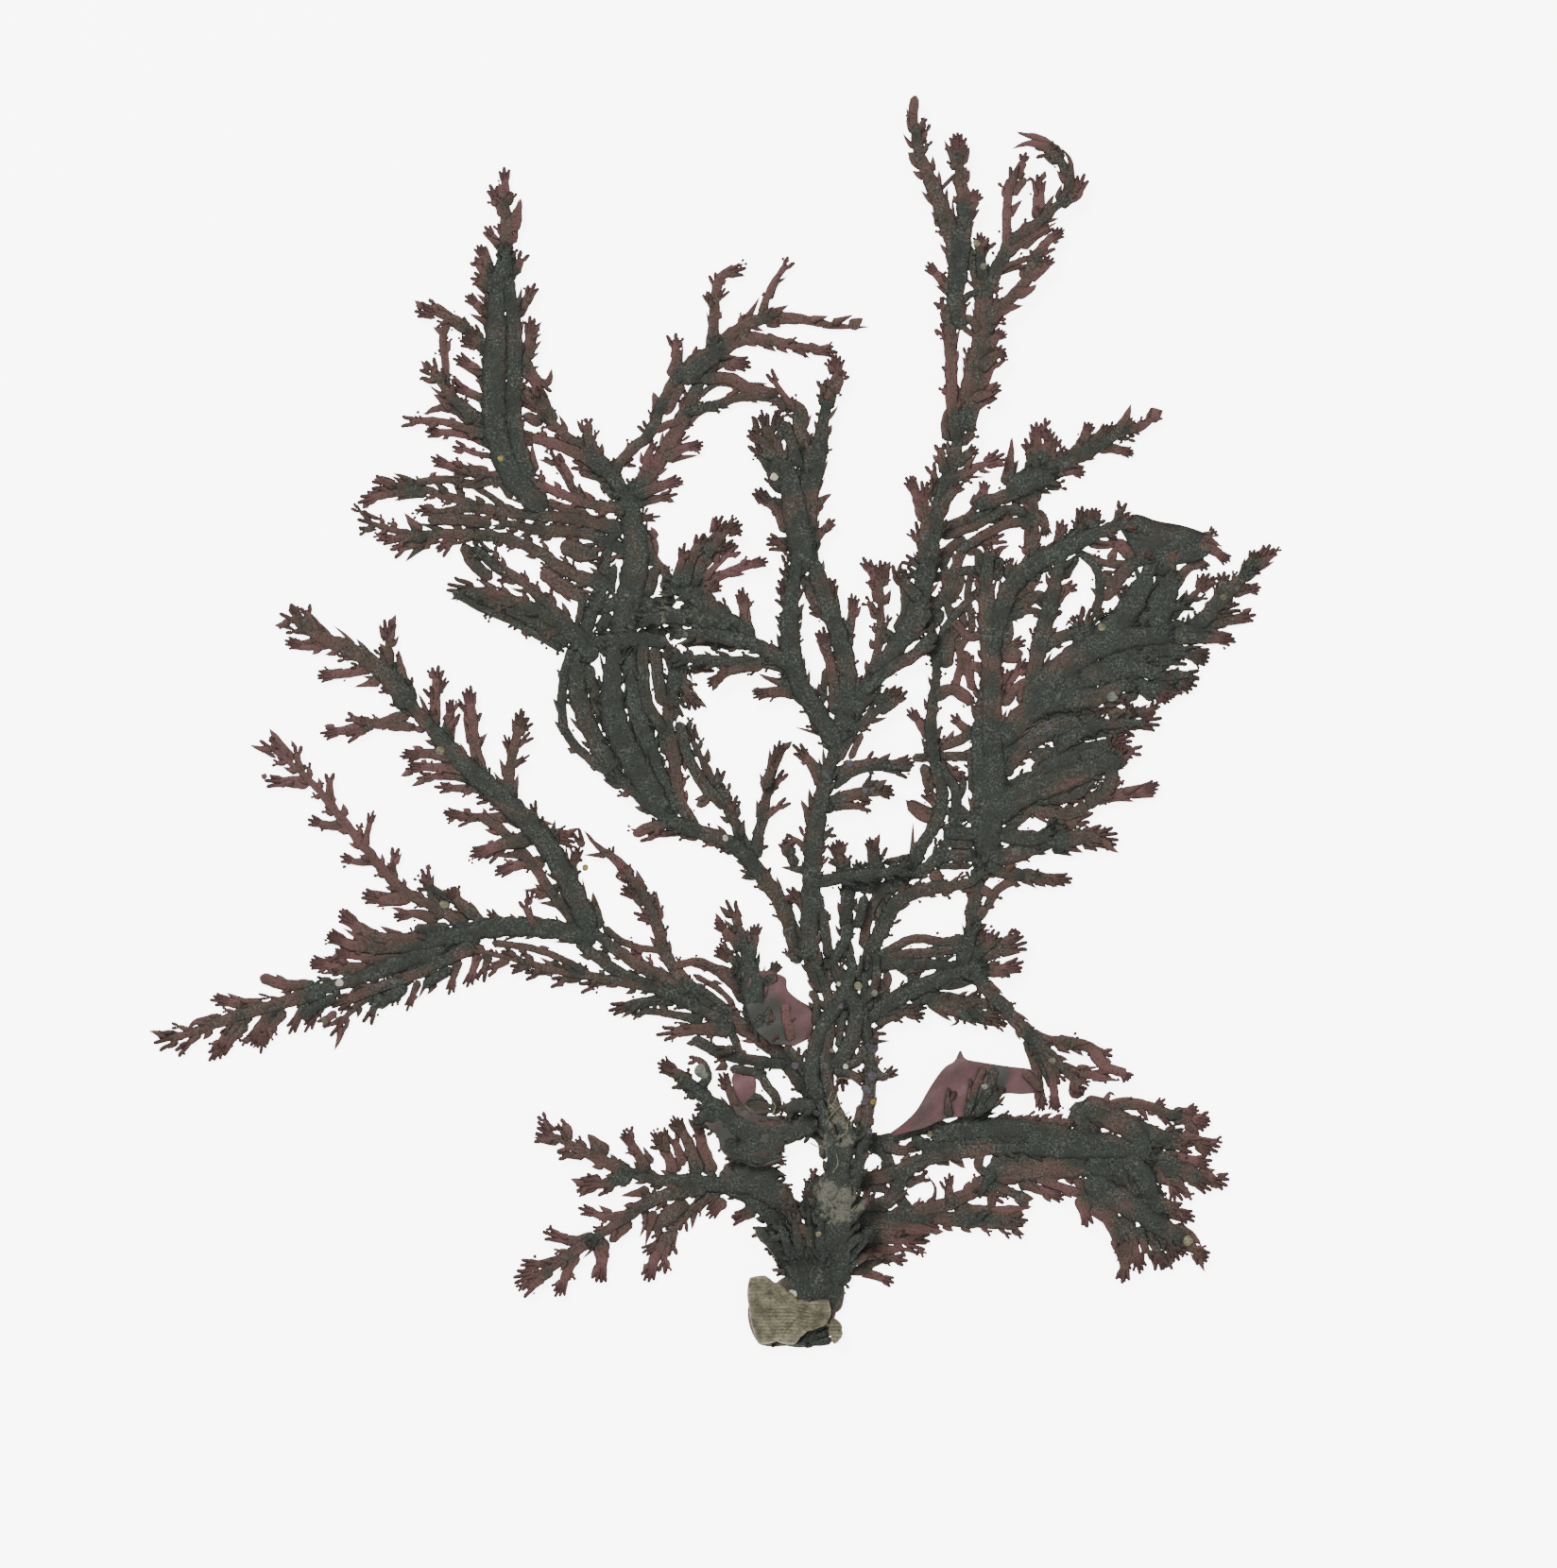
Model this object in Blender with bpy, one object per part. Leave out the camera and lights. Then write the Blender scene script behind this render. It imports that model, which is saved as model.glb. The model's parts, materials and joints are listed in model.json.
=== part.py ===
"""Odonthalia kamtschatica, a pressed and dried red seaweed that lies flat, face up.

The plant lies on the plane z = 0, its holdfast near the origin and its fronds towards +Y.
Each frond is one flat sheet of fused branches. Sheets that cross lie one above the other.
"""
import math

import bmesh
import bpy

MM = 0.001
PLANT = "odonthalia_kamtschatica"

# Sheets
SHEET = 0.6
STEP = 0.75
TRIM_GAP = 0.12
PRISM_BELOW = 1.0
PRISM_ABOVE = 1.0
MERGE = 0.001
SMALL_GAP = 0.2
FINEST = 0.45
FLAT_NORMAL = 0.9
STRAIGHT = math.radians(1.0)
SLACK = 0.09

# Branch outlines: a spur tapers to a point, a twig ends in a fan of tines
SPUR_ROOT = 1.35
SPUR_TAPER = 0.75
TWIG_ROOT = 1.15
TWIG_TAPER = 0.35
TINE_LENGTH = 0.5
TINE_LENGTH_SHARE = 0.32
TINE_LENGTH_MOST = 0.6
TINE_SPREAD = 0.08
TINE_SPREAD_SHARE = 0.5
TINE_THROAT = 0.42
MOST_TINES = 3
TINE_ARC = 0.22
NOTCH_DEPTH = 0.62
NOTCH_SPREAD = 0.8

# Gentle waves of the dried plant, level round the holdfast
WAVE = 0.3
WAVE_X = 47.0
WAVE_Y = 41.0
WAVE_START_X = 0.0
WAVE_START_Y = 0.25
LEVEL_RADIUS = 7.0
WAVE_RADIUS = 22.0

# Stem bundle and holdfast
FOOT = 0.8
STEM = 1.5
BUNDLE = 2.7
FOOT_END = 3.8
BUNDLE_START = 7.0
BUNDLE_END = 31.0
STEM_CREASES = (3.8, 4.8, 5.8, 7.0, 12.0, 16.0, 20.0, 24.0, 28.0)

# Crust on the holdfast
CRUST_LIFT = 0.15
CRUST = 1.1

# Colour, roughness of each finish
FINISHES = {
    "dried_stem": (0x353F3B, 0.7),
    "dried_frond": (0x3D3A36, 0.65),
    "dried_tips": (0x4B3634, 0.6),
    "red_membrane": (0x743F44, 0.5),
    "dark_membrane": (0x4A3B3E, 0.55),
    "bryozoan": (0x716A54, 0.85),
}

# Branches of each frond: width in mm, tines at the tip, then the route in mm
STEMS = (
    (3.4, 0, (-1.6, -0.6), (-1.2, 4.2), (-0.8, 8.2)),
    (3.4, 0, (1.0, -0.8), (1.2, 4.0), (1.6, 9.0)),
    (2.2, 0, (3.4, 2.6), (3.4, 7.2), (4.0, 12.2)),
    (2.4, 0, (2.0, 5.0), (3.0, 9.6), (3.4, 13.6), (4.6, 17.0)),
    (1.6, 0, (0.6, 8.0), (2.2, 11.0), (2.8, 14.6), (2.0, 17.6), (1.2, 20.2)),
    (1.3, 0, (4.4, 11.0), (5.3, 15.0), (5.9, 19.4), (6.0, 23.4), (5.5, 27.4), (5.6, 31.0)),
    (1.4, 0, (4.2, 15.6), (3.2, 17.8), (2.4, 20.0), (2.0, 23.0), (2.4, 26.6), (2.0, 29.6), (0.9, 32.0)),
    (1.6, 0, (1.6, 19.0), (0.8, 22.0), (1.6, 25.6), (3.4, 28.4), (4.4, 31.0), (4.0, 33.0)),
    (1.7, 0, (2.6, 22.0), (4.2, 24.4), (4.8, 27.4), (3.4, 30.2), (2.4, 32.2)),
    (1.0, 0, (3.2, 22.4), (4.8, 22.8), (5.8, 24.4)),
    (0.9, 0, (4.4, 27.0), (6.4, 29.6), (6.6, 32.6)),
    (0.8, 3, (6.0, 22.4), (7.2, 21.4), (8.6, 22.2)),
    (0.4, 1, (5.8, 24.6), (7.8, 24.7)),
    (0.6, 1, (6.0, 24.0), (6.8, 25.6)),
    (1.6, 0, (1.4, 18.6), (-0.6, 18.9), (-1.6, 18.2)),
)
SOUTH_WEST = (
    # lower left spray
    (1.6, 0, (-0.6, 4.0), (-2.4, 8.2), (-5.6, 11.0), (-9.4, 12.0), (-13.4, 12.2), (-16.4, 13.2)),
    (1.5, 3, (-15.8, 12.9), (-18.0, 13.9), (-20.0, 14.9), (-22.2, 16.0), (-24.0, 17.2)),
    (0.8, 2, (-21.3, 15.6), (-21.2, 16.8), (-22.3, 17.5)),
    (0.8, 2, (-21.9, 15.7), (-23.2, 15.8), (-24.4, 16.1)),
    (0.7, 2, (-19.6, 14.4), (-21.0, 14.4), (-22.4, 14.3)),
    (1.2, 1, (-17.9, 14.2), (-18.6, 15.4), (-19.4, 16.3)),
    (0.9, 3, (-14.0, 12.8), (-15.1, 14.9), (-16.3, 16.6)),
    (0.5, 1, (-13.6, 13.6), (-14.4, 15.2)),
    (0.9, 3, (-11.6, 12.6), (-12.3, 14.7), (-13.6, 16.5)),
    (0.6, 2, (-12.4, 15.0), (-14.1, 15.6)),
    (0.6, 3, (-12.2, 14.6), (-12.4, 15.8), (-12.5, 16.9)),
    (1.1, 4, (-9.4, 12.6), (-10.3, 15.4), (-11.7, 17.9)),
    (1.1, 3, (-8.2, 12.6), (-9.1, 15.4), (-9.7, 18.2)),
    (0.6, 1, (-11.0, 13.0), (-12.9, 14.5)),
    (1.4, 3, (-15.4, 12.5), (-17.8, 11.9), (-20.6, 11.4)),
    (0.5, 1, (-18.2, 12.3), (-20.1, 12.4)),
    (0.7, 1, (-13.8, 11.2), (-16.4, 10.7)),
    (0.7, 2, (-17.0, 11.6), (-18.9, 11.0)),
    (1.4, 0, (-8.6, 11.4), (-12.0, 10.9), (-14.4, 9.9), (-16.9, 8.2), (-19.2, 6.6)),
    (1.4, 3, (-18.4, 7.0), (-20.6, 5.8), (-23.2, 4.0), (-26.0, 3.1)),
    (0.8, 3, (-15.2, 9.1), (-17.8, 8.9), (-20.3, 9.7)),
    (0.5, 1, (-17.2, 9.0), (-18.4, 9.9)),
    (1.0, 2, (-18.6, 6.9), (-21.0, 6.7), (-23.5, 7.5)),
    (0.4, 1, (-21.0, 6.9), (-22.5, 7.6)),
    (0.8, 3, (-20.9, 5.4), (-23.2, 4.7), (-25.6, 4.5)),
    (0.8, 2, (-22.6, 4.2), (-24.0, 2.9), (-25.7, 1.7)),
    (1.2, 3, (-18.3, 7.0), (-18.1, 5.0), (-18.4, 2.7)),
    (0.9, 3, (-20.4, 5.6), (-21.3, 3.7), (-22.1, 1.6)),
    (0.5, 1, (-14.2, 9.6), (-14.2, 8.2), (-14.7, 7.0)),
    (1.0, 0, (-8.0, 11.0), (-10.4, 9.2), (-12.2, 7.2)),
    (1.1, 3, (-12.0, 7.4), (-13.3, 5.2), (-14.1, 3.0)),
    (0.7, 3, (-12.7, 6.6), (-14.6, 5.5)),
    (0.6, 2, (-12.2, 6.6), (-12.5, 5.0), (-12.8, 3.5)),
    (0.7, 2, (-11.6, 7.8), (-11.8, 6.4), (-11.7, 5.1)),
    (0.6, 1, (-13.4, 9.4), (-13.9, 7.4), (-14.2, 6.2)),
    (0.5, 2, (-10.6, 9.2), (-10.8, 7.1)),
    (0.5, 1, (-9.8, 9.6), (-10.0, 7.7)),
    (0.9, 3, (-7.0, 10.4), (-8.6, 8.8)),
    (0.8, 2, (-4.2, 9.4), (-6.8, 8.3)),
    (0.7, 2, (-2.6, 7.6), (-5.0, 7.4)),
    (0.8, 3, (-1.6, 5.8), (-3.6, 5.9)),
    (0.8, 3, (-1.0, 4.2), (-2.8, 4.0)),
)
SOUTH_EAST = (
    # the sprays by the foot
    (0.9, 0, (2.2, 3.4), (4.2, 3.9), (5.8, 4.0)),
    (0.8, 3, (5.2, 4.0), (6.8, 3.4), (8.3, 2.8)),
    (0.9, 2, (5.0, 3.8), (6.6, 4.9), (8.0, 5.1), (9.4, 4.9)),
    (0.7, 2, (2.2, 3.2), (3.6, 2.8), (3.9, 2.1)),
    (2.0, 1, (1.8, 5.8), (5.4, 5.9), (8.9, 5.8)),
    (1.6, 3, (2.4, 6.6), (7.0, 6.9), (11.2, 6.1)),
    (0.6, 2, (8.6, 6.9), (11.8, 6.9)),
    (2.0, 1, (2.4, 7.4), (7.4, 7.9), (12.7, 7.5)),
    # the lower strand
    (1.5, 0, (2.8, 8.8), (7.0, 8.7), (11.0, 8.8), (15.0, 8.4), (19.5, 8.0)),
    (1.0, 2, (14.0, 8.6), (17.4, 8.6), (20.2, 8.5)),
    (1.4, 1, (13.6, 9.0), (17.0, 9.2), (20.6, 9.8)),
    (0.9, 0, (16.9, 9.4), (17.0, 11.0), (16.9, 12.6)),
    (0.9, 0, (20.2, 9.6), (19.2, 10.8), (17.8, 11.4), (16.8, 11.9)),
    (0.9, 1, (19.0, 10.6), (20.8, 10.5)),
    (1.5, 0, (7.6, 8.8), (10.8, 9.4), (13.4, 10.2), (15.8, 11.6), (17.6, 13.8), (19.6, 15.6)),
    (0.7, 3, (13.3, 9.6), (13.2, 11.2), (13.1, 12.9)),
    (0.5, 2, (13.2, 10.6), (12.4, 12.6)),
    (0.3, 1, (11.6, 10.0), (11.9, 11.4), (11.1, 12.7)),
    (0.8, 2, (17.2, 13.0), (16.2, 11.4), (15.4, 10.6)),
    # the tangle between the strands
    (1.5, 0, (4.0, 12.0), (7.6, 12.6), (10.4, 13.8), (14.0, 14.7), (18.0, 15.0), (22.0, 15.0)),
    (1.4, 0, (4.0, 9.8), (7.6, 10.2), (9.0, 12.4), (10.6, 13.6)),
    (1.1, 0, (5.6, 15.4), (7.2, 14.6), (8.0, 12.8), (8.6, 10.8), (9.6, 9.2)),
    (1.0, 3, (7.2, 15.4), (9.0, 14.8), (10.6, 15.4)),
    (0.8, 2, (9.0, 11.8), (10.4, 12.2), (11.6, 12.6)),
    (0.7, 1, (12.4, 14.2), (13.2, 13.4)),
    (0.7, 1, (13.4, 14.4), (14.6, 13.2)),
    (0.9, 0, (16.0, 14.8), (15.8, 13.4), (16.8, 12.6)),
    # the upper strand
    (1.0, 0, (4.6, 15.6), (7.4, 15.8), (10.0, 16.5), (13.0, 17.2)),
    (2.0, 0, (11.4, 16.2), (14.4, 16.6), (18.0, 16.8), (22.0, 16.6), (25.4, 16.0)),
    (1.3, 0, (14.0, 17.0), (18.0, 17.3), (22.4, 17.3), (25.2, 17.4)),
    (1.2, 0, (9.8, 16.0), (11.2, 15.2), (13.4, 15.4), (17.4, 15.9), (21.6, 15.8)),
    (1.5, 3, (14.4, 16.8), (15.4, 18.6), (17.2, 20.6)),
    (1.2, 3, (15.0, 17.2), (16.4, 18.6), (17.9, 20.2)),
    (0.5, 1, (15.0, 17.8), (17.4, 18.2)),
    (0.6, 2, (19.4, 16.8), (19.3, 17.8)),
    # the broad end
    (3.0, 0, (16.8, 12.8), (20.6, 13.4), (24.6, 13.6), (28.6, 13.4)),
    (2.6, 0, (19.6, 15.6), (23.6, 15.2), (27.6, 15.2), (31.4, 14.4)),
    (2.6, 0, (24.8, 19.2), (25.6, 16.6), (26.6, 13.6), (27.6, 11.6)),
    (2.4, 0, (25.2, 19.0), (27.6, 17.8), (29.6, 16.6), (31.2, 14.6)),
    (2.4, 0, (27.0, 14.6), (29.4, 12.6), (31.0, 10.6), (32.2, 8.6)),
    (2.6, 0, (25.4, 12.2), (28.0, 10.6), (30.4, 9.2), (32.0, 7.6)),
    (2.2, 0, (29.0, 14.4), (30.6, 12.4), (31.6, 10.2)),
    (0.9, 3, (19.4, 12.0), (21.8, 11.1), (23.6, 10.5)),
    (0.6, 1, (19.8, 11.9), (21.7, 10.8)),
    (0.9, 0, (23.6, 13.0), (25.0, 11.6), (25.2, 10.0)),
    (1.2, 2, (25.0, 19.6), (24.5, 20.6), (25.6, 20.4)),
    (0.5, 1, (25.0, 19.0), (23.8, 18.4)),
    # the sprays round it, from the top
    (0.7, 1, (26.8, 18.0), (27.2, 19.2), (27.6, 20.0), (28.1, 19.7)),
    (0.8, 1, (27.0, 18.4), (28.6, 19.2), (30.7, 19.4)),
    (1.0, 0, (28.0, 18.8), (30.6, 18.9), (32.6, 18.2), (34.2, 17.9)),
    (1.0, 3, (33.2, 18.0), (34.4, 18.2), (35.6, 18.6)),
    (0.7, 3, (31.6, 18.6), (32.6, 19.5)),
    (0.5, 1, (30.2, 18.8), (31.1, 17.4)),
    (0.7, 3, (32.0, 18.3), (33.3, 16.9)),
    (1.3, 4, (33.2, 17.8), (34.8, 17.5), (36.6, 17.1)),
    (0.7, 1, (34.4, 17.3), (35.7, 16.3)),
    (1.8, 0, (28.8, 17.6), (31.0, 16.4), (33.6, 15.8)),
    (1.5, 3, (32.6, 16.0), (35.2, 15.6), (37.5, 14.9)),
    (0.7, 1, (34.0, 16.2), (36.2, 15.9)),
    (1.9, 0, (30.0, 14.6), (32.4, 14.0), (34.0, 13.4)),
    (1.1, 3, (32.6, 14.2), (34.8, 13.9), (36.8, 13.7)),
    (1.9, 0, (32.0, 13.4), (34.2, 12.9), (36.0, 12.5)),
    (1.4, 3, (35.2, 12.7), (36.8, 12.3), (38.3, 11.9)),
    (0.9, 2, (34.6, 12.4), (36.8, 11.2)),
    (1.5, 3, (31.0, 13.2), (33.0, 12.0), (34.4, 10.4)),
    (0.7, 1, (33.2, 12.4), (34.9, 10.8)),
    (0.9, 2, (30.4, 12.0), (32.2, 10.9)),
    (1.1, 2, (30.8, 10.8), (32.6, 10.0), (34.3, 9.3)),
    (1.1, 3, (31.0, 10.2), (33.2, 9.4), (35.3, 8.6)),
    (0.5, 1, (32.8, 9.2), (34.4, 8.3)),
    (2.0, 0, (30.6, 8.8), (32.8, 7.6), (34.2, 6.8)),
    (1.0, 1, (33.2, 7.6), (34.8, 7.2), (35.8, 6.3)),
    (1.5, 4, (33.6, 7.2), (35.0, 6.0), (36.3, 4.8)),
    (1.4, 3, (31.8, 7.8), (33.0, 6.4), (33.7, 4.7)),
    (1.4, 2, (31.0, 8.4), (31.8, 6.0), (32.5, 3.9)),
    (0.8, 2, (30.2, 8.0), (30.7, 6.2), (31.0, 4.5)),
    (1.0, 3, (29.2, 8.6), (29.8, 6.0), (30.5, 3.8)),
    (1.1, 2, (28.8, 9.0), (29.2, 6.0), (28.9, 4.4), (28.7, 2.9)),
    (1.6, 0, (25.4, 11.0), (27.0, 9.6), (28.4, 7.8), (29.0, 6.6)),
    (0.6, 3, (28.0, 8.0), (28.4, 6.4), (28.3, 5.3)),
    (0.3, 1, (28.4, 6.2), (27.8, 5.9)),
    (1.1, 1, (25.2, 10.8), (25.3, 9.4), (25.4, 7.9)),
)
WEST_SHIFT = (-0.25, -0.3)
WEST = (
    # the stem up to where it forks
    (1.7, 0, (1.6, 18.6), (-0.4, 21.4), (-2.8, 24.2), (-6.0, 26.4), (-9.2, 28.4), (-13.6, 30.9),
     (-17.4, 33.4), (-20.0, 35.8)),
    (1.1, 0, (-1.4, 22.6), (-4.4, 23.0), (-7.2, 23.6), (-10.0, 25.0)),
    (0.8, 0, (-5.6, 23.2), (-6.2, 25.0), (-7.4, 26.8)),
    (1.5, 1, (-4.4, 28.6), (-6.4, 30.4), (-8.4, 31.4), (-10.2, 31.6)),
    (1.6, 0, (-3.4, 25.2), (-4.6, 27.2), (-4.8, 29.4)),
    (1.1, 0, (-9.0, 27.4), (-13.0, 29.4), (-17.0, 31.2), (-20.4, 33.8)),
    # upper arm
    (2.2, 0, (-19.0, 34.6), (-20.9, 38.6), (-23.2, 42.6), (-26.6, 46.2), (-30.0, 49.2), (-33.0, 52.4),
     (-35.8, 55.6)),
    (2.3, 2, (-35.2, 54.8), (-37.6, 57.8), (-40.4, 59.8), (-43.6, 61.2), (-45.4, 62.4), (-47.1, 63.2)),
    (1.0, 0, (-19.8, 34.4), (-22.4, 37.8), (-24.6, 41.0), (-27.0, 43.6), (-29.0, 45.0)),
    (0.8, 3, (-44.6, 61.8), (-45.5, 62.9), (-46.0, 64.0)),
    (0.8, 2, (-43.7, 61.2), (-44.5, 62.9), (-44.9, 64.2)),
    (0.9, 3, (-42.4, 60.7), (-44.5, 60.3), (-46.7, 60.6)),
    (1.3, 3, (-37.2, 57.4), (-37.3, 60.0), (-37.4, 62.7)),
    (0.5, 1, (-37.2, 60.4), (-36.8, 61.9)),
    (0.5, 1, (-37.4, 59.6), (-38.1, 60.6)),
    (1.2, 1, (-35.6, 55.4), (-36.2, 57.8), (-36.4, 60.0)),
    (0.8, 2, (-39.2, 59.2), (-40.3, 60.3)),
    (0.7, 1, (-40.8, 59.8), (-41.7, 60.8)),
    (0.9, 3, (-38.8, 58.4), (-41.4, 57.8), (-43.9, 57.5)),
    (0.5, 1, (-41.2, 57.9), (-43.2, 58.1)),
    (0.6, 1, (-38.0, 57.2), (-40.4, 56.6)),
    (1.3, 0, (-35.4, 54.2), (-37.6, 53.4), (-39.4, 53.2)),
    (0.7, 2, (-38.8, 53.4), (-40.2, 53.7), (-41.4, 54.1)),
    (0.9, 3, (-38.8, 53.2), (-41.0, 52.8), (-43.4, 52.3)),
    (0.6, 2, (-39.2, 52.9), (-41.4, 51.7)),
    (1.0, 2, (-33.3, 52.8), (-33.1, 55.0), (-33.0, 57.0), (-32.8, 58.6)),
    (0.6, 2, (-33.1, 55.4), (-34.1, 57.0)),
    (0.6, 3, (-32.9, 56.0), (-32.0, 57.6)),
    (0.4, 1, (-33.0, 57.2), (-33.5, 58.4)),
    (0.9, 3, (-32.4, 51.8), (-31.8, 53.8), (-31.6, 55.6)),
    (0.5, 1, (-32.0, 52.6), (-31.1, 54.1)),
    (1.1, 3, (-29.0, 48.6), (-29.5, 51.2), (-29.8, 54.0), (-30.1, 56.7)),
    (0.6, 2, (-29.7, 52.8), (-29.1, 54.9)),
    (0.6, 3, (-29.8, 53.8), (-31.0, 55.6)),
    (0.5, 1, (-29.4, 51.2), (-28.4, 52.5)),
    (0.5, 1, (-29.8, 51.4), (-30.6, 53.9)),
    (0.5, 1, (-28.6, 48.2), (-28.7, 50.2)),
    (1.0, 3, (-26.4, 46.4), (-26.4, 49.0), (-25.9, 51.6), (-25.2, 54.6)),
    (0.6, 3, (-26.2, 50.4), (-26.9, 52.4)),
    (0.4, 1, (-25.8, 52.4), (-26.2, 53.9)),
    (0.5, 2, (-25.5, 52.6), (-24.1, 53.9)),
    (0.5, 2, (-25.9, 51.2), (-24.1, 52.5)),
    (0.5, 3, (-26.2, 49.4), (-24.6, 50.5)),
    (0.5, 1, (-26.6, 48.4), (-27.3, 50.2)),
    (0.6, 1, (-26.2, 46.6), (-25.6, 48.8)),
    (0.5, 2, (-24.0, 44.4), (-24.4, 46.7)),
    (1.5, 3, (-24.4, 44.4), (-22.4, 43.2), (-20.3, 42.9)),
    (0.4, 1, (-22.6, 43.2), (-22.3, 44.7)),
    (0.9, 3, (-20.2, 37.6), (-20.8, 40.0), (-20.2, 42.4)),
    (1.0, 1, (-18.6, 34.8), (-18.7, 36.4), (-18.9, 38.2)),
    (1.0, 4, (-31.0, 50.0), (-33.4, 50.6), (-36.2, 50.4)),
    (0.5, 1, (-33.4, 50.6), (-34.9, 51.0)),
    (0.9, 3, (-30.2, 49.2), (-33.0, 49.4), (-35.8, 49.4)),
    (0.8, 3, (-29.2, 48.2), (-32.0, 48.6), (-34.9, 48.4)),
    (0.8, 3, (-28.2, 47.4), (-30.6, 47.5), (-33.2, 47.6)),
    (0.6, 2, (-27.2, 46.6), (-29.8, 46.4)),
    (0.9, 4, (-26.0, 44.9), (-29.4, 44.9), (-32.4, 45.3)),
    (0.5, 2, (-29.2, 44.9), (-31.4, 44.2)),
    (1.2, 4, (-24.4, 43.0), (-27.2, 42.4), (-30.0, 41.4)),
    (0.6, 1, (-26.4, 42.6), (-27.2, 43.8)),
    (0.6, 1, (-25.2, 42.8), (-26.2, 43.5)),
    (0.6, 2, (-26.8, 42.3), (-28.7, 40.7)),
    (1.0, 3, (-23.2, 40.8), (-25.6, 40.6), (-27.8, 39.8)),
    (0.7, 2, (-21.8, 38.6), (-24.8, 37.9)),
    (0.6, 1, (-21.2, 37.0), (-23.8, 37.2)),
    (0.6, 1, (-22.4, 40.4), (-21.6, 42.2)),
    # the long lower arm
    (2.0, 0, (-18.6, 33.8), (-22.4, 34.8), (-27.0, 35.0), (-31.0, 34.2), (-35.4, 32.2), (-40.0, 30.4),
     (-44.2, 29.2)),
    (1.7, 2, (-43.0, 29.4), (-46.8, 28.2), (-51.0, 27.0), (-55.0, 25.5), (-58.5, 24.6)),
    (0.5, 1, (-56.0, 25.2), (-58.2, 25.3)),
    (0.6, 2, (-54.2, 25.6), (-56.7, 23.3)),
    (0.7, 1, (-52.4, 26.7), (-54.8, 26.4), (-55.4, 25.3)),
    (1.1, 0, (-43.8, 29.8), (-46.4, 29.8), (-48.9, 30.5)),
    (1.0, 3, (-48.6, 28.0), (-50.6, 28.1), (-53.3, 28.6)),
    (0.5, 1, (-50.2, 28.1), (-51.9, 29.1)),
    (1.0, 3, (-47.4, 27.8), (-48.9, 26.0), (-49.9, 24.4)),
    (0.7, 3, (-48.4, 26.6), (-48.8, 23.7)),
    (1.1, 3, (-50.2, 27.1), (-52.0, 25.0), (-53.3, 22.9)),
    (0.6, 2, (-51.2, 26.0), (-52.6, 24.9)),
    (0.8, 3, (-44.6, 28.4), (-46.3, 25.4)),
    (0.7, 3, (-43.4, 28.0), (-44.8, 25.6)),
    (0.6, 2, (-42.0, 27.4), (-43.8, 25.9)),
    (1.4, 2, (-32.2, 32.8), (-36.4, 30.2), (-40.2, 27.9), (-42.5, 25.2)),
    (0.7, 2, (-38.0, 29.0), (-39.4, 26.0)),
    (1.2, 3, (-29.6, 33.4), (-34.4, 31.0), (-38.6, 29.4), (-42.4, 28.0)),
    (0.6, 3, (-34.6, 30.2), (-35.7, 27.4)),
    (0.4, 1, (-33.6, 30.6), (-34.6, 28.6)),
    (0.7, 3, (-31.0, 32.2), (-31.9, 28.8)),
    (0.7, 3, (-29.2, 32.6), (-30.3, 29.4)),
    (0.6, 2, (-28.2, 32.6), (-29.2, 29.8)),
    (1.2, 3, (-28.0, 35.0), (-33.0, 34.2), (-38.2, 34.1), (-41.9, 36.3)),
    (0.6, 1, (-38.6, 34.2), (-39.9, 35.5)),
    (0.6, 1, (-36.0, 34.0), (-38.1, 35.1)),
    (1.2, 4, (-30.2, 34.4), (-36.0, 33.2), (-40.2, 33.3), (-43.0, 34.4)),
    (0.6, 1, (-38.4, 33.2), (-41.4, 34.9)),
    (1.0, 4, (-33.0, 33.2), (-37.6, 32.2), (-42.3, 32.8)),
    (1.1, 4, (-32.0, 33.0), (-37.0, 31.6), (-41.6, 31.4), (-44.6, 31.9)),
    (0.6, 1, (-40.8, 31.4), (-43.2, 32.4)),
    (0.6, 1, (-40.6, 31.2), (-43.4, 30.8)),
    # the slender arm that bends up
    (1.4, 2, (-30.2, 35.2), (-33.4, 36.9), (-36.3, 38.6), (-38.8, 41.4), (-41.4, 44.6), (-43.8, 47.6),
     (-46.4, 50.0), (-48.8, 51.8)),
    (0.9, 1, (-46.4, 50.0), (-47.1, 51.4), (-48.0, 52.9)),
    (0.6, 2, (-36.8, 39.2), (-36.9, 41.0), (-36.6, 42.4)),
    (0.4, 1, (-36.8, 40.6), (-36.1, 41.7)),
    (0.6, 3, (-39.5, 42.2), (-39.1, 44.0), (-38.7, 45.5)),
    (0.7, 2, (-42.6, 46.2), (-42.6, 47.8), (-42.6, 49.2)),
    (0.6, 2, (-45.0, 48.8), (-45.5, 50.2), (-45.4, 51.8)),
    (1.0, 2, (-44.4, 48.0), (-46.4, 48.1), (-48.6, 48.2)),
    (0.4, 1, (-45.8, 48.1), (-47.7, 47.6)),
    (0.8, 3, (-41.3, 44.2), (-43.0, 44.2), (-44.7, 44.8)),
    (0.4, 1, (-42.2, 44.2), (-43.5, 43.8)),
    (0.7, 3, (-38.4, 41.0), (-40.2, 40.9), (-41.8, 41.4)),
    (1.2, 3, (-35.2, 37.9), (-37.4, 37.5), (-39.9, 37.9)),
    (0.5, 1, (-37.0, 37.6), (-38.4, 38.3)),
    (0.5, 1, (-36.4, 37.4), (-38.5, 36.8)),
    (0.9, 3, (-32.8, 35.6), (-34.8, 36.2), (-37.0, 36.0)),
    (0.6, 2, (-33.2, 36.8), (-33.7, 38.8), (-34.1, 40.7)),
    (0.4, 1, (-33.6, 38.4), (-33.2, 39.8)),
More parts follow.
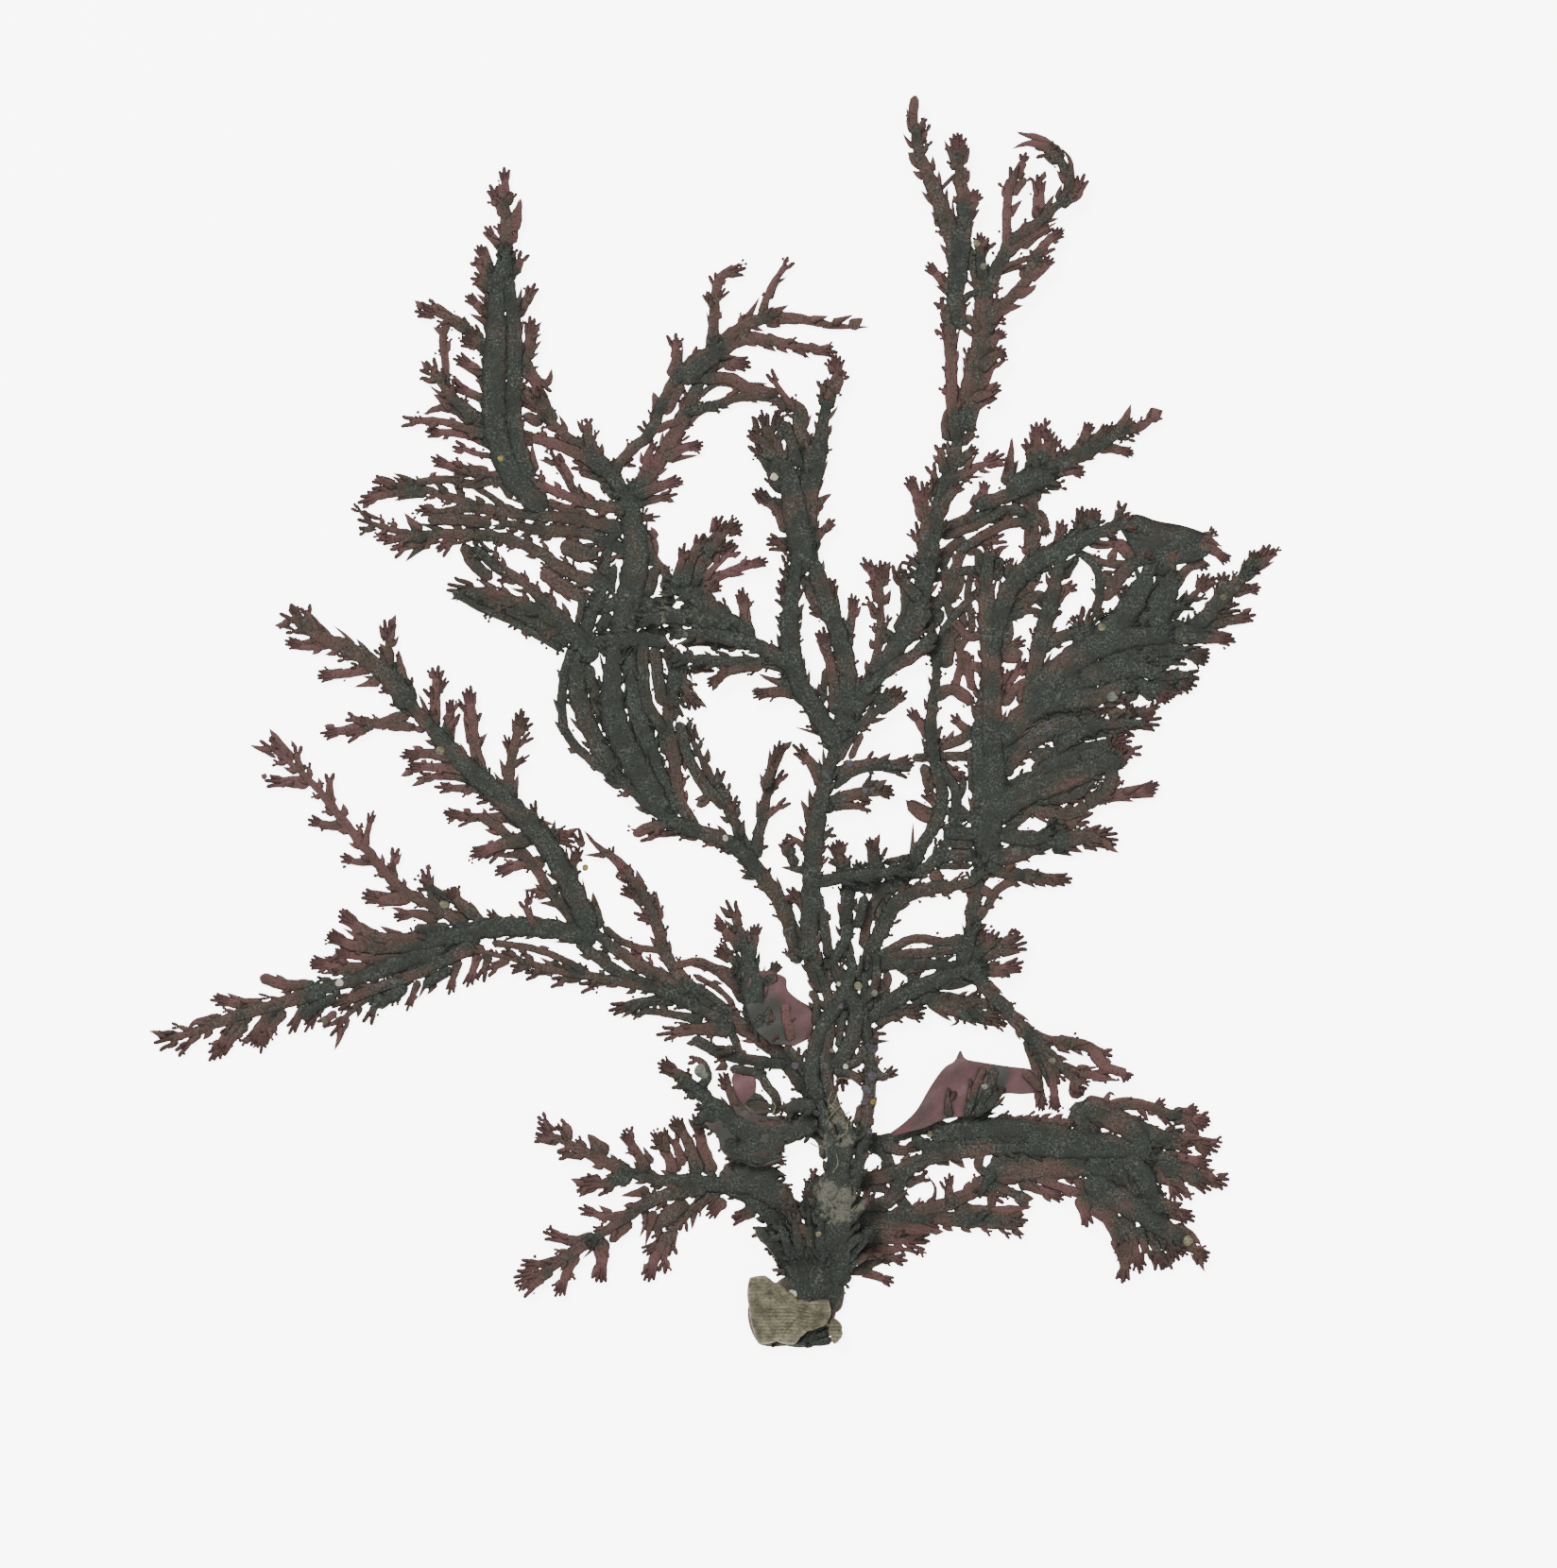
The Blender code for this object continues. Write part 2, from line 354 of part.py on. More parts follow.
    (0.8, 2, (-32.0, 36.6), (-33.4, 38.4), (-35.1, 39.0)),
    (1.0, 3, (-29.4, 35.8), (-31.0, 37.4), (-31.9, 38.6)),
    (0.7, 1, (-29.0, 35.2), (-30.0, 37.4)),
    (0.6, 3, (-26.8, 35.0), (-28.5, 36.7)),
    (0.6, 2, (-24.0, 34.8), (-24.8, 36.4), (-25.4, 37.8)),
    (0.4, 1, (-24.6, 35.8), (-24.5, 37.0)),
    (0.5, 1, (-25.4, 35.0), (-26.4, 36.3)),
    (0.6, 1, (-22.2, 34.8), (-23.8, 35.9)),
    # the olive strand under it
    (1.3, 3, (-7.0, 26.4), (-12.0, 29.0), (-17.6, 30.3), (-22.6, 31.2), (-27.0, 32.4), (-31.6, 33.2)),
    (0.7, 2, (-17.0, 30.4), (-20.4, 29.4)),
    (0.7, 2, (-19.6, 30.8), (-23.1, 29.9)),
    (0.6, 2, (-22.6, 31.2), (-25.4, 30.5)),
    (0.6, 2, (-24.4, 31.6), (-26.6, 31.1)),
    (0.6, 2, (-26.4, 32.2), (-28.9, 30.6)),
    (0.6, 2, (-20.8, 30.8), (-22.4, 32.3)),
    (0.5, 2, (-24.8, 31.6), (-27.4, 33.4)),
    (1.0, 2, (-11.4, 28.6), (-14.6, 28.2), (-17.6, 27.5)),
    (0.5, 1, (-14.8, 28.0), (-16.4, 26.8)),
    (1.2, 2, (-6.4, 25.8), (-9.8, 25.8), (-13.2, 25.3)),
    # the slender branch that ends in a red blade
    (1.3, 0, (-9.4, 28.8), (-12.2, 32.2), (-13.2, 35.4), (-14.4, 38.0), (-16.0, 40.0)),
    (0.8, 1, (-15.4, 39.4), (-17.0, 41.2), (-18.4, 42.2), (-19.7, 43.7)),
    (0.6, 1, (-13.2, 36.0), (-13.2, 38.3)),
    (0.5, 1, (-12.8, 33.6), (-12.5, 35.3)),
    (0.7, 1, (-14.4, 38.0), (-15.0, 40.2)),
    (1.0, 3, (-14.0, 37.2), (-16.5, 38.7)),
    (0.9, 2, (-13.3, 35.6), (-15.2, 36.3)),
    (0.4, 2, (-17.2, 41.2), (-17.3, 42.6)),
    (0.4, 1, (-17.6, 41.5), (-19.7, 41.5)),
)
NORTH_WEST = (
    # stem up to the dense part
    (1.6, 0, (-0.4, 31.6), (-1.5, 36.0), (-3.6, 39.4), (-6.2, 42.2), (-9.6, 43.6), (-12.4, 44.8),
     (-15.0, 46.8), (-17.0, 48.7)),
    (0.9, 0, (-16.4, 48.0), (-19.4, 50.2), (-21.3, 52.4), (-21.7, 55.0), (-21.4, 58.0), (-20.6, 60.4)),
    (0.5, 1, (-21.2, 52.2), (-22.4, 53.5)),
    (0.5, 1, (-21.6, 54.2), (-22.5, 55.5)),
    (1.0, 0, (-11.6, 44.4), (-13.8, 43.9), (-15.3, 43.2)),
    (0.9, 1, (-16.2, 47.8), (-18.0, 48.2)),
    (0.8, 1, (-4.0, 39.8), (-5.6, 39.3)),
    # the twigs on its right side
    (1.4, 3, (-4.7, 40.8), (-6.2, 44.4), (-7.6, 47.2), (-9.0, 49.8), (-10.7, 53.4)),
    (0.7, 2, (-7.8, 47.4), (-7.2, 49.6)),
    (0.6, 2, (-6.6, 45.2), (-6.1, 47.2)),
    (0.5, 1, (-5.6, 43.0), (-5.3, 44.6)),
    (1.0, 3, (-4.4, 41.0), (-3.6, 45.2), (-2.9, 48.4), (-1.9, 51.6)),
    (0.5, 1, (-2.9, 48.6), (-3.0, 51.0)),
    (0.5, 1, (-3.2, 47.0), (-3.9, 48.8)),
    (0.6, 2, (-3.0, 47.2), (-1.2, 49.3)),
    (0.6, 2, (-3.7, 44.6), (-1.0, 46.6)),
    (0.5, 1, (-3.8, 44.6), (-4.2, 46.4)),
    (0.8, 2, (-4.4, 41.8), (-3.0, 42.8)),
    # the dense part
    (2.6, 0, (-12.6, 45.0), (-14.8, 49.0), (-16.8, 53.0), (-17.2, 56.4), (-17.0, 60.4)),
    (2.0, 0, (-11.6, 44.8), (-13.6, 50.0), (-15.0, 54.6), (-15.6, 58.6), (-16.6, 62.0)),
    (1.9, 0, (-16.6, 48.4), (-19.0, 52.4), (-20.2, 55.6), (-20.3, 58.4), (-19.0, 61.4)),
    (1.3, 0, (-9.6, 43.6), (-11.1, 46.5), (-11.7, 51.0), (-12.2, 53.2), (-11.6, 57.0), (-12.6, 60.8),
     (-15.0, 63.2)),
    (1.2, 0, (-12.4, 52.4), (-14.0, 55.0), (-14.4, 58.0), (-14.4, 61.8)),
    (1.1, 0, (-16.2, 50.6), (-18.4, 54.6), (-19.4, 58.6)),
    (1.3, 3, (-11.0, 59.0), (-10.8, 56.8), (-9.4, 54.4)),
    (1.2, 2, (-11.4, 58.0), (-11.7, 55.6), (-10.8, 53.9)),
    (1.5, 0, (-12.2, 60.6), (-15.4, 60.8), (-19.4, 60.6)),
    (1.7, 0, (-11.0, 62.6), (-15.4, 64.2), (-19.4, 63.2)),
    (1.4, 0, (-19.6, 58.6), (-19.4, 62.0), (-18.2, 65.4), (-17.7, 68.4), (-16.9, 71.0)),
    (2.7, 0, (-16.4, 60.4), (-15.6, 64.6), (-15.0, 68.4), (-15.4, 71.6), (-16.0, 74.8)),
    (0.9, 0, (-12.0, 63.6), (-12.1, 66.2), (-13.5, 68.2), (-14.6, 71.0)),
    (0.7, 2, (-13.8, 67.4), (-13.3, 69.4), (-14.5, 70.8)),
    (0.5, 2, (-12.6, 65.2), (-12.3, 67.9)),
    (0.6, 3, (-15.0, 71.6), (-12.9, 71.9)),
    (0.5, 2, (-15.0, 70.4), (-13.8, 70.9)),
    # sprays to the left, from the lowest up
    (1.8, 3, (-18.6, 59.0), (-22.0, 62.2), (-25.0, 63.9), (-28.2, 65.0), (-32.0, 65.5)),
    (0.5, 1, (-29.0, 65.0), (-31.3, 64.3)),
    (0.7, 3, (-26.0, 64.2), (-28.8, 62.9)),
    (0.7, 3, (-23.8, 63.2), (-26.5, 61.9)),
    (0.7, 2, (-21.8, 61.8), (-24.2, 60.5)),
    (1.5, 3, (-19.4, 60.4), (-23.4, 64.4), (-26.6, 67.0), (-30.0, 69.4)),
    (0.6, 2, (-25.6, 66.0), (-28.0, 66.6)),
    (1.6, 2, (-17.4, 65.6), (-21.0, 66.8), (-24.0, 68.8), (-27.4, 70.0), (-31.4, 70.3), (-35.4, 70.3),
     (-40.3, 71.7)),
    (0.7, 1, (-34.4, 70.4), (-35.9, 72.2)),
    (0.8, 3, (-34.0, 70.1), (-38.4, 69.7)),
    (0.8, 2, (-32.8, 70.0), (-35.8, 69.1), (-37.3, 68.3)),
    (0.5, 1, (-35.2, 69.3), (-37.2, 69.2)),
    (0.5, 1, (-34.2, 69.4), (-35.8, 67.8)),
    (0.6, 2, (-31.2, 70.1), (-32.9, 68.2)),
    (1.3, 0, (-15.8, 68.6), (-19.6, 70.4), (-23.4, 70.6), (-27.4, 71.4)),
    (1.6, 3, (-16.2, 70.6), (-20.0, 71.6), (-24.4, 72.0), (-28.4, 72.5), (-31.8, 73.6), (-35.4, 74.6),
     (-39.0, 74.7)),
    (0.5, 1, (-35.2, 74.5), (-37.0, 75.5)),
    (0.6, 1, (-36.6, 74.6), (-38.7, 75.3)),
    (0.9, 2, (-33.8, 74.1), (-37.4, 73.9), (-40.1, 73.1)),
    (0.5, 1, (-34.6, 74.0), (-36.8, 73.3)),
    (0.8, 3, (-29.4, 72.8), (-32.4, 72.3), (-34.9, 72.4)),
    (1.3, 2, (-15.8, 72.6), (-19.0, 72.9), (-22.0, 74.0), (-25.4, 75.4), (-28.8, 75.7), (-32.0, 75.3)),
    (0.9, 3, (-28.4, 75.6), (-31.2, 76.2), (-33.6, 77.1)),
    (0.5, 1, (-30.0, 75.9), (-31.7, 77.0)),
    (0.5, 1, (-28.8, 75.6), (-30.3, 76.8)),
    (0.7, 2, (-18.0, 72.6), (-20.5, 74.0), (-21.7, 76.0), (-23.3, 77.8)),
    (0.4, 1, (-22.1, 76.6), (-22.0, 77.7)),
    (0.4, 1, (-22.2, 76.6), (-23.8, 77.0)),
    (0.5, 1, (-20.9, 74.2), (-20.8, 75.6)),
    (0.5, 1, (-19.6, 73.2), (-20.2, 74.8)),
    (0.5, 2, (-16.6, 72.7), (-18.9, 73.2)),
    # the square stub and the two arms under it
    (1.5, 0, (-15.8, 73.6), (-17.6, 76.0), (-19.0, 78.0), (-19.5, 80.2)),
    (1.4, 3, (-17.8, 76.4), (-21.4, 79.2), (-23.4, 81.2), (-25.2, 82.9)),
    (1.2, 3, (-17.4, 75.8), (-20.0, 77.4), (-23.0, 78.6), (-26.0, 79.2)),
    (0.6, 2, (-18.2, 76.0), (-21.3, 76.6)),
    (0.9, 2, (-22.8, 80.4), (-23.6, 82.8), (-25.6, 83.2)),
    # the spire
    (2.4, 0, (-23.2, 72.4), (-26.2, 75.6), (-27.6, 79.6), (-27.8, 84.0), (-27.6, 88.0), (-27.5, 92.0),
     (-27.0, 95.0)),
    (1.6, 0, (-24.6, 75.0), (-25.9, 80.0), (-26.0, 84.0), (-25.9, 88.0), (-26.4, 92.6), (-26.8, 96.0)),
    (1.4, 0, (-27.0, 93.6), (-26.7, 97.0), (-26.8, 100.6)),
    (0.8, 3, (-26.7, 99.8), (-26.8, 101.6), (-26.9, 103.4)),
    (0.6, 1, (-26.9, 100.4), (-27.4, 101.9)),
    (0.9, 2, (-26.8, 98.8), (-27.4, 100.2), (-28.2, 101.8)),
    (0.5, 1, (-27.4, 100.2), (-27.9, 101.4)),
    (1.0, 1, (-26.5, 97.6), (-25.8, 98.8), (-25.4, 100.5)),
    (0.8, 3, (-26.8, 95.8), (-27.8, 96.8), (-28.7, 98.0)),
    (0.5, 1, (-27.2, 96.2), (-28.8, 97.3)),
    (0.9, 3, (-27.9, 93.2), (-28.7, 95.0), (-29.2, 96.4)),
    (0.5, 1, (-28.2, 94.2), (-28.5, 96.3)),
    (0.7, 2, (-28.0, 92.8), (-29.2, 94.4), (-29.9, 95.1)),
    (1.1, 2, (-27.6, 92.2), (-28.8, 93.0), (-29.9, 93.3)),
    (0.6, 1, (-27.6, 91.4), (-29.6, 92.8)),
    (0.5, 1, (-27.9, 90.8), (-29.4, 91.9)),
    (0.9, 3, (-27.8, 89.6), (-29.2, 90.8), (-30.3, 91.8)),
    (0.5, 1, (-28.2, 89.2), (-30.0, 90.1)),
    (0.8, 2, (-25.9, 93.6), (-25.6, 94.6), (-24.8, 95.9)),
    (0.5, 1, (-26.4, 94.4), (-25.8, 95.8)),
    (0.9, 2, (-25.8, 89.8), (-24.9, 91.3), (-24.1, 92.9)),
    (0.5, 1, (-25.0, 91.0), (-24.1, 91.8)),
    (1.2, 3, (-25.6, 85.0), (-24.6, 87.4), (-24.3, 89.9)),
    (0.4, 1, (-24.4, 88.4), (-23.5, 89.4)),
    (0.4, 1, (-24.6, 87.8), (-23.5, 88.3)),
    (0.4, 1, (-24.6, 86.6), (-23.5, 87.7)),
    (0.4, 1, (-24.9, 86.0), (-23.7, 86.6)),
    (0.5, 1, (-25.2, 84.8), (-23.7, 85.4)),
    (1.2, 2, (-25.4, 85.8), (-24.2, 84.2), (-22.9, 82.4)),
    (0.6, 1, (-23.8, 83.8), (-22.9, 84.0), (-22.6, 85.2)),
    (1.1, 2, (-26.6, 81.0), (-25.8, 83.0), (-24.2, 82.3), (-22.6, 80.4)),
    (1.2, 3, (-27.4, 86.0), (-29.2, 87.6), (-30.6, 88.8)),
    (1.3, 3, (-30.0, 88.6), (-32.2, 89.9), (-34.9, 90.6)),
    (0.7, 2, (-31.8, 89.7), (-33.0, 90.8), (-34.0, 91.1)),
    (0.6, 2, (-30.2, 88.7), (-30.9, 89.9)),
    (0.5, 2, (-28.8, 87.8), (-30.0, 89.4)),
    (0.8, 3, (-27.8, 85.6), (-29.2, 87.2), (-31.0, 87.7)),
    (0.8, 0, (-30.6, 81.6), (-32.0, 83.6), (-32.2, 86.0), (-32.4, 88.0), (-31.8, 89.8)),
    (0.5, 1, (-32.3, 88.4), (-33.3, 88.9)),
    (0.4, 1, (-32.1, 86.6), (-31.7, 87.9)),
    (0.4, 1, (-32.2, 86.0), (-32.6, 87.1)),
    (1.4, 2, (-29.4, 80.6), (-31.8, 82.8), (-33.0, 84.4), (-34.6, 85.1)),
    (0.7, 2, (-32.6, 83.8), (-33.8, 86.4)),
    (1.0, 3, (-27.8, 83.4), (-29.6, 85.2), (-31.4, 86.3)),
    (0.5, 1, (-28.8, 84.6), (-30.6, 85.2)),
    (0.9, 3, (-27.6, 82.0), (-29.6, 82.8), (-31.6, 83.8)),
    (1.5, 1, (-27.2, 78.6), (-29.8, 80.8), (-32.0, 81.7), (-34.2, 81.1)),
    (0.7, 1, (-31.4, 81.6), (-33.3, 82.9)),
    (0.8, 2, (-28.4, 79.2), (-32.6, 80.4), (-36.5, 80.4)),
    (0.8, 3, (-26.8, 77.6), (-30.4, 79.2), (-34.2, 79.5)),
    (0.6, 2, (-26.4, 77.0), (-29.6, 77.6), (-31.8, 78.6)),
    # the arms to the right
    (1.1, 0, (-16.2, 73.8), (-17.1, 75.6), (-15.6, 77.7), (-13.9, 79.2), (-12.9, 81.4), (-11.6, 84.0),
     (-9.6, 85.6)),
    (0.4, 1, (-15.6, 77.6), (-15.8, 78.7)),
    (0.6, 2, (-16.4, 76.6), (-14.8, 76.8)),
    (0.6, 2, (-13.8, 79.2), (-14.9, 80.5)),
    (0.8, 1, (-12.9, 81.2), (-13.5, 83.1)),
    (1.6, 0, (-15.6, 73.6), (-13.7, 75.8), (-12.0, 78.4), (-10.7, 81.0), (-9.6, 83.4), (-8.4, 85.4)),
    (0.8, 0, (-13.9, 79.4), (-12.2, 80.1), (-10.7, 80.6)),
    (0.7, 3, (-14.2, 75.6), (-13.9, 77.6), (-13.0, 78.7)),
    (0.9, 3, (-12.6, 77.0), (-10.8, 78.0), (-8.9, 78.4)),
    (0.5, 1, (-12.2, 77.0), (-9.4, 77.4)),
    (1.0, 3, (-15.0, 73.8), (-12.8, 74.6), (-10.8, 75.2)),
    (0.8, 3, (-15.4, 72.9), (-13.4, 73.4), (-11.3, 73.9)),
    (2.4, 0, (-11.2, 84.0), (-9.4, 85.6), (-7.2, 87.0)),
    (1.2, 3, (-9.6, 85.0), (-7.0, 85.8), (-4.5, 85.5)),
    (0.8, 2, (-11.9, 84.4), (-11.4, 86.6), (-12.0, 88.7)),
    (0.5, 1, (-11.3, 85.0), (-10.8, 87.2)),
    (0.4, 1, (-11.4, 86.2), (-11.9, 87.6)),
    (1.0, 2, (-8.2, 86.4), (-8.0, 90.0), (-7.8, 92.2), (-7.2, 93.6), (-5.1, 94.2)),
    (0.5, 1, (-7.0, 93.8), (-5.2, 93.5)),
    (0.5, 1, (-7.4, 93.4), (-6.3, 94.6)),
    (0.5, 2, (-7.8, 92.2), (-8.3, 94.1)),
    (0.4, 2, (-7.8, 91.2), (-6.6, 92.5)),
    (0.5, 2, (-8.1, 90.6), (-8.9, 92.3)),
    (0.3, 1, (-8.2, 88.4), (-8.7, 90.3)),
    (1.5, 0, (-8.4, 86.6), (-6.2, 88.3), (-4.6, 89.4), (-2.6, 89.7)),
    (0.9, 1, (-3.4, 89.8), (0.0, 89.6), (3.0, 89.0), (5.9, 88.9)),
    (0.5, 1, (0.6, 89.5), (2.3, 89.9)),
    (0.5, 1, (2.6, 89.2), (4.5, 90.0)),
    (0.5, 1, (1.6, 89.3), (2.9, 88.7)),
    (0.8, 1, (4.2, 88.9), (5.4, 89.7)),
    (0.6, 1, (-5.6, 88.8), (-4.6, 90.4), (-3.9, 91.6)),
    (0.7, 2, (-3.8, 89.4), (-3.2, 91.8), (-1.9, 94.0), (-0.8, 95.2)),
    (0.5, 1, (-3.2, 91.4), (-2.4, 92.8), (-1.5, 93.4)),
    (0.7, 1, (-3.4, 89.8), (-1.3, 90.9)),
    (1.2, 0, (-7.4, 86.8), (-5.0, 87.9), (-2.6, 87.5)),
    (0.9, 2, (-3.6, 87.9), (-0.6, 87.2), (3.2, 86.6)),
    (0.5, 1, (-3.6, 87.5), (-2.4, 86.7)),
    (0.5, 1, (-2.4, 87.4), (-1.3, 86.5)),
    (0.5, 1, (-1.0, 87.2), (0.6, 86.1)),
    (0.7, 1, (0.4, 87.0), (1.6, 87.2)),
    (0.5, 1, (0.8, 86.9), (2.2, 86.3)),
    (1.2, 0, (-9.4, 84.2), (-6.8, 84.3), (-4.8, 83.4), (-2.2, 82.8)),
    (0.9, 0, (-10.8, 81.2), (-8.2, 81.8), (-5.6, 82.6), (-2.2, 82.6)),
    (0.5, 1, (-9.2, 81.7), (-7.3, 81.3)),
    (0.4, 1, (-7.6, 81.9), (-6.6, 81.6)),
)
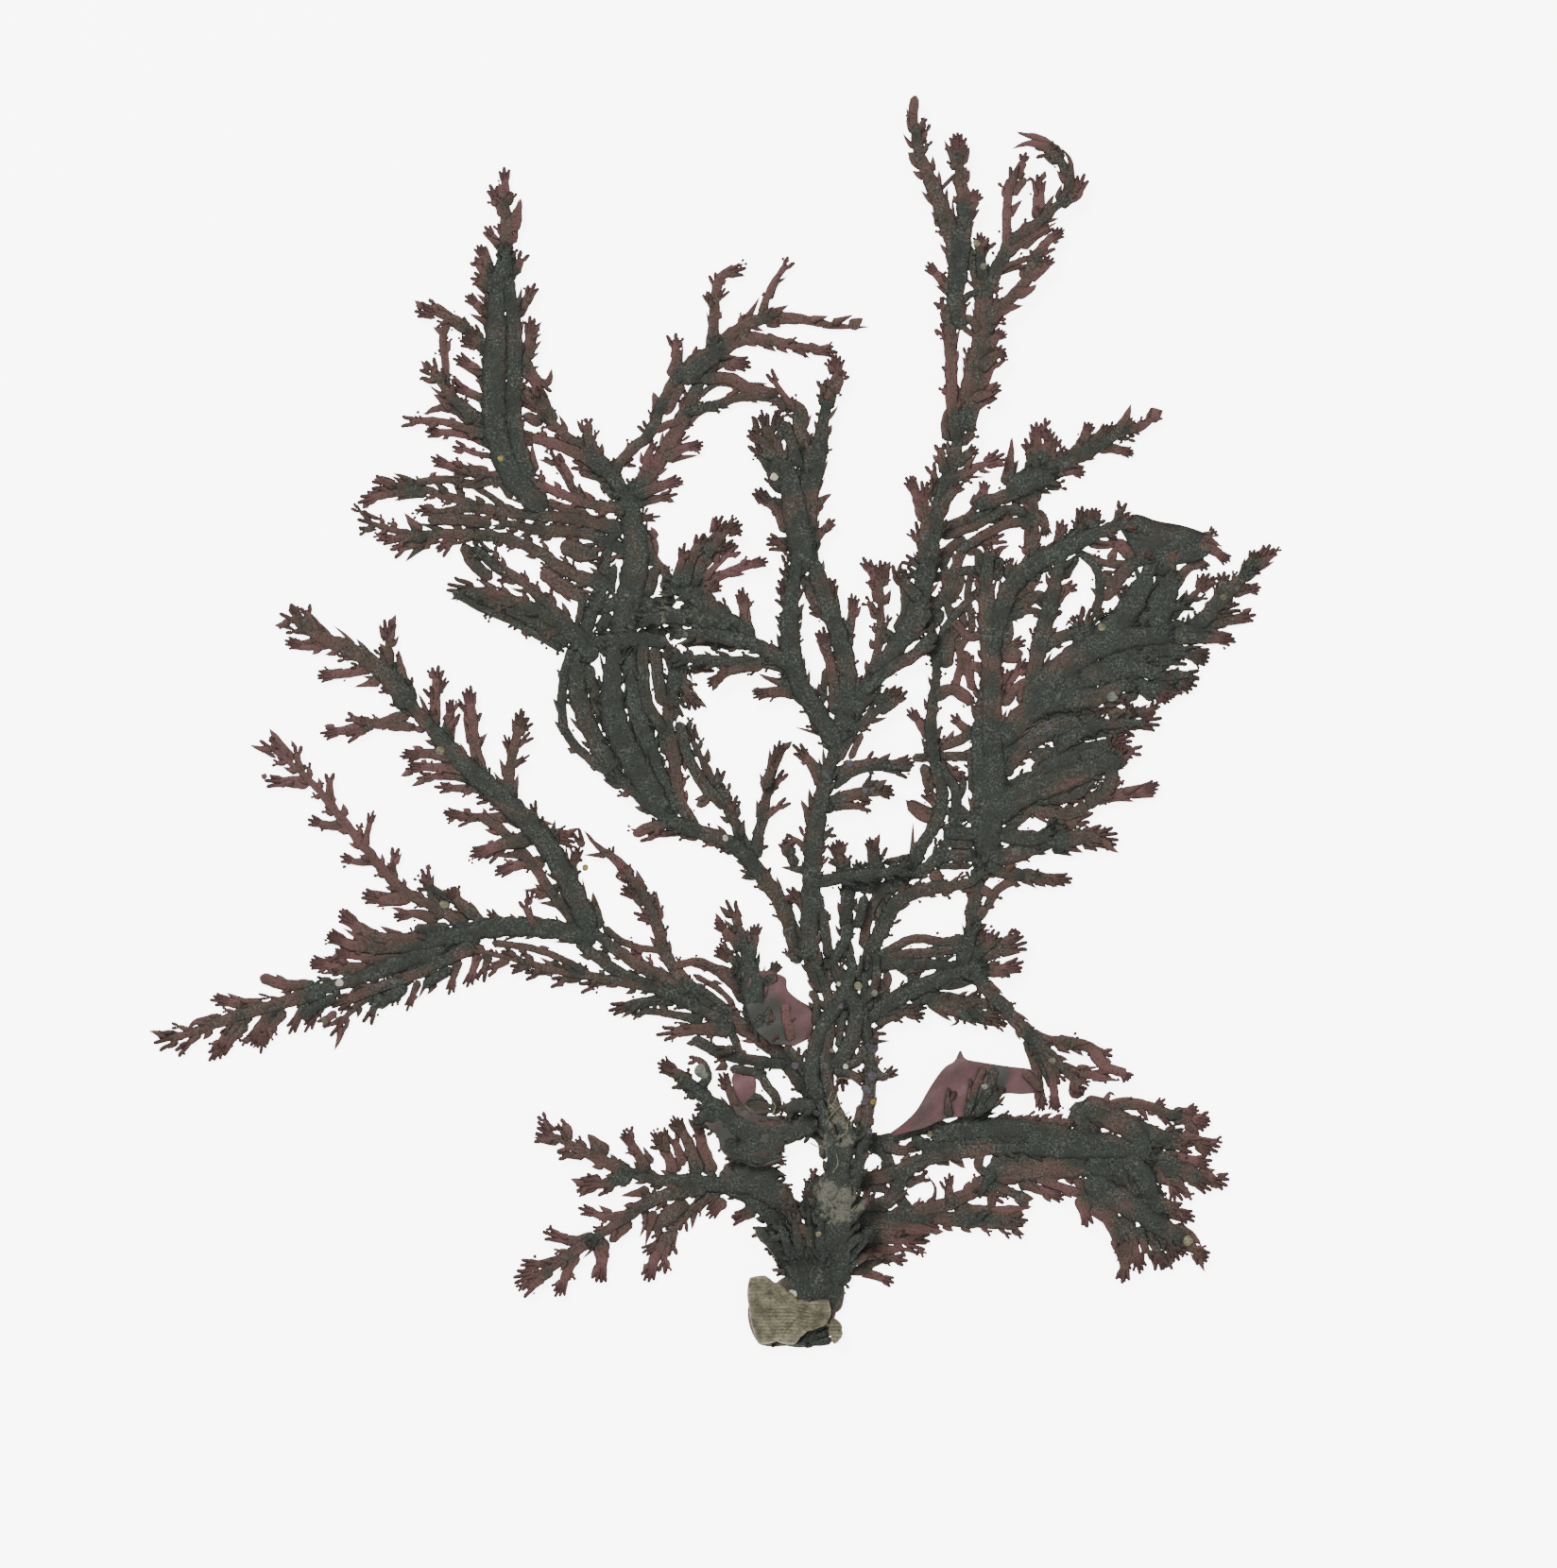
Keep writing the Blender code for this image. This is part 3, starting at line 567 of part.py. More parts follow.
NORTH = (
    # main stem
    (1.9, 0, (2.0, 29.0), (0.7, 32.4), (0.6, 36.0), (0.8, 40.0), (1.2, 44.0), (2.1, 48.4), (3.4, 52.6)),
    (0.6, 2, (0.6, 41.6), (-0.6, 42.7), (-2.0, 43.1)),
    (0.6, 1, (0.6, 40.0), (-2.0, 40.3)),
    (1.0, 2, (0.7, 36.4), (-1.6, 38.4)),
    (0.8, 1, (1.0, 44.0), (-0.2, 46.4)),
    (1.0, 2, (1.8, 48.0), (0.6, 49.8), (-0.9, 51.3)),
    (0.4, 1, (2.6, 52.0), (-0.7, 52.9)),
    (0.5, 1, (1.9, 47.8), (1.4, 50.2)),
    (1.2, 4, (2.6, 48.4), (5.5, 49.5), (8.0, 49.5), (10.0, 49.8)),
    (0.7, 2, (7.0, 49.4), (9.8, 48.6)),
    (0.6, 2, (5.6, 49.6), (6.8, 50.7)),
    (0.5, 1, (7.0, 49.7), (7.9, 50.6)),
    (1.2, 3, (1.6, 45.6), (4.4, 46.8), (6.6, 47.2), (8.3, 47.0)),
    (0.7, 2, (5.4, 47.2), (6.7, 48.6)),
    (0.6, 1, (6.4, 47.4), (7.6, 48.2)),
    (0.7, 2, (2.6, 45.8), (4.6, 45.8), (6.6, 45.7)),
    (0.7, 2, (1.0, 41.8), (2.0, 43.2), (3.1, 43.6)),
    (0.8, 1, (2.9, 50.0), (4.2, 51.6), (5.1, 52.2)),
    # left fork
    (2.0, 0, (3.2, 51.0), (1.4, 54.0), (-0.2, 56.6), (-1.0, 59.4), (-1.2, 62.4), (-0.9, 65.4),
     (-0.4, 68.6)),
    (1.9, 0, (3.4, 52.0), (3.9, 55.4), (3.9, 58.6), (2.9, 62.0), (1.8, 65.2), (0.7, 68.4), (-0.2, 71.4)),
    (0.7, 2, (-1.0, 59.0), (-2.8, 60.8)),
    (0.8, 2, (-1.3, 61.4), (-2.2, 63.4)),
    (0.6, 1, (-1.4, 61.2), (-2.4, 62.2)),
    (0.8, 2, (-1.2, 63.6), (-2.6, 65.0)),
    (1.2, 3, (-1.1, 64.2), (-2.1, 66.2)),
    (0.6, 2, (-0.8, 66.4), (-2.2, 67.5)),
    (0.6, 1, (-0.6, 62.4), (-0.1, 64.0)),
    (0.4, 1, (-0.8, 60.6), (-0.1, 61.2)),
    (1.0, 3, (3.2, 60.6), (2.6, 63.4), (2.6, 66.1)),
    (0.9, 2, (3.4, 61.2), (2.0, 62.8), (0.4, 63.8)),
    (0.9, 3, (3.8, 59.8), (4.3, 62.4), (4.6, 65.0)),
    (1.1, 3, (3.0, 54.0), (2.6, 57.8), (1.6, 61.9)),
    (0.5, 1, (2.4, 59.4), (1.1, 60.8)),
    (0.5, 1, (2.6, 57.0), (1.8, 58.0)),
    (2.6, 0, (0.2, 67.0), (-0.4, 70.6), (-1.0, 74.0), (-1.6, 77.0)),
    (2.2, 0, (0.1, 67.4), (0.3, 71.0), (0.6, 75.0), (0.8, 78.4)),
    (2.8, 4, (-1.4, 74.0), (-2.4, 77.0), (-3.2, 79.4), (-3.2, 81.2)),
    (1.3, 3, (-2.6, 77.0), (-3.8, 78.8), (-4.8, 79.8)),
    (0.7, 2, (-2.8, 76.2), (-4.0, 77.4), (-4.8, 78.7)),
    (0.6, 1, (-2.2, 78.6), (-1.7, 80.7)),
    (1.0, 2, (-0.6, 69.2), (-2.0, 69.5), (-3.4, 69.9)),
    (0.9, 2, (-1.6, 72.8), (-3.6, 73.4), (-4.4, 74.4)),
    (0.8, 3, (0.6, 69.4), (2.0, 70.8), (2.9, 71.6)),
    (0.4, 1, (1.8, 70.6), (2.7, 70.7)),
    (0.7, 1, (0.8, 72.6), (1.8, 73.4), (2.6, 73.9)),
    (0.5, 1, (1.4, 77.2), (2.1, 78.0)),
    (1.6, 0, (0.4, 77.0), (-0.3, 79.6), (-0.2, 81.2), (-1.4, 82.0), (-2.3, 81.6)),
    (0.6, 2, (-0.8, 81.4), (-2.2, 83.4), (-3.3, 85.2)),
    (1.5, 0, (0.9, 74.4), (1.5, 77.6), (1.8, 80.4), (2.2, 82.4)),
    (1.3, 4, (2.0, 81.4), (2.8, 84.0), (3.0, 86.5)),
    (0.7, 2, (2.1, 81.6), (1.8, 83.2), (1.6, 84.4)),
    (0.9, 2, (2.6, 82.8), (3.3, 84.2), (3.9, 84.9)),
    (0.6, 2, (1.8, 80.8), (1.3, 81.5)),
    # the two arms that cross to the left
    (1.5, 0, (-0.6, 57.8), (-2.6, 59.4), (-5.2, 60.6), (-8.2, 61.2), (-11.6, 61.4)),
    (1.9, 0, (-4.2, 60.2), (-7.2, 61.9), (-10.6, 62.8), (-14.6, 62.6)),
    (1.8, 0, (-4.6, 60.8), (-7.4, 63.0), (-10.4, 65.0), (-12.4, 65.4)),
    (1.1, 3, (-4.9, 60.6), (-5.3, 63.4), (-5.6, 65.5)),
    (0.4, 1, (-5.1, 62.4), (-4.8, 64.6)),
    (1.3, 3, (-10.8, 64.2), (-9.8, 67.0), (-8.4, 69.6), (-7.0, 71.8)),
    (1.3, 3, (-8.9, 68.2), (-7.2, 70.2), (-5.6, 71.3)),
    (1.1, 3, (-10.2, 65.6), (-8.4, 68.2), (-6.2, 69.6)),
    (1.0, 2, (-10.9, 65.4), (-9.7, 68.8), (-8.9, 70.4)),
    (0.8, 3, (-11.6, 65.4), (-11.0, 67.6), (-10.6, 69.4)),
    (0.6, 2, (-9.0, 66.2), (-7.0, 68.2), (-5.4, 69.1)),
    (0.9, 3, (-9.4, 65.4), (-6.6, 66.9), (-3.1, 68.0)),
    (0.4, 1, (-6.8, 66.7), (-5.2, 66.7)),
    (1.0, 3, (-10.2, 64.6), (-8.8, 65.2), (-7.3, 65.8)),
    (1.3, 0, (-0.6, 57.4), (-2.6, 58.6), (-5.4, 58.7), (-8.4, 58.9), (-11.8, 59.3)),
    (0.9, 3, (-3.6, 58.6), (-6.6, 57.9), (-8.7, 56.6)),
    (0.7, 1, (-0.7, 56.9), (-2.4, 57.0), (-4.0, 57.7)),
    (1.0, 4, (-0.4, 56.0), (-2.6, 56.1), (-4.6, 55.8)),
    # right fork up to the crossing
    (1.9, 0, (3.6, 52.2), (5.2, 55.6), (7.4, 58.6), (9.4, 61.8), (10.8, 65.4), (11.5, 69.4),
     (12.4, 73.4), (13.6, 77.4), (14.3, 81.4)),
    (1.3, 3, (5.0, 54.4), (6.2, 57.6), (6.9, 61.2), (7.0, 64.8), (7.2, 68.0)),
    (0.9, 2, (6.9, 64.0), (6.3, 66.6), (5.4, 68.2)),
    (0.7, 2, (6.7, 62.6), (6.0, 64.0), (5.3, 64.4)),
    (0.6, 1, (7.1, 65.6), (7.8, 67.0)),
    (1.2, 0, (5.2, 55.8), (7.6, 58.0), (10.0, 59.4), (12.0, 61.4)),
    (1.2, 0, (7.0, 61.6), (9.0, 60.6), (11.4, 63.4)),
    (1.3, 3, (3.6, 52.0), (5.6, 53.6), (7.2, 54.8), (8.4, 56.4)),
    (0.9, 2, (6.6, 54.4), (8.0, 55.0), (9.4, 56.2)),
    (0.7, 2, (6.6, 54.8), (7.4, 56.9)),
    (1.0, 2, (10.6, 64.2), (9.4, 65.6), (8.2, 67.0)),
    (0.7, 2, (10.9, 66.2), (8.7, 67.2)),
    (0.7, 2, (11.0, 67.2), (8.6, 68.3)),
    (1.1, 2, (11.0, 64.6), (10.8, 68.4), (10.1, 71.4)),
    (1.5, 3, (10.9, 67.4), (11.0, 71.4), (10.9, 75.2)),
    (1.0, 3, (10.9, 71.6), (10.2, 73.8), (9.4, 75.5)),
    (0.8, 2, (12.2, 73.4), (11.8, 75.4), (11.3, 76.9)),
    (0.8, 2, (12.8, 75.6), (12.4, 77.4), (12.2, 78.7)),
    (1.1, 1, (13.6, 78.8), (12.9, 80.0), (12.9, 81.6)),
    (0.9, 3, (13.6, 76.4), (14.8, 77.4), (15.7, 78.1)),
    (0.8, 2, (14.1, 78.4), (15.2, 79.2), (15.9, 79.4)),
    (1.3, 3, (12.8, 74.8), (15.2, 76.1), (18.2, 77.3)),
    (0.4, 1, (13.6, 75.4), (16.3, 75.4)),
    (0.9, 2, (12.3, 72.6), (13.4, 74.0), (14.5, 74.9)),
    # the top, left strand
    (1.2, 0, (13.8, 78.4), (13.4, 82.0), (13.3, 85.4), (13.2, 88.4), (13.0, 91.0)),
    (0.5, 1, (13.3, 83.6), (12.8, 84.5)),
    (0.6, 2, (13.3, 84.6), (12.6, 85.7)),
    (0.7, 2, (13.2, 86.4), (12.8, 88.0), (11.9, 89.2)),
    (0.5, 1, (13.3, 85.4), (14.0, 86.8)),
    (0.5, 1, (13.3, 86.6), (14.1, 88.7)),
    (0.7, 2, (13.2, 88.8), (12.6, 90.6), (11.9, 91.5)),
    (1.7, 0, (14.2, 88.6), (13.7, 91.6), (13.7, 95.0), (13.1, 97.8), (12.3, 100.0), (11.3, 102.4),
     (10.4, 104.6), (10.1, 107.2)),
    (0.9, 0, (10.1, 106.0), (9.9, 108.0), (10.1, 109.7)),
    (0.5, 1, (9.9, 106.4), (9.3, 108.6)),
    (0.7, 1, (10.2, 105.6), (10.7, 106.8)),
    (0.9, 1, (10.6, 103.6), (9.4, 104.6)),
    (0.9, 1, (12.6, 98.0), (11.7, 99.3)),
    (1.6, 0, (14.0, 92.4), (14.3, 96.0), (14.5, 99.4), (14.1, 102.6), (13.9, 104.8)),
    (1.4, 4, (13.9, 104.0), (13.9, 106.5)),
    (0.6, 1, (13.9, 103.4), (13.2, 104.6), (12.7, 105.7)),
    (0.6, 1, (14.3, 102.2), (14.7, 103.3)),
    (0.4, 0, (12.1, 100.8), (12.9, 101.8), (13.9, 102.8)),
    (1.1, 3, (14.5, 99.2), (15.2, 100.2), (15.9, 101.1)),
    (0.6, 1, (14.5, 99.0), (15.9, 100.1)),
    (0.6, 1, (14.6, 98.4), (15.9, 99.5)),
    (0.5, 1, (14.6, 97.4), (15.4, 98.4)),
    (0.9, 3, (13.6, 92.0), (12.2, 93.4), (11.0, 94.6)),
    (0.6, 2, (13.4, 92.4), (12.6, 94.2)),
    (0.5, 1, (13.4, 91.8), (11.9, 92.6)),
    (0.9, 0, (14.2, 93.0), (13.2, 95.2), (14.0, 97.2)),
    # the top, right strand
    (2.0, 0, (14.2, 80.4), (15.3, 84.4), (16.1, 88.2), (16.2, 91.6), (15.4, 94.4), (14.5, 96.6)),
    (0.9, 3, (16.2, 93.0), (15.9, 95.4), (15.8, 97.5)),
    (0.7, 2, (15.6, 94.4), (16.4, 95.8), (17.1, 96.9)),
    (0.6, 1, (15.6, 94.0), (16.6, 95.8)),
    (0.7, 0, (14.2, 91.0), (15.0, 91.8), (16.0, 92.0)),
    (0.9, 0, (14.2, 89.6), (15.2, 89.4), (15.9, 88.2)),
    (0.6, 1, (15.2, 84.8), (14.3, 86.2)),
    (0.8, 3, (15.2, 82.4), (16.6, 82.9), (17.9, 83.7)),
    (1.0, 3, (15.8, 85.0), (17.2, 86.3), (18.3, 86.8)),
    (0.9, 4, (16.4, 86.8), (17.2, 87.8), (18.2, 88.5)),
    (0.5, 1, (16.8, 87.6), (17.7, 88.9)),
    (0.9, 2, (16.3, 88.6), (17.4, 89.4), (18.3, 89.6)),
    (1.0, 1, (16.4, 89.4), (18.0, 90.4), (19.8, 90.8)),
    (1.1, 0, (16.6, 89.8), (18.6, 91.4), (20.0, 93.0), (20.6, 94.4), (21.4, 95.4)),
    (0.5, 1, (17.8, 90.8), (18.5, 91.8)),
    (0.8, 1, (19.0, 91.8), (20.4, 92.2), (21.0, 92.7)),
    (0.9, 3, (20.2, 93.2), (21.6, 94.2), (22.4, 95.3)),
    (1.4, 0, (16.2, 91.2), (17.0, 93.2), (17.9, 95.0), (18.8, 96.6), (20.6, 97.8), (22.4, 99.4),
     (23.8, 100.8)),
    (0.5, 0, (17.4, 93.6), (19.2, 94.2), (20.6, 94.3)),
    (0.6, 0, (17.8, 94.2), (19.8, 94.9), (21.0, 95.2)),
    (0.6, 1, (18.2, 95.4), (20.0, 96.6), (22.8, 98.3)),
    (0.9, 4, (20.6, 94.6), (22.0, 96.6), (23.5, 97.6)),
    (0.7, 2, (21.1, 95.3), (22.7, 96.4)),
    (0.6, 2, (20.9, 94.8), (20.6, 96.2)),
    (0.9, 0, (18.3, 95.6), (18.3, 98.6), (18.5, 101.2), (19.2, 103.0)),
    (0.8, 3, (19.1, 102.2), (19.7, 103.6), (20.0, 104.6)),
    (0.7, 2, (18.8, 101.6), (19.0, 103.8)),
    (0.8, 2, (18.4, 100.4), (18.2, 101.4), (17.9, 102.1)),
    (0.8, 2, (18.6, 100.8), (19.8, 102.0), (20.3, 102.7)),
    (0.6, 1, (18.3, 98.8), (19.0, 99.6), (19.7, 100.3)),
    (1.1, 3, (21.2, 98.4), (21.2, 100.4), (21.2, 102.6)),
    (0.3, 1, (21.0, 100.6), (20.7, 102.2)),
    (1.3, 0, (23.0, 100.0), (23.9, 101.2), (23.6, 103.0), (22.6, 104.4)),
    (0.9, 2, (23.4, 100.4), (24.6, 100.8), (25.3, 102.6)),
    (0.9, 1, (23.0, 103.8), (21.6, 105.6), (19.2, 106.4)),
    (0.7, 1, (22.6, 104.8), (20.4, 105.4), (18.8, 104.9)),
    (0.8, 2, (23.2, 103.6), (22.2, 104.6), (20.6, 104.5)),
    (0.6, 2, (22.0, 104.8), (22.9, 105.6)),
    (0.5, 1, (24.0, 102.0), (24.0, 103.8), (23.2, 105.0)),
    # the tuft between this stem and its right neighbour
    (1.3, 0, (0.8, 38.8), (4.0, 39.5), (7.0, 39.8), (9.4, 40.2)),
    (1.3, 5, (4.6, 39.0), (3.4, 40.9), (2.8, 42.7)),
    (0.6, 2, (3.9, 40.2), (2.2, 41.3)),
    (1.2, 5, (7.0, 39.2), (6.4, 41.0), (6.1, 43.0)),
    (0.7, 2, (6.8, 40.8), (7.2, 42.5)),
    (1.0, 3, (5.1, 39.4), (5.0, 41.0)),
)
NORTH_EAST = (
    # strands that rise from the stems
    (1.5, 0, (5.4, 31.0), (6.9, 34.4), (8.5, 37.2), (11.0, 38.3), (14.6, 38.8), (16.4, 40.0)),
    (1.4, 0, (4.0, 33.6), (3.9, 36.6), (4.6, 38.8), (7.2, 38.4), (9.4, 39.6), (11.3, 40.4),
     (13.0, 42.6), (14.4, 45.2)),
    (1.0, 0, (5.4, 33.0), (5.9, 36.0), (7.2, 38.6)),
    (0.9, 2, (6.8, 35.4), (7.6, 37.8), (8.2, 39.6)),
    (1.3, 0, (9.4, 39.8), (10.8, 42.4), (12.2, 44.8), (12.5, 47.0), (11.9, 49.6), (11.5, 52.4),
     (11.7, 55.4), (12.0, 58.0), (11.3, 61.0)),
    (0.4, 1, (9.8, 40.8), (9.9, 44.3)),
    (0.9, 2, (12.4, 45.6), (10.8, 47.4)),
    (1.0, 0, (13.4, 44.0), (13.8, 46.8), (13.0, 48.4), (12.0, 49.8)),
    (0.9, 2, (12.0, 49.6), (13.6, 48.8), (14.7, 48.2)),
    (0.8, 1, (13.6, 46.4), (14.4, 47.8), (14.4, 49.0)),
    (0.9, 0, (9.8, 50.1), (12.4, 50.3), (15.6, 50.2)),
    (1.0, 0, (10.8, 50.8), (13.2, 51.4), (15.4, 52.4)),
    (0.8, 3, (15.2, 52.2), (14.2, 53.1), (13.3, 54.0)),
    (0.5, 1, (13.0, 51.4), (13.6, 52.7)),
    (0.9, 3, (11.5, 51.8), (10.6, 53.2), (9.5, 54.6)),
    (0.7, 2, (11.6, 52.2), (12.4, 53.4)),
    (1.2, 0, (11.6, 55.4), (13.4, 56.3), (15.4, 55.0)),
    (1.3, 0, (12.0, 41.2), (14.2, 41.4), (17.0, 41.0)),
    (0.8, 1, (11.6, 40.0), (12.6, 38.8), (13.6, 38.6)),
    (1.4, 0, (12.6, 43.4), (15.0, 43.3), (17.6, 43.0)),
    (0.9, 0, (13.8, 45.8), (15.6, 44.4), (17.4, 44.2)),
    # the main stem
    (1.5, 0, (15.2, 33.4), (15.3, 36.4), (15.9, 40.0), (16.2, 44.0)),
    (2.6, 0, (16.4, 41.0), (16.8, 45.0), (17.2, 49.0), (17.2, 53.0)),
    (2.0, 0, (15.8, 43.6), (16.0, 47.0), (16.0, 51.0), (16.2, 54.6), (16.6, 58.0)),
    (2.1, 0, (17.0, 50.0), (17.0, 55.0), (16.9, 59.0), (16.6, 63.0), (16.5, 66.6), (16.9, 68.8)),
    (0.9, 2, (15.4, 35.6), (16.4, 36.6), (17.0, 37.2)),
    (0.7, 1, (15.3, 34.6), (16.6, 35.2)),
    (0.8, 2, (15.9, 38.4), (17.2, 37.8), (18.1, 37.9)),
    (0.9, 0, (16.6, 36.6), (17.4, 38.2), (19.4, 39.4)),
    (1.2, 0, (16.4, 40.6), (18.0, 39.8), (20.0, 39.6)),
    (1.1, 3, (19.4, 39.6), (21.8, 39.3), (24.2, 39.1)),
    (0.4, 1, (19.8, 39.3), (21.0, 38.4)),
    (0.5, 1, (20.8, 39.2), (21.9, 38.5)),
    (0.5, 1, (21.8, 39.2), (22.9, 38.5)),
    (0.4, 1, (20.8, 39.6), (21.8, 39.8)),
    (1.8, 0, (16.6, 41.2), (18.8, 41.4), (21.0, 42.2), (23.4, 42.8)),
    (1.9, 4, (22.4, 42.5), (25.0, 43.0), (28.3, 42.8)),
    (0.5, 1, (22.4, 42.0), (24.3, 41.3)),
    (0.5, 1, (23.8, 42.2), (25.2, 41.6)),
    (0.5, 1, (25.2, 42.4), (26.4, 41.8)),
    (0.6, 2, (25.0, 43.4), (27.4, 43.9)),
    (1.2, 2, (22.0, 43.0), (24.0, 44.2), (26.0, 45.2)),
    (1.7, 0, (17.6, 43.4), (19.8, 42.9), (22.4, 43.0)),
    (1.4, 0, (17.2, 45.0), (19.2, 44.6), (20.4, 45.6), (22.4, 45.2), (24.4, 45.2), (26.8, 46.8)),
    (0.7, 0, (22.0, 43.4), (22.6, 45.2)),
    (1.4, 0, (25.4, 45.8), (27.4, 47.4), (27.9, 49.2), (28.8, 50.6)),
    (0.8, 2, (28.2, 49.8), (29.3, 50.7), (30.8, 50.8)),
    (1.1, 4, (26.8, 46.7), (29.4, 47.0), (32.1, 47.7)),
    (0.5, 1, (28.8, 47.0), (30.6, 47.8)),
    (0.5, 1, (29.4, 46.9), (31.7, 46.6)),
    (0.5, 1, (27.8, 46.7), (29.8, 46.2)),
    # the dense fan
    (2.6, 0, (17.0, 44.6), (19.6, 46.8), (22.8, 48.0), (26.0, 49.2), (28.4, 50.4)),
    (2.2, 0, (17.4, 46.8), (20.6, 48.0), (23.6, 49.8), (27.6, 50.6)),
    (1.4, 3, (24.0, 50.6), (27.0, 51.4), (29.8, 51.9)),
    (2.4, 0, (17.4, 48.6), (20.0, 51.6), (23.0, 53.0), (27.0, 53.4)),
    (1.6, 3, (22.6, 51.0), (26.0, 52.9), (29.4, 53.3), (32.3, 53.4)),
    (0.7, 2, (28.4, 53.0), (30.4, 52.2)),
    (0.6, 1, (29.8, 53.2), (31.2, 52.8)),
    (2.4, 0, (17.6, 51.4), (20.4, 54.4), (23.2, 55.4), (26.4, 55.6), (29.4, 57.0)),
    (1.0, 2, (27.4, 54.2), (29.2, 54.0), (30.2, 54.8)),
    (0.7, 3, (29.2, 54.0), (31.2, 54.4), (32.0, 55.2)),
    (1.0, 0, (29.8, 56.8), (30.8, 56.0), (31.6, 55.4)),
    (1.5, 5, (29.2, 57.0), (31.4, 56.4), (33.4, 55.4)),
    (0.5, 1, (31.4, 56.4), (32.2, 54.9)),
    (2.3, 0, (21.4, 55.0), (25.0, 57.2), (29.0, 58.2), (32.4, 57.6)),
    (1.6, 4, (31.0, 57.6), (33.4, 57.2), (35.4, 56.6)),
    (0.7, 2, (33.2, 57.6), (36.1, 57.6)),
    (0.5, 1, (33.0, 57.0), (34.6, 56.3)),
    (2.8, 0, (20.0, 54.6), (22.6, 57.6), (26.0, 60.0), (29.6, 61.0), (33.0, 61.0)),
    (2.2, 0, (26.6, 58.4), (30.2, 59.4), (33.4, 60.2)),
    (1.5, 4, (32.4, 60.0), (34.6, 59.6), (36.7, 59.1)),
    (0.5, 1, (33.8, 59.8), (35.6, 58.6)),
    (2.0, 0, (30.6, 60.6), (33.6, 61.0), (36.0, 62.0)),
    (1.0, 3, (34.4, 61.0), (36.6, 60.9), (39.0, 60.7)),
    (0.4, 1, (34.8, 61.0), (36.4, 60.3)),
    (1.0, 2, (34.8, 61.6), (37.6, 62.3), (40.9, 63.1)),
    (0.5, 1, (38.2, 62.5), (40.1, 62.3)),
    (1.4, 3, (34.8, 61.6), (36.8, 63.2), (39.3, 63.7)),
    (1.6, 0, (35.4, 61.8), (37.4, 64.2), (39.0, 65.8), (40.2, 67.2)),
    (1.4, 3, (39.8, 66.6), (41.2, 67.9), (42.3, 69.2)),
    (0.7, 1, (40.6, 67.4), (42.5, 68.4)),
    (0.9, 3, (39.6, 66.2), (40.3, 67.8), (40.8, 68.9)),
    (1.0, 3, (38.4, 65.0), (40.0, 65.4), (41.2, 65.3)),
    (0.9, 2, (37.2, 63.8), (37.7, 65.6), (37.9, 67.0)),
    (2.4, 0, (26.2, 60.4), (28.6, 62.6), (30.2, 65.0), (31.4, 67.6)),
    (2.4, 0, (29.4, 60.6), (31.6, 63.0), (32.6, 66.0), (33.0, 69.0)),
    (1.9, 0, (27.6, 60.6), (31.0, 61.8), (32.8, 64.0), (33.4, 66.6)),
    (1.3, 3, (32.8, 62.8), (35.0, 64.6), (36.9, 66.7)),
    (0.5, 1, (34.4, 64.0), (35.6, 65.5)),
    (0.7, 2, (32.8, 63.6), (35.6, 64.0)),
    (0.6, 1, (34.6, 61.0), (34.7, 63.3)),
    (0.8, 1, (32.4, 61.4), (34.0, 61.6)),
    (1.7, 0, (20.6, 56.6), (21.2, 60.0), (22.0, 63.0), (22.7, 66.0), (23.4, 68.8)),
    (1.3, 0, (21.4, 59.8), (23.2, 61.0), (25.6, 61.4), (27.2, 60.8)),
    (1.0, 2, (22.4, 64.0), (23.6, 65.3), (24.7, 65.8)),
    (0.6, 2, (22.3, 63.4), (23.6, 63.6)),
    (1.8, 3, (25.0, 60.0), (25.4, 62.0), (26.2, 63.6)),
    (1.0, 3, (24.8, 61.2), (24.6, 62.2), (24.1, 62.9)),
    (1.2, 3, (26.8, 61.2), (27.2, 62.2), (27.2, 63.1)),
    (0.9, 0, (25.0, 68.6), (26.4, 67.2), (26.7, 65.0), (26.2, 63.0)),
    (0.4, 1, (26.7, 64.8), (25.8, 65.5)),
    (1.4, 0, (26.4, 66.6), (28.0, 66.0), (29.4, 67.4), (31.0, 68.4)),
    (0.9, 2, (28.0, 62.6), (28.8, 64.0), (28.8, 65.6)),
    (0.8, 2, (31.0, 64.4), (29.9, 64.8), (29.0, 66.0)),
    # the strands to the folded blade
    (1.9, 0, (16.8, 59.4), (17.8, 63.2), (19.0, 66.0), (21.2, 67.8), (24.0, 69.2), (26.6, 70.4),
     (29.4, 71.4)),
    (1.2, 0, (16.9, 63.6), (18.4, 62.0), (18.0, 60.2)),
    (1.2, 0, (18.8, 62.8), (20.8, 64.6), (22.4, 64.0)),
    (0.9, 0, (18.8, 63.6), (20.4, 66.0), (21.6, 67.4)),
    (0.7, 0, (18.2, 62.6), (20.6, 63.4), (22.4, 62.4)),
    (0.9, 2, (22.8, 68.6), (23.1, 70.2), (23.4, 71.6)),
    (1.3, 3, (23.6, 69.0), (24.9, 70.8), (25.4, 72.8)),
    (1.0, 3, (24.8, 70.2), (25.8, 71.4), (26.6, 72.6)),
    (0.7, 2, (28.1, 70.8), (28.5, 72.2), (28.8, 73.4)),
    (0.4, 1, (28.3, 71.4), (28.1, 72.6)),
    (0.8, 0, (24.4, 68.8), (27.0, 67.7), (29.6, 67.6), (31.4, 68.0)),
    (0.8, 3, (25.6, 69.6), (27.4, 69.3), (28.6, 69.8)),
    (0.6, 1, (27.6, 67.8), (28.4, 69.6)),
    (0.6, 1, (26.2, 70.2), (26.8, 71.0)),
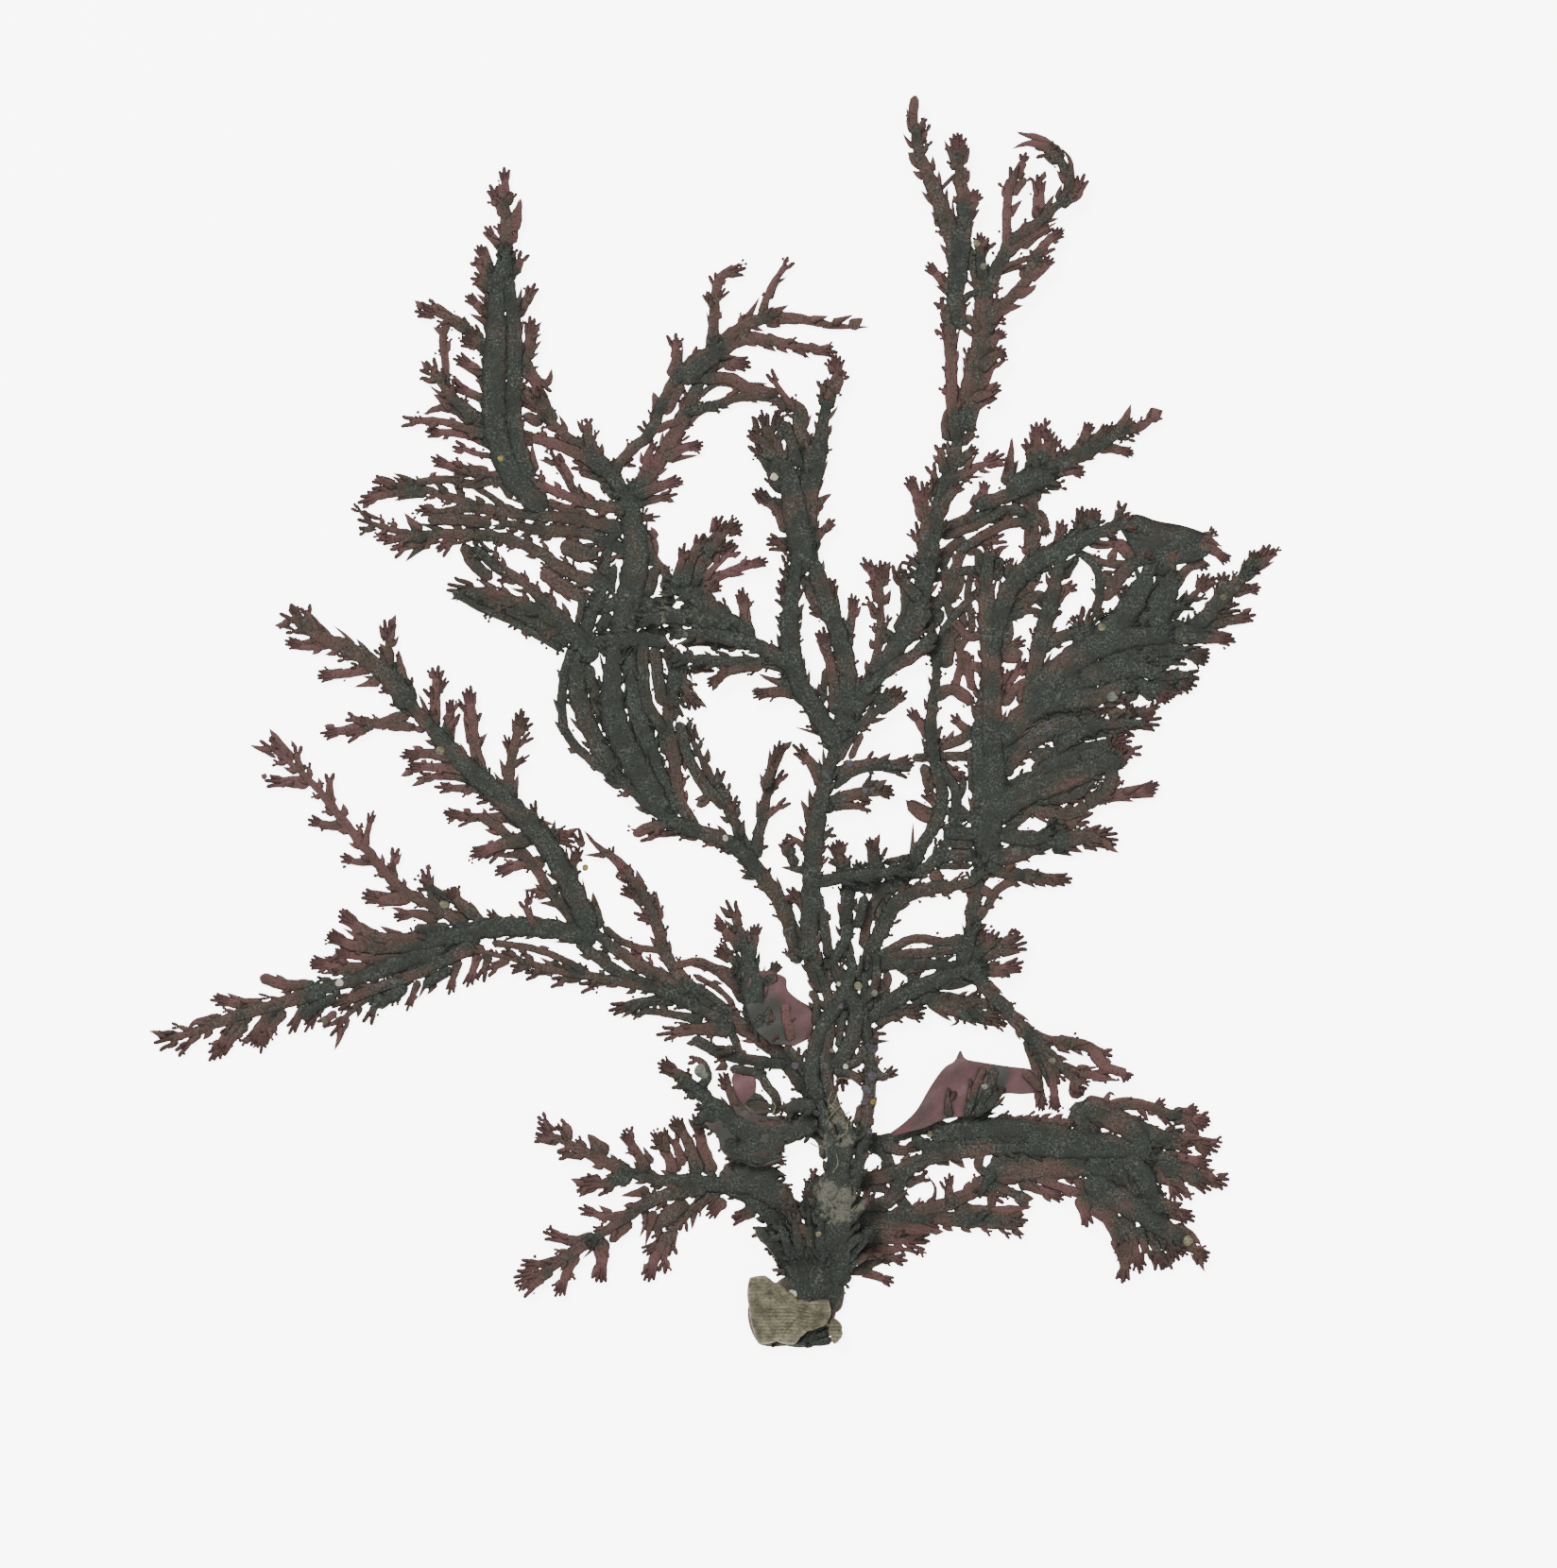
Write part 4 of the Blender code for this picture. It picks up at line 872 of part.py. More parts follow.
    (0.8, 3, (20.6, 67.6), (20.9, 68.6), (21.8, 69.2)),
    # the net of strands on the left
    (1.1, 0, (10.9, 69.6), (13.2, 71.0), (16.0, 71.9), (18.2, 72.4), (20.6, 72.2)),
    (0.9, 0, (12.4, 70.0), (15.2, 70.9), (18.4, 72.6)),
    (1.0, 0, (13.8, 68.6), (16.0, 70.0), (18.4, 71.2), (20.8, 71.4)),
    (0.7, 1, (14.8, 68.4), (15.6, 69.4), (17.0, 69.2)),
    (1.0, 0, (11.0, 66.6), (13.0, 68.8), (14.6, 70.0)),
    (1.0, 0, (11.4, 62.8), (13.0, 65.4), (14.0, 68.0), (14.8, 69.8)),
    (0.8, 0, (12.0, 58.0), (12.6, 61.4), (14.6, 64.0), (16.4, 65.6)),
    (0.9, 0, (10.8, 66.0), (13.6, 66.8), (16.6, 67.2)),
    (0.9, 0, (15.6, 69.0), (16.2, 67.4), (16.4, 65.6)),
    (0.8, 0, (13.6, 56.2), (14.2, 59.0), (13.6, 61.8), (12.9, 64.4), (12.8, 67.4)),
    (0.7, 0, (14.0, 59.8), (15.2, 62.0), (14.8, 64.6), (15.2, 67.4)),
    (0.9, 0, (13.4, 62.6), (15.0, 61.0), (16.6, 61.6)),
    (0.8, 2, (16.4, 58.0), (15.2, 58.6), (14.8, 59.4)),
    (0.7, 2, (12.2, 59.0), (11.4, 60.8), (10.3, 60.4)),
    (0.8, 0, (10.2, 65.0), (12.2, 64.2), (13.8, 65.0)),
    (0.8, 1, (16.6, 67.2), (17.6, 68.8), (18.6, 69.3)),
    (1.0, 3, (18.4, 66.2), (18.6, 67.4), (18.4, 68.2)),
    (0.8, 3, (16.8, 59.4), (18.6, 60.2), (20.1, 60.8)),
    (0.9, 3, (17.2, 55.6), (19.0, 57.6), (20.2, 59.0)),
    (1.0, 0, (18.0, 54.8), (19.4, 56.6), (21.4, 57.2)),
    (0.8, 2, (17.6, 56.6), (18.6, 58.6)),
    # the crown above it
    (1.4, 0, (20.7, 66.6), (20.6, 69.6), (20.7, 72.4), (20.6, 75.0)),
    (0.6, 1, (20.4, 69.2), (19.9, 70.6)),
    (0.9, 4, (20.9, 72.4), (21.7, 71.2), (21.9, 70.0)),
    (1.5, 0, (15.4, 72.8), (18.0, 73.6), (20.2, 74.4)),
    (0.7, 0, (15.0, 71.4), (15.4, 72.6), (16.6, 73.4)),
    (0.9, 3, (15.6, 72.8), (16.2, 74.0), (16.4, 75.1)),
    (0.5, 1, (15.3, 72.8), (15.4, 74.0)),
    (2.4, 0, (18.4, 74.2), (20.8, 75.2), (22.6, 75.4)),
    (0.9, 1, (18.4, 74.6), (18.6, 76.6), (18.8, 79.0)),
    (0.5, 1, (18.7, 75.8), (19.4, 77.0)),
    (0.5, 1, (18.5, 75.8), (18.2, 77.3)),
    (0.7, 2, (20.0, 75.2), (19.3, 76.1)),
    (1.8, 0, (20.4, 75.2), (20.9, 77.2)),
    (1.0, 2, (20.8, 76.2), (20.5, 77.6), (20.0, 78.9)),
    (1.3, 3, (20.9, 76.6), (21.1, 78.6), (21.2, 80.5)),
    (0.9, 3, (21.4, 76.6), (22.0, 78.2), (22.1, 79.8)),
    (0.8, 3, (21.6, 76.4), (22.4, 77.8), (22.9, 79.2)),
    (0.7, 3, (22.2, 76.6), (23.2, 77.6), (23.6, 78.3)),
    (1.7, 0, (21.2, 75.4), (23.6, 76.8), (25.8, 77.9), (27.6, 79.0), (29.6, 79.9)),
    (0.8, 2, (29.0, 79.6), (30.8, 80.2), (32.1, 81.8)),
    (1.0, 1, (31.2, 80.8), (32.4, 81.4)),
    (0.8, 1, (28.4, 79.4), (29.1, 80.8), (29.5, 82.0)),
    (1.0, 3, (24.8, 77.4), (25.4, 79.2), (25.9, 80.4)),
    (0.9, 3, (25.8, 77.9), (26.7, 79.2), (27.6, 80.2)),
    (0.9, 4, (26.4, 78.2), (28.2, 77.9), (29.8, 77.5)),
    (0.9, 3, (22.2, 75.6), (24.0, 76.0), (25.5, 75.7)),
    (0.8, 2, (21.8, 74.8), (23.0, 74.6), (23.8, 74.8)),
    (0.5, 1, (21.0, 74.4), (22.4, 73.9)),
)
EAST = (
    # the stem and the sprays under it
    (1.7, 0, (5.6, 26.6), (8.6, 28.6), (11.6, 30.0), (14.4, 31.0), (16.2, 31.2)),
    (1.3, 3, (6.4, 26.4), (8.8, 27.2), (11.2, 27.4)),
    (0.5, 1, (8.6, 27.4), (10.6, 28.2)),
    (1.2, 3, (9.6, 28.6), (12.4, 28.6), (14.6, 28.3), (16.2, 28.6)),
    (1.9, 4, (11.2, 28.6), (13.4, 27.6), (15.8, 27.1), (18.5, 26.7)),
    (0.3, 1, (13.6, 27.0), (13.9, 26.4), (13.2, 26.0)),
    (0.6, 1, (14.2, 27.2), (15.7, 26.0)),
    (0.6, 1, (15.4, 26.9), (17.0, 26.0)),
    (1.0, 2, (14.8, 28.0), (16.8, 28.0), (18.7, 27.8)),
    (1.1, 0, (11.6, 29.8), (13.4, 29.8), (15.6, 30.4)),
    # the bands that close it above
    (1.3, 0, (5.4, 31.4), (8.2, 31.6), (11.0, 31.6), (14.0, 31.4)),
    (1.0, 0, (5.6, 31.8), (8.4, 32.4), (11.0, 32.6), (13.6, 33.0), (15.2, 33.6)),
    (0.9, 0, (6.4, 32.0), (8.4, 33.2), (10.2, 33.9), (12.6, 33.6), (15.0, 34.0)),
    (0.9, 0, (8.6, 31.4), (9.8, 30.4), (9.4, 28.8)),
    (0.8, 0, (12.4, 31.4), (12.2, 32.6), (11.8, 33.6)),
    (1.4, 0, (14.2, 31.4), (14.8, 33.0), (15.2, 35.0)),
    # the sprays to the right
    (1.0, 3, (14.6, 31.4), (15.4, 33.2), (16.5, 35.0)),
    (1.0, 2, (15.0, 32.2), (16.8, 33.4), (17.6, 34.5)),
    (1.7, 3, (14.0, 31.2), (16.2, 32.2), (18.0, 33.0), (20.2, 33.9)),
    (0.8, 2, (17.0, 32.9), (18.4, 33.8), (19.3, 34.6)),
    (0.6, 1, (17.6, 32.7), (19.6, 32.6)),
    (1.2, 3, (14.8, 31.2), (17.4, 31.0), (19.9, 31.6)),
    (0.6, 2, (16.8, 31.0), (19.2, 30.7)),
    (0.5, 1, (16.2, 31.0), (17.8, 30.4)),
    # the branch that hangs to the lower right
    (1.4, 0, (15.2, 31.0), (16.8, 29.0), (18.2, 27.6), (19.7, 25.8), (21.4, 24.2), (23.2, 22.4),
     (25.0, 20.6)),
    (0.5, 1, (16.4, 30.0), (18.0, 28.9)),
    (0.5, 1, (17.4, 28.6), (18.8, 28.0)),
    (0.5, 1, (18.2, 27.6), (19.6, 26.7)),
    (0.7, 1, (19.6, 26.2), (21.1, 25.3)),
    (1.0, 1, (20.2, 25.0), (22.4, 24.7), (24.8, 24.9)),
    (1.1, 2, (22.6, 24.5), (24.8, 24.4), (26.8, 23.6), (27.8, 23.3)),
    (0.6, 1, (23.8, 24.5), (25.9, 24.6)),
    (0.5, 1, (22.8, 24.3), (24.1, 23.5)),
    (0.5, 1, (24.2, 24.3), (25.2, 23.3)),
    (1.0, 3, (26.0, 23.9), (27.2, 22.4), (28.8, 21.8), (29.4, 21.1)),
    (0.9, 2, (23.0, 22.4), (25.4, 21.7), (28.2, 21.9)),
    (0.4, 1, (24.4, 22.0), (26.7, 22.4)),
    (0.6, 1, (25.8, 21.6), (28.4, 21.1)),
    (0.9, 4, (20.2, 25.0), (20.8, 22.6), (21.3, 20.4), (21.5, 18.2)),
    (0.9, 4, (21.6, 23.8), (22.4, 21.4), (22.7, 18.2)),
    (0.6, 0, (20.4, 24.6), (21.6, 22.2), (22.3, 20.4)),
    (0.4, 1, (21.1, 21.0), (20.8, 19.4)),
    (0.4, 1, (21.2, 20.2), (20.9, 18.6)),
)
DARK_SPRAY = (
    # the broad dark blade and the red spray on it
    (2.4, 0, (1.4, 17.6), (-1.6, 16.6), (-4.6, 16.6), (-7.2, 17.6), (-9.4, 18.2)),
    (2.2, 0, (-1.6, 16.0), (-4.4, 15.0), (-6.6, 14.8)),
    (1.4, 0, (-6.2, 17.8), (-8.6, 19.4), (-10.6, 20.8)),
    (1.3, 4, (-9.6, 20.2), (-11.2, 21.8), (-13.0, 22.7)),
    (0.8, 2, (-9.0, 20.0), (-10.6, 20.8), (-12.0, 20.9)),
    (0.9, 0, (-9.4, 20.4), (-8.6, 21.4), (-8.9, 22.6)),
    (0.9, 3, (-5.8, 18.8), (-6.6, 20.2), (-7.4, 21.9)),
    (0.6, 2, (-8.6, 22.0), (-9.4, 23.0), (-10.6, 23.0)),
    # the two small red blades
    (2.0, 1, (-3.8, 17.6), (-5.2, 19.8), (-5.4, 22.0)),
    (0.9, 1, (-5.0, 18.6), (-3.8, 18.9), (-2.6, 18.7)),
)
RED_SPRAY = (
    (2.2, 0, (-4.4, 27.0), (-4.5, 30.0), (-4.8, 32.0)),
    (1.4, 2, (-4.7, 31.0), (-5.4, 33.6), (-6.1, 35.6), (-6.9, 37.3)),
    (0.5, 1, (-5.8, 34.8), (-5.9, 37.0)),
    (0.9, 3, (-5.4, 32.8), (-6.8, 34.4), (-8.0, 35.5)),
    (1.3, 4, (-4.8, 30.6), (-6.2, 31.9), (-7.9, 33.2)),
    (0.9, 3, (-4.9, 32.0), (-4.4, 33.8), (-4.2, 35.3)),
    (1.0, 5, (-3.0, 29.8), (-2.7, 30.8), (-2.3, 31.7)),
    (0.6, 1, (-3.6, 30.0), (-3.5, 31.2)),
)

# Broad thin blades, as outlines
RED_BLADE = (
    (6.9, 16.1), (9.4, 18.6), (11.2, 20.4), (12.4, 22.2), (13.6, 23.1), (13.9, 23.6), (14.2, 23.9),
    (14.8, 23.0), (16.8, 22.6), (18.6, 22.3), (20.1, 22.1), (20.0, 20.1), (18.2, 19.9), (16.4, 18.6),
    (14.6, 17.7), (12.4, 17.5), (9.4, 16.5),
)
DARK_BLADE = (
    (-9.9, 18.7), (-8.2, 19.0), (-6.2, 19.2), (-4.2, 18.2), (-1.2, 17.8), (1.2, 17.7), (1.4, 17.2),
    (-0.8, 16.6), (-2.0, 15.0), (-1.6, 13.4), (-4.0, 13.6), (-6.4, 14.4), (-7.4, 15.2), (-7.9, 16.2),
    (-9.2, 17.0),
)
MIDDLE_BLADE = (
    (-4.7, 31.0), (-3.2, 31.0), (-1.6, 30.4), (-1.4, 29.3), (-0.4, 28.4), (0.8, 27.6), (1.0, 26.2),
    (0.6, 25.0), (-0.8, 24.2), (-2.8, 24.4), (-4.4, 25.8), (-5.1, 28.0),
)
FOLDED_BLADE = (
    (28.2, 71.2), (29.4, 72.0), (30.4, 72.0), (31.8, 71.5), (34.0, 71.1), (35.6, 70.6), (36.6, 70.1),
    (37.0, 69.2), (36.4, 68.3), (35.0, 67.7), (33.4, 67.4), (32.4, 66.4), (31.2, 67.4), (29.8, 68.4),
    (29.0, 69.9),
)
FOLDED_TINES = (
    (0.9, 3, (35.4, 69.6), (36.6, 70.2), (37.2, 70.7)),
    (0.9, 4, (35.4, 69.2), (37.0, 68.8), (38.5, 67.7)),
    (0.8, 3, (34.8, 68.6), (35.8, 67.8), (36.4, 67.0)),
    (0.6, 1, (36.0, 70.0), (37.6, 69.2)),
)
SMALL_LEAF = (
    (9.2, 46.4), (10.4, 46.1), (11.4, 45.5), (12.0, 45.2), (11.4, 44.2), (10.4, 44.5), (9.4, 45.4),
)
CRUST_RIM = (
    (-4.8, 3.4), (-3.4, 3.6), (-2.5, 2.9), (-1.2, 2.2), (0.4, 1.7), (2.3, 1.4), (2.6, 0.2), (3.2, -0.3),
    (3.6, -1.3), (3.3, -2.3), (2.6, -2.7), (2.2, -1.8), (0.6, -1.7), (-0.6, -2.2), (-2.4, -2.3),
    (-4.2, -2.6), (-4.6, -1.2), (-4.9, 0.6),
)
FOOT_RIM = (
    (-4.5, 2.6), (-4.4, -2.4), (-4.3, -3.0), (-1.6, -2.9), (0.8, -3.0), (2.5, -2.7), (2.2, -1.4),
    (2.4, 1.2), (2.8, 3.0), (2.6, 5.0), (-3.2, 5.0),
)


def smooth_share(value, start, end):
    """Rise from 0 at start to 1 at end, level at both."""
    share = min(max((value - start) / (end - start), 0.0), 1.0)
    return share * share * (3.0 - 2.0 * share)


def wave_height(x, y):
    """Height of the plane the plant lies on, in mm."""
    across = math.sin(math.pi * (x / WAVE_X + WAVE_START_X)) ** 2
    along = math.sin(math.pi * (y / WAVE_Y + WAVE_START_Y)) ** 2
    return WAVE * (across + along) * smooth_share(math.hypot(x, y), LEVEL_RADIUS, WAVE_RADIUS)


def bundle_thickness(x, y):
    """Thickness of the stems: thin at the foot, thickest above it, thinner to the ends."""
    rise = FOOT + (BUNDLE - FOOT) * smooth_share(y, FOOT_END, BUNDLE_START)
    return rise - (BUNDLE - STEM) * smooth_share(y, BUNDLE_START, BUNDLE_END)


def sheet_thickness(x, y):
    return SHEET


def crust_thickness(x, y):
    return CRUST


def side_points(row, grow):
    """Left and right edge points of one branch, and its end, direction and last length."""
    width, tines, *route = row
    lengths = [math.dist(route[i], route[i + 1]) for i in range(len(route) - 1)]
    left = []
    right = []
    run = 0.0
    for i, (x, y) in enumerate(route):
        before = route[max(i - 1, 0)]
        after = route[min(i + 1, len(route) - 1)]
        span = math.dist(before, after)
        dx = (after[0] - before[0]) / span
        dy = (after[1] - before[1]) / span
        share = run / sum(lengths)
        half = width / 2
        if tines == 1:
            half *= SPUR_ROOT - SPUR_TAPER * share
        if tines > 1:
            half *= TWIG_ROOT - TWIG_TAPER * share
        half += grow
        left.append((x - dy * half, y + dx * half))
        right.append((x + dy * half, y - dx * half))
        if i < len(lengths):
            run += lengths[i]
    return left, right


def branch_outline(row, grow=0.0):
    """Outline of one branch along its route: a blunt end, a point, or a fan of tines."""
    width, tines, *route = row
    left, right = side_points(row, grow)
    if tines == 0:
        return left + right[::-1]
    x, y = route[-1]
    if tines == 1:
        return left[:-1] + [(x, y)] + right[-2::-1]
    last = math.dist(route[-2], route[-1])
    dx = (x - route[-2][0]) / last
    dy = (y - route[-2][1]) / last
    reach = min(TINE_LENGTH + TINE_LENGTH_SHARE * width, TINE_LENGTH_MOST * last)
    spread = TINE_SPREAD + TINE_SPREAD_SHARE * width
    throat = TINE_THROAT * width
    tip = [(x - dx * reach - dy * throat, y - dy * reach + dx * throat)]
    tines = min(tines, MOST_TINES)
    for k in range(tines):
        side = 1 - 2 * k / (tines - 1)
        drop = TINE_ARC * reach * side * side
        tip.append((x - dx * drop - dy * spread * side, y - dy * drop + dx * spread * side))
        if k < tines - 1:
            between = NOTCH_SPREAD * spread * (side - 1 / (tines - 1))
            back = NOTCH_DEPTH * reach
            tip.append((x - dx * back - dy * between, y - dy * back + dx * between))
    tip.append((x - dx * reach + dy * throat, y - dy * reach - dx * throat))
    return left[:-1] + tip + right[-2::-1]


def prism_object(outline, name, low=-PRISM_BELOW, high=PRISM_ABOVE):
    """Upright prism with the given outline in mm, its faces outward."""
    turn = sum(a[0] * b[1] - b[0] * a[1] for a, b in zip(outline, outline[1:] + outline[:1]))
    if turn < 0:
        outline = outline[::-1]
    bm = bmesh.new()
    lower = [bm.verts.new((x * MM, y * MM, low * MM)) for x, y in outline]
    upper = [bm.verts.new((x * MM, y * MM, high * MM)) for x, y in outline]
    bm.faces.new(lower[::-1])
    bm.faces.new(upper)
    for i in range(len(outline)):
        j = (i + 1) % len(outline)
        bm.faces.new((lower[i], lower[j], upper[j], upper[i]))
    bmesh.ops.triangulate(bm, faces=bm.faces[:])
    mesh = bpy.data.meshes.new(name)
    bm.to_mesh(mesh)
    bm.free()
    obj = bpy.data.objects.new(name, mesh)
    bpy.context.scene.collection.objects.link(obj)
    return obj


def move_to_collection(outlines, name, low, high):
    """Collection of one prism for each outline."""
    group = bpy.data.collections.new(name)
    bpy.context.scene.collection.children.link(group)
    for outline in outlines:
        obj = prism_object(outline, name, low, high)
        bpy.context.scene.collection.objects.unlink(obj)
        group.objects.link(obj)
    return group


def remove_collection(group):
    for obj in list(group.objects):
        bpy.data.objects.remove(obj)
    bpy.data.collections.remove(group)


def combine(base, group, operation):
    """Join or cut the base with every object of the group, applied at once."""
    modifier = base.modifiers.new("combine", "BOOLEAN")
    modifier.operand_type = "COLLECTION"
    modifier.collection = group
    modifier.operation = operation
    modifier.solver = "MANIFOLD"
    graph = bpy.context.evaluated_depsgraph_get()
    mesh = bpy.data.meshes.new_from_object(base.evaluated_get(graph))
    base.modifiers.clear()
    old = base.data
    base.data = mesh
    bpy.data.meshes.remove(old)


def drop_islands(bm):
    """Keep only the largest part whose faces join edge to edge."""
    islands = []
    seen = set()
    for start in bm.faces:
        if start in seen:
            continue
        seen.add(start)
        island = [start]
        for face in island:
            beside = {other for edge in face.edges for other in edge.link_faces} - seen
            seen.update(beside)
            island.extend(beside)
        islands.append(island)
    islands.sort(key=lambda island: sum(face.calc_area() for face in island))
    loose = [face for island in islands[:-1] for face in island]
    bmesh.ops.delete(bm, geom=loose, context="FACES")


def fill_small_gaps(bm):
    """Close the gaps between crowded branches that are too small to show."""
    onward = {}
    for edge in bm.edges:
        if len(edge.link_faces) == 1:
            loop = edge.link_loops[0]
            onward.setdefault(loop.link_loop_next.vert, []).append(loop.vert)
    starts = [vert for vert, others in onward.items() if len(others) == 1]
    done = set()
    for start in starts:
        ring = [start]
        while start not in done and len(onward[ring[-1]]) == 1:
            vert = onward[ring[-1]][0]
            if vert == start:
                break
            ring.append(vert)
        closed = start not in done and len(onward[ring[-1]]) == 1
        done.update(ring)
        pairs = zip(ring, ring[1:] + ring[:1])
        area = sum(a.co.x * b.co.y - b.co.x * a.co.y for a, b in pairs) / 2
        if closed and len(ring) > 2 and 0 < area < SMALL_GAP * MM * MM:
            bm.faces.new(ring)


def straighten_rim(bm):
    """Drop the rim points that hardly stand out from the line between their neighbours."""
    for vert in bm.verts[:]:
        if len(vert.link_edges) != 2:
            continue
        a, b = [edge.other_vert(vert) for edge in vert.link_edges]
        if bm.edges.get((a, b)) or len(vert.link_faces) != 1 or len(vert.link_faces[0].verts) < 4:
            continue
        along = b.co - a.co
        off = (vert.co - a.co).cross(along).length / along.length
        if off < SLACK * MM:
            bmesh.ops.dissolve_verts(bm, verts=[vert])


def fused_sheet(name, outlines, trims):
    """Flat sheet in the outline of all the fused branches, less the trims."""
    base = prism_object(outlines[0], name)
    if len(outlines) > 1:
        group = move_to_collection(outlines[1:], name + "_branches", -PRISM_BELOW, PRISM_ABOVE)
        combine(base, group, "UNION")
        remove_collection(group)
    if trims:
        first = prism_object(trims[0], name + "_trim", -2 * PRISM_BELOW, 2 * PRISM_ABOVE)
        group = move_to_collection(trims[1:], name + "_trims", -2 * PRISM_BELOW, 2 * PRISM_ABOVE)
        combine(first, group, "UNION")
        remove_collection(group)
        group = bpy.data.collections.new(name + "_cutter")
        bpy.context.scene.collection.children.link(group)
        bpy.context.scene.collection.objects.unlink(first)
        group.objects.link(first)
        combine(base, group, "DIFFERENCE")
        remove_collection(group)
    return base


def finish_sheet(obj, lift, thickness, creases):
    """Keep the top face, crease it, lay it on the waves and give it its thickness."""
    bm = bmesh.new()
    bm.from_mesh(obj.data)
    bm.normal_update()
    side = [face for face in bm.faces if face.normal.z < FLAT_NORMAL]
    bmesh.ops.delete(bm, geom=side, context="FACES")
    bmesh.ops.remove_doubles(bm, verts=bm.verts[:], dist=MERGE * MM)
    drop_islands(bm)
    fill_small_gaps(bm)
    bmesh.ops.dissolve_limit(bm, angle_limit=STRAIGHT, verts=bm.verts[:], edges=bm.edges[:])
    straighten_rim(bm)
    for y in creases:
        geom = bm.verts[:] + bm.edges[:] + bm.faces[:]
        bmesh.ops.bisect_plane(bm, geom=geom, dist=MERGE * MM, plane_co=(0, y * MM, 0), plane_no=(0, 1, 0))
    bmesh.ops.triangulate(bm, faces=bm.faces[:])
    for edge in bm.edges[:]:
        if edge.is_valid and len(edge.link_faces) > 2:
            folded = min(edge.link_faces, key=lambda face: face.calc_area())
            bmesh.ops.delete(bm, geom=[folded], context="FACES")
    drop_islands(bm)
    top = {}
    low = {}
    for vert in bm.verts[:]:
        x = vert.co.x / MM
        y = vert.co.y / MM
        base = wave_height(x, y) + lift
        top[vert] = vert
        low[vert] = bm.verts.new((vert.co.x, vert.co.y, base * MM))
        vert.co.z = (base + thickness(x, y)) * MM
    rim = [edge for edge in bm.edges if len(edge.link_faces) == 1]
    upper = [list(face.verts) for face in bm.faces]
    walls = []
    for edge in rim:
        loop = edge.link_loops[0]
        walls.append((loop.vert, loop.link_loop_next.vert))
    for corners in upper:
        bm.faces.new([low[v] for v in reversed(corners)])
    for a, b in walls:
        bm.faces.new((a, low[a], low[b]))
        bm.faces.new((a, low[b], b))
    bm.normal_update()
    bm.to_mesh(obj.data)
    bm.free()


def linear_channel(byte):
    """Linear value of one sRGB channel."""
    share = byte / 255.0
    if share <= 0.04045:
        return share / 12.92
    return ((share + 0.055) / 1.055) ** 2.4


def finish_material(name):
    """Principled material of one finish, made once."""
    if name in bpy.data.materials:
        return bpy.data.materials[name]
    code, roughness = FINISHES[name]
    colour = [linear_channel((code >> shift) & 0xFF) for shift in (16, 8, 0)]
    material = bpy.data.materials.new(name)
    material.use_nodes = True
    shader = material.node_tree.nodes["Principled BSDF"]
    shader.inputs["Base Color"].default_value = (*colour, 1.0)
    shader.inputs["Roughness"].default_value = roughness
    shader.inputs["Metallic"].default_value = 0.0
    return material


def add_piece(name, finish, rows, extra, level, trims, thickness=sheet_thickness, lift=0.0,
              shift=(0.0, 0.0), creases=()):
    """One piece of the plant from its branches and blades."""
    outlines = [branch_outline(row) for row in rows if row[0] >= FINEST or row[1] != 1]
    outlines += [list(rim) for rim in extra]
    outlines = [[(x + shift[0], y + shift[1]) for x, y in outline] for outline in outlines]
    obj = fused_sheet(name, outlines, trims)
    finish_sheet(obj, level * STEP + lift, thickness, creases)
    obj.data.materials.append(finish_material(finish))
    bpy.context.scene.collection.objects.unlink(obj)
    bpy.data.collections[PLANT].objects.link(obj)


def build():
    for obj in list(bpy.data.objects):
        bpy.data.objects.remove(obj)
    bpy.context.scene.collection.children.link(bpy.data.collections.new(PLANT))
    trims = [branch_outline(row, TRIM_GAP) for row in STEMS] + [list(FOOT_RIM)]
    add_piece("holdfast_stems", "dried_stem", STEMS, [FOOT_RIM], 0, [], bundle_thickness,
              creases=STEM_CREASES)
    add_piece("bryozoan_crust", "bryozoan", [], [CRUST_RIM], 0, [], crust_thickness, FOOT + CRUST_LIFT)
    add_piece("frond_south_west", "dried_tips", SOUTH_WEST, [], 0, trims)
    add_piece("frond_south_east", "dried_frond", SOUTH_EAST, [], 0, trims)
    add_piece("frond_west", "dried_frond", WEST, [], 0, trims, shift=WEST_SHIFT)
    add_piece("frond_north_west", "dried_frond", NORTH_WEST, [], 0, trims)
    add_piece("frond_north_east", "dried_tips", NORTH_EAST + FOLDED_TINES, [FOLDED_BLADE, SMALL_LEAF],
              0, trims)
    add_piece("frond_north", "dried_frond", NORTH, [], 1, trims)
    add_piece("frond_east", "dried_frond", EAST, [], 1, trims)
    add_piece("dark_blade", "dark_membrane", DARK_SPRAY, [DARK_BLADE], 1, trims)
    add_piece("red_spray", "dark_membrane", RED_SPRAY, [MIDDLE_BLADE], 1, trims)
    add_piece("red_blade", "red_membrane", [], [RED_BLADE], 1, trims)


build()
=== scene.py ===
"""Odonthalia kamtschatica, a pressed and dried red seaweed: its fine surfaces and finishes.

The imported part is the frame. Every frond of it is replaced by strands that follow the same routes,
on the same two levels and the same gentle waves. Lengths are in millimetres, and those in the
tables of branches in tenths of a millimetre.
"""
import functools
import json
import math

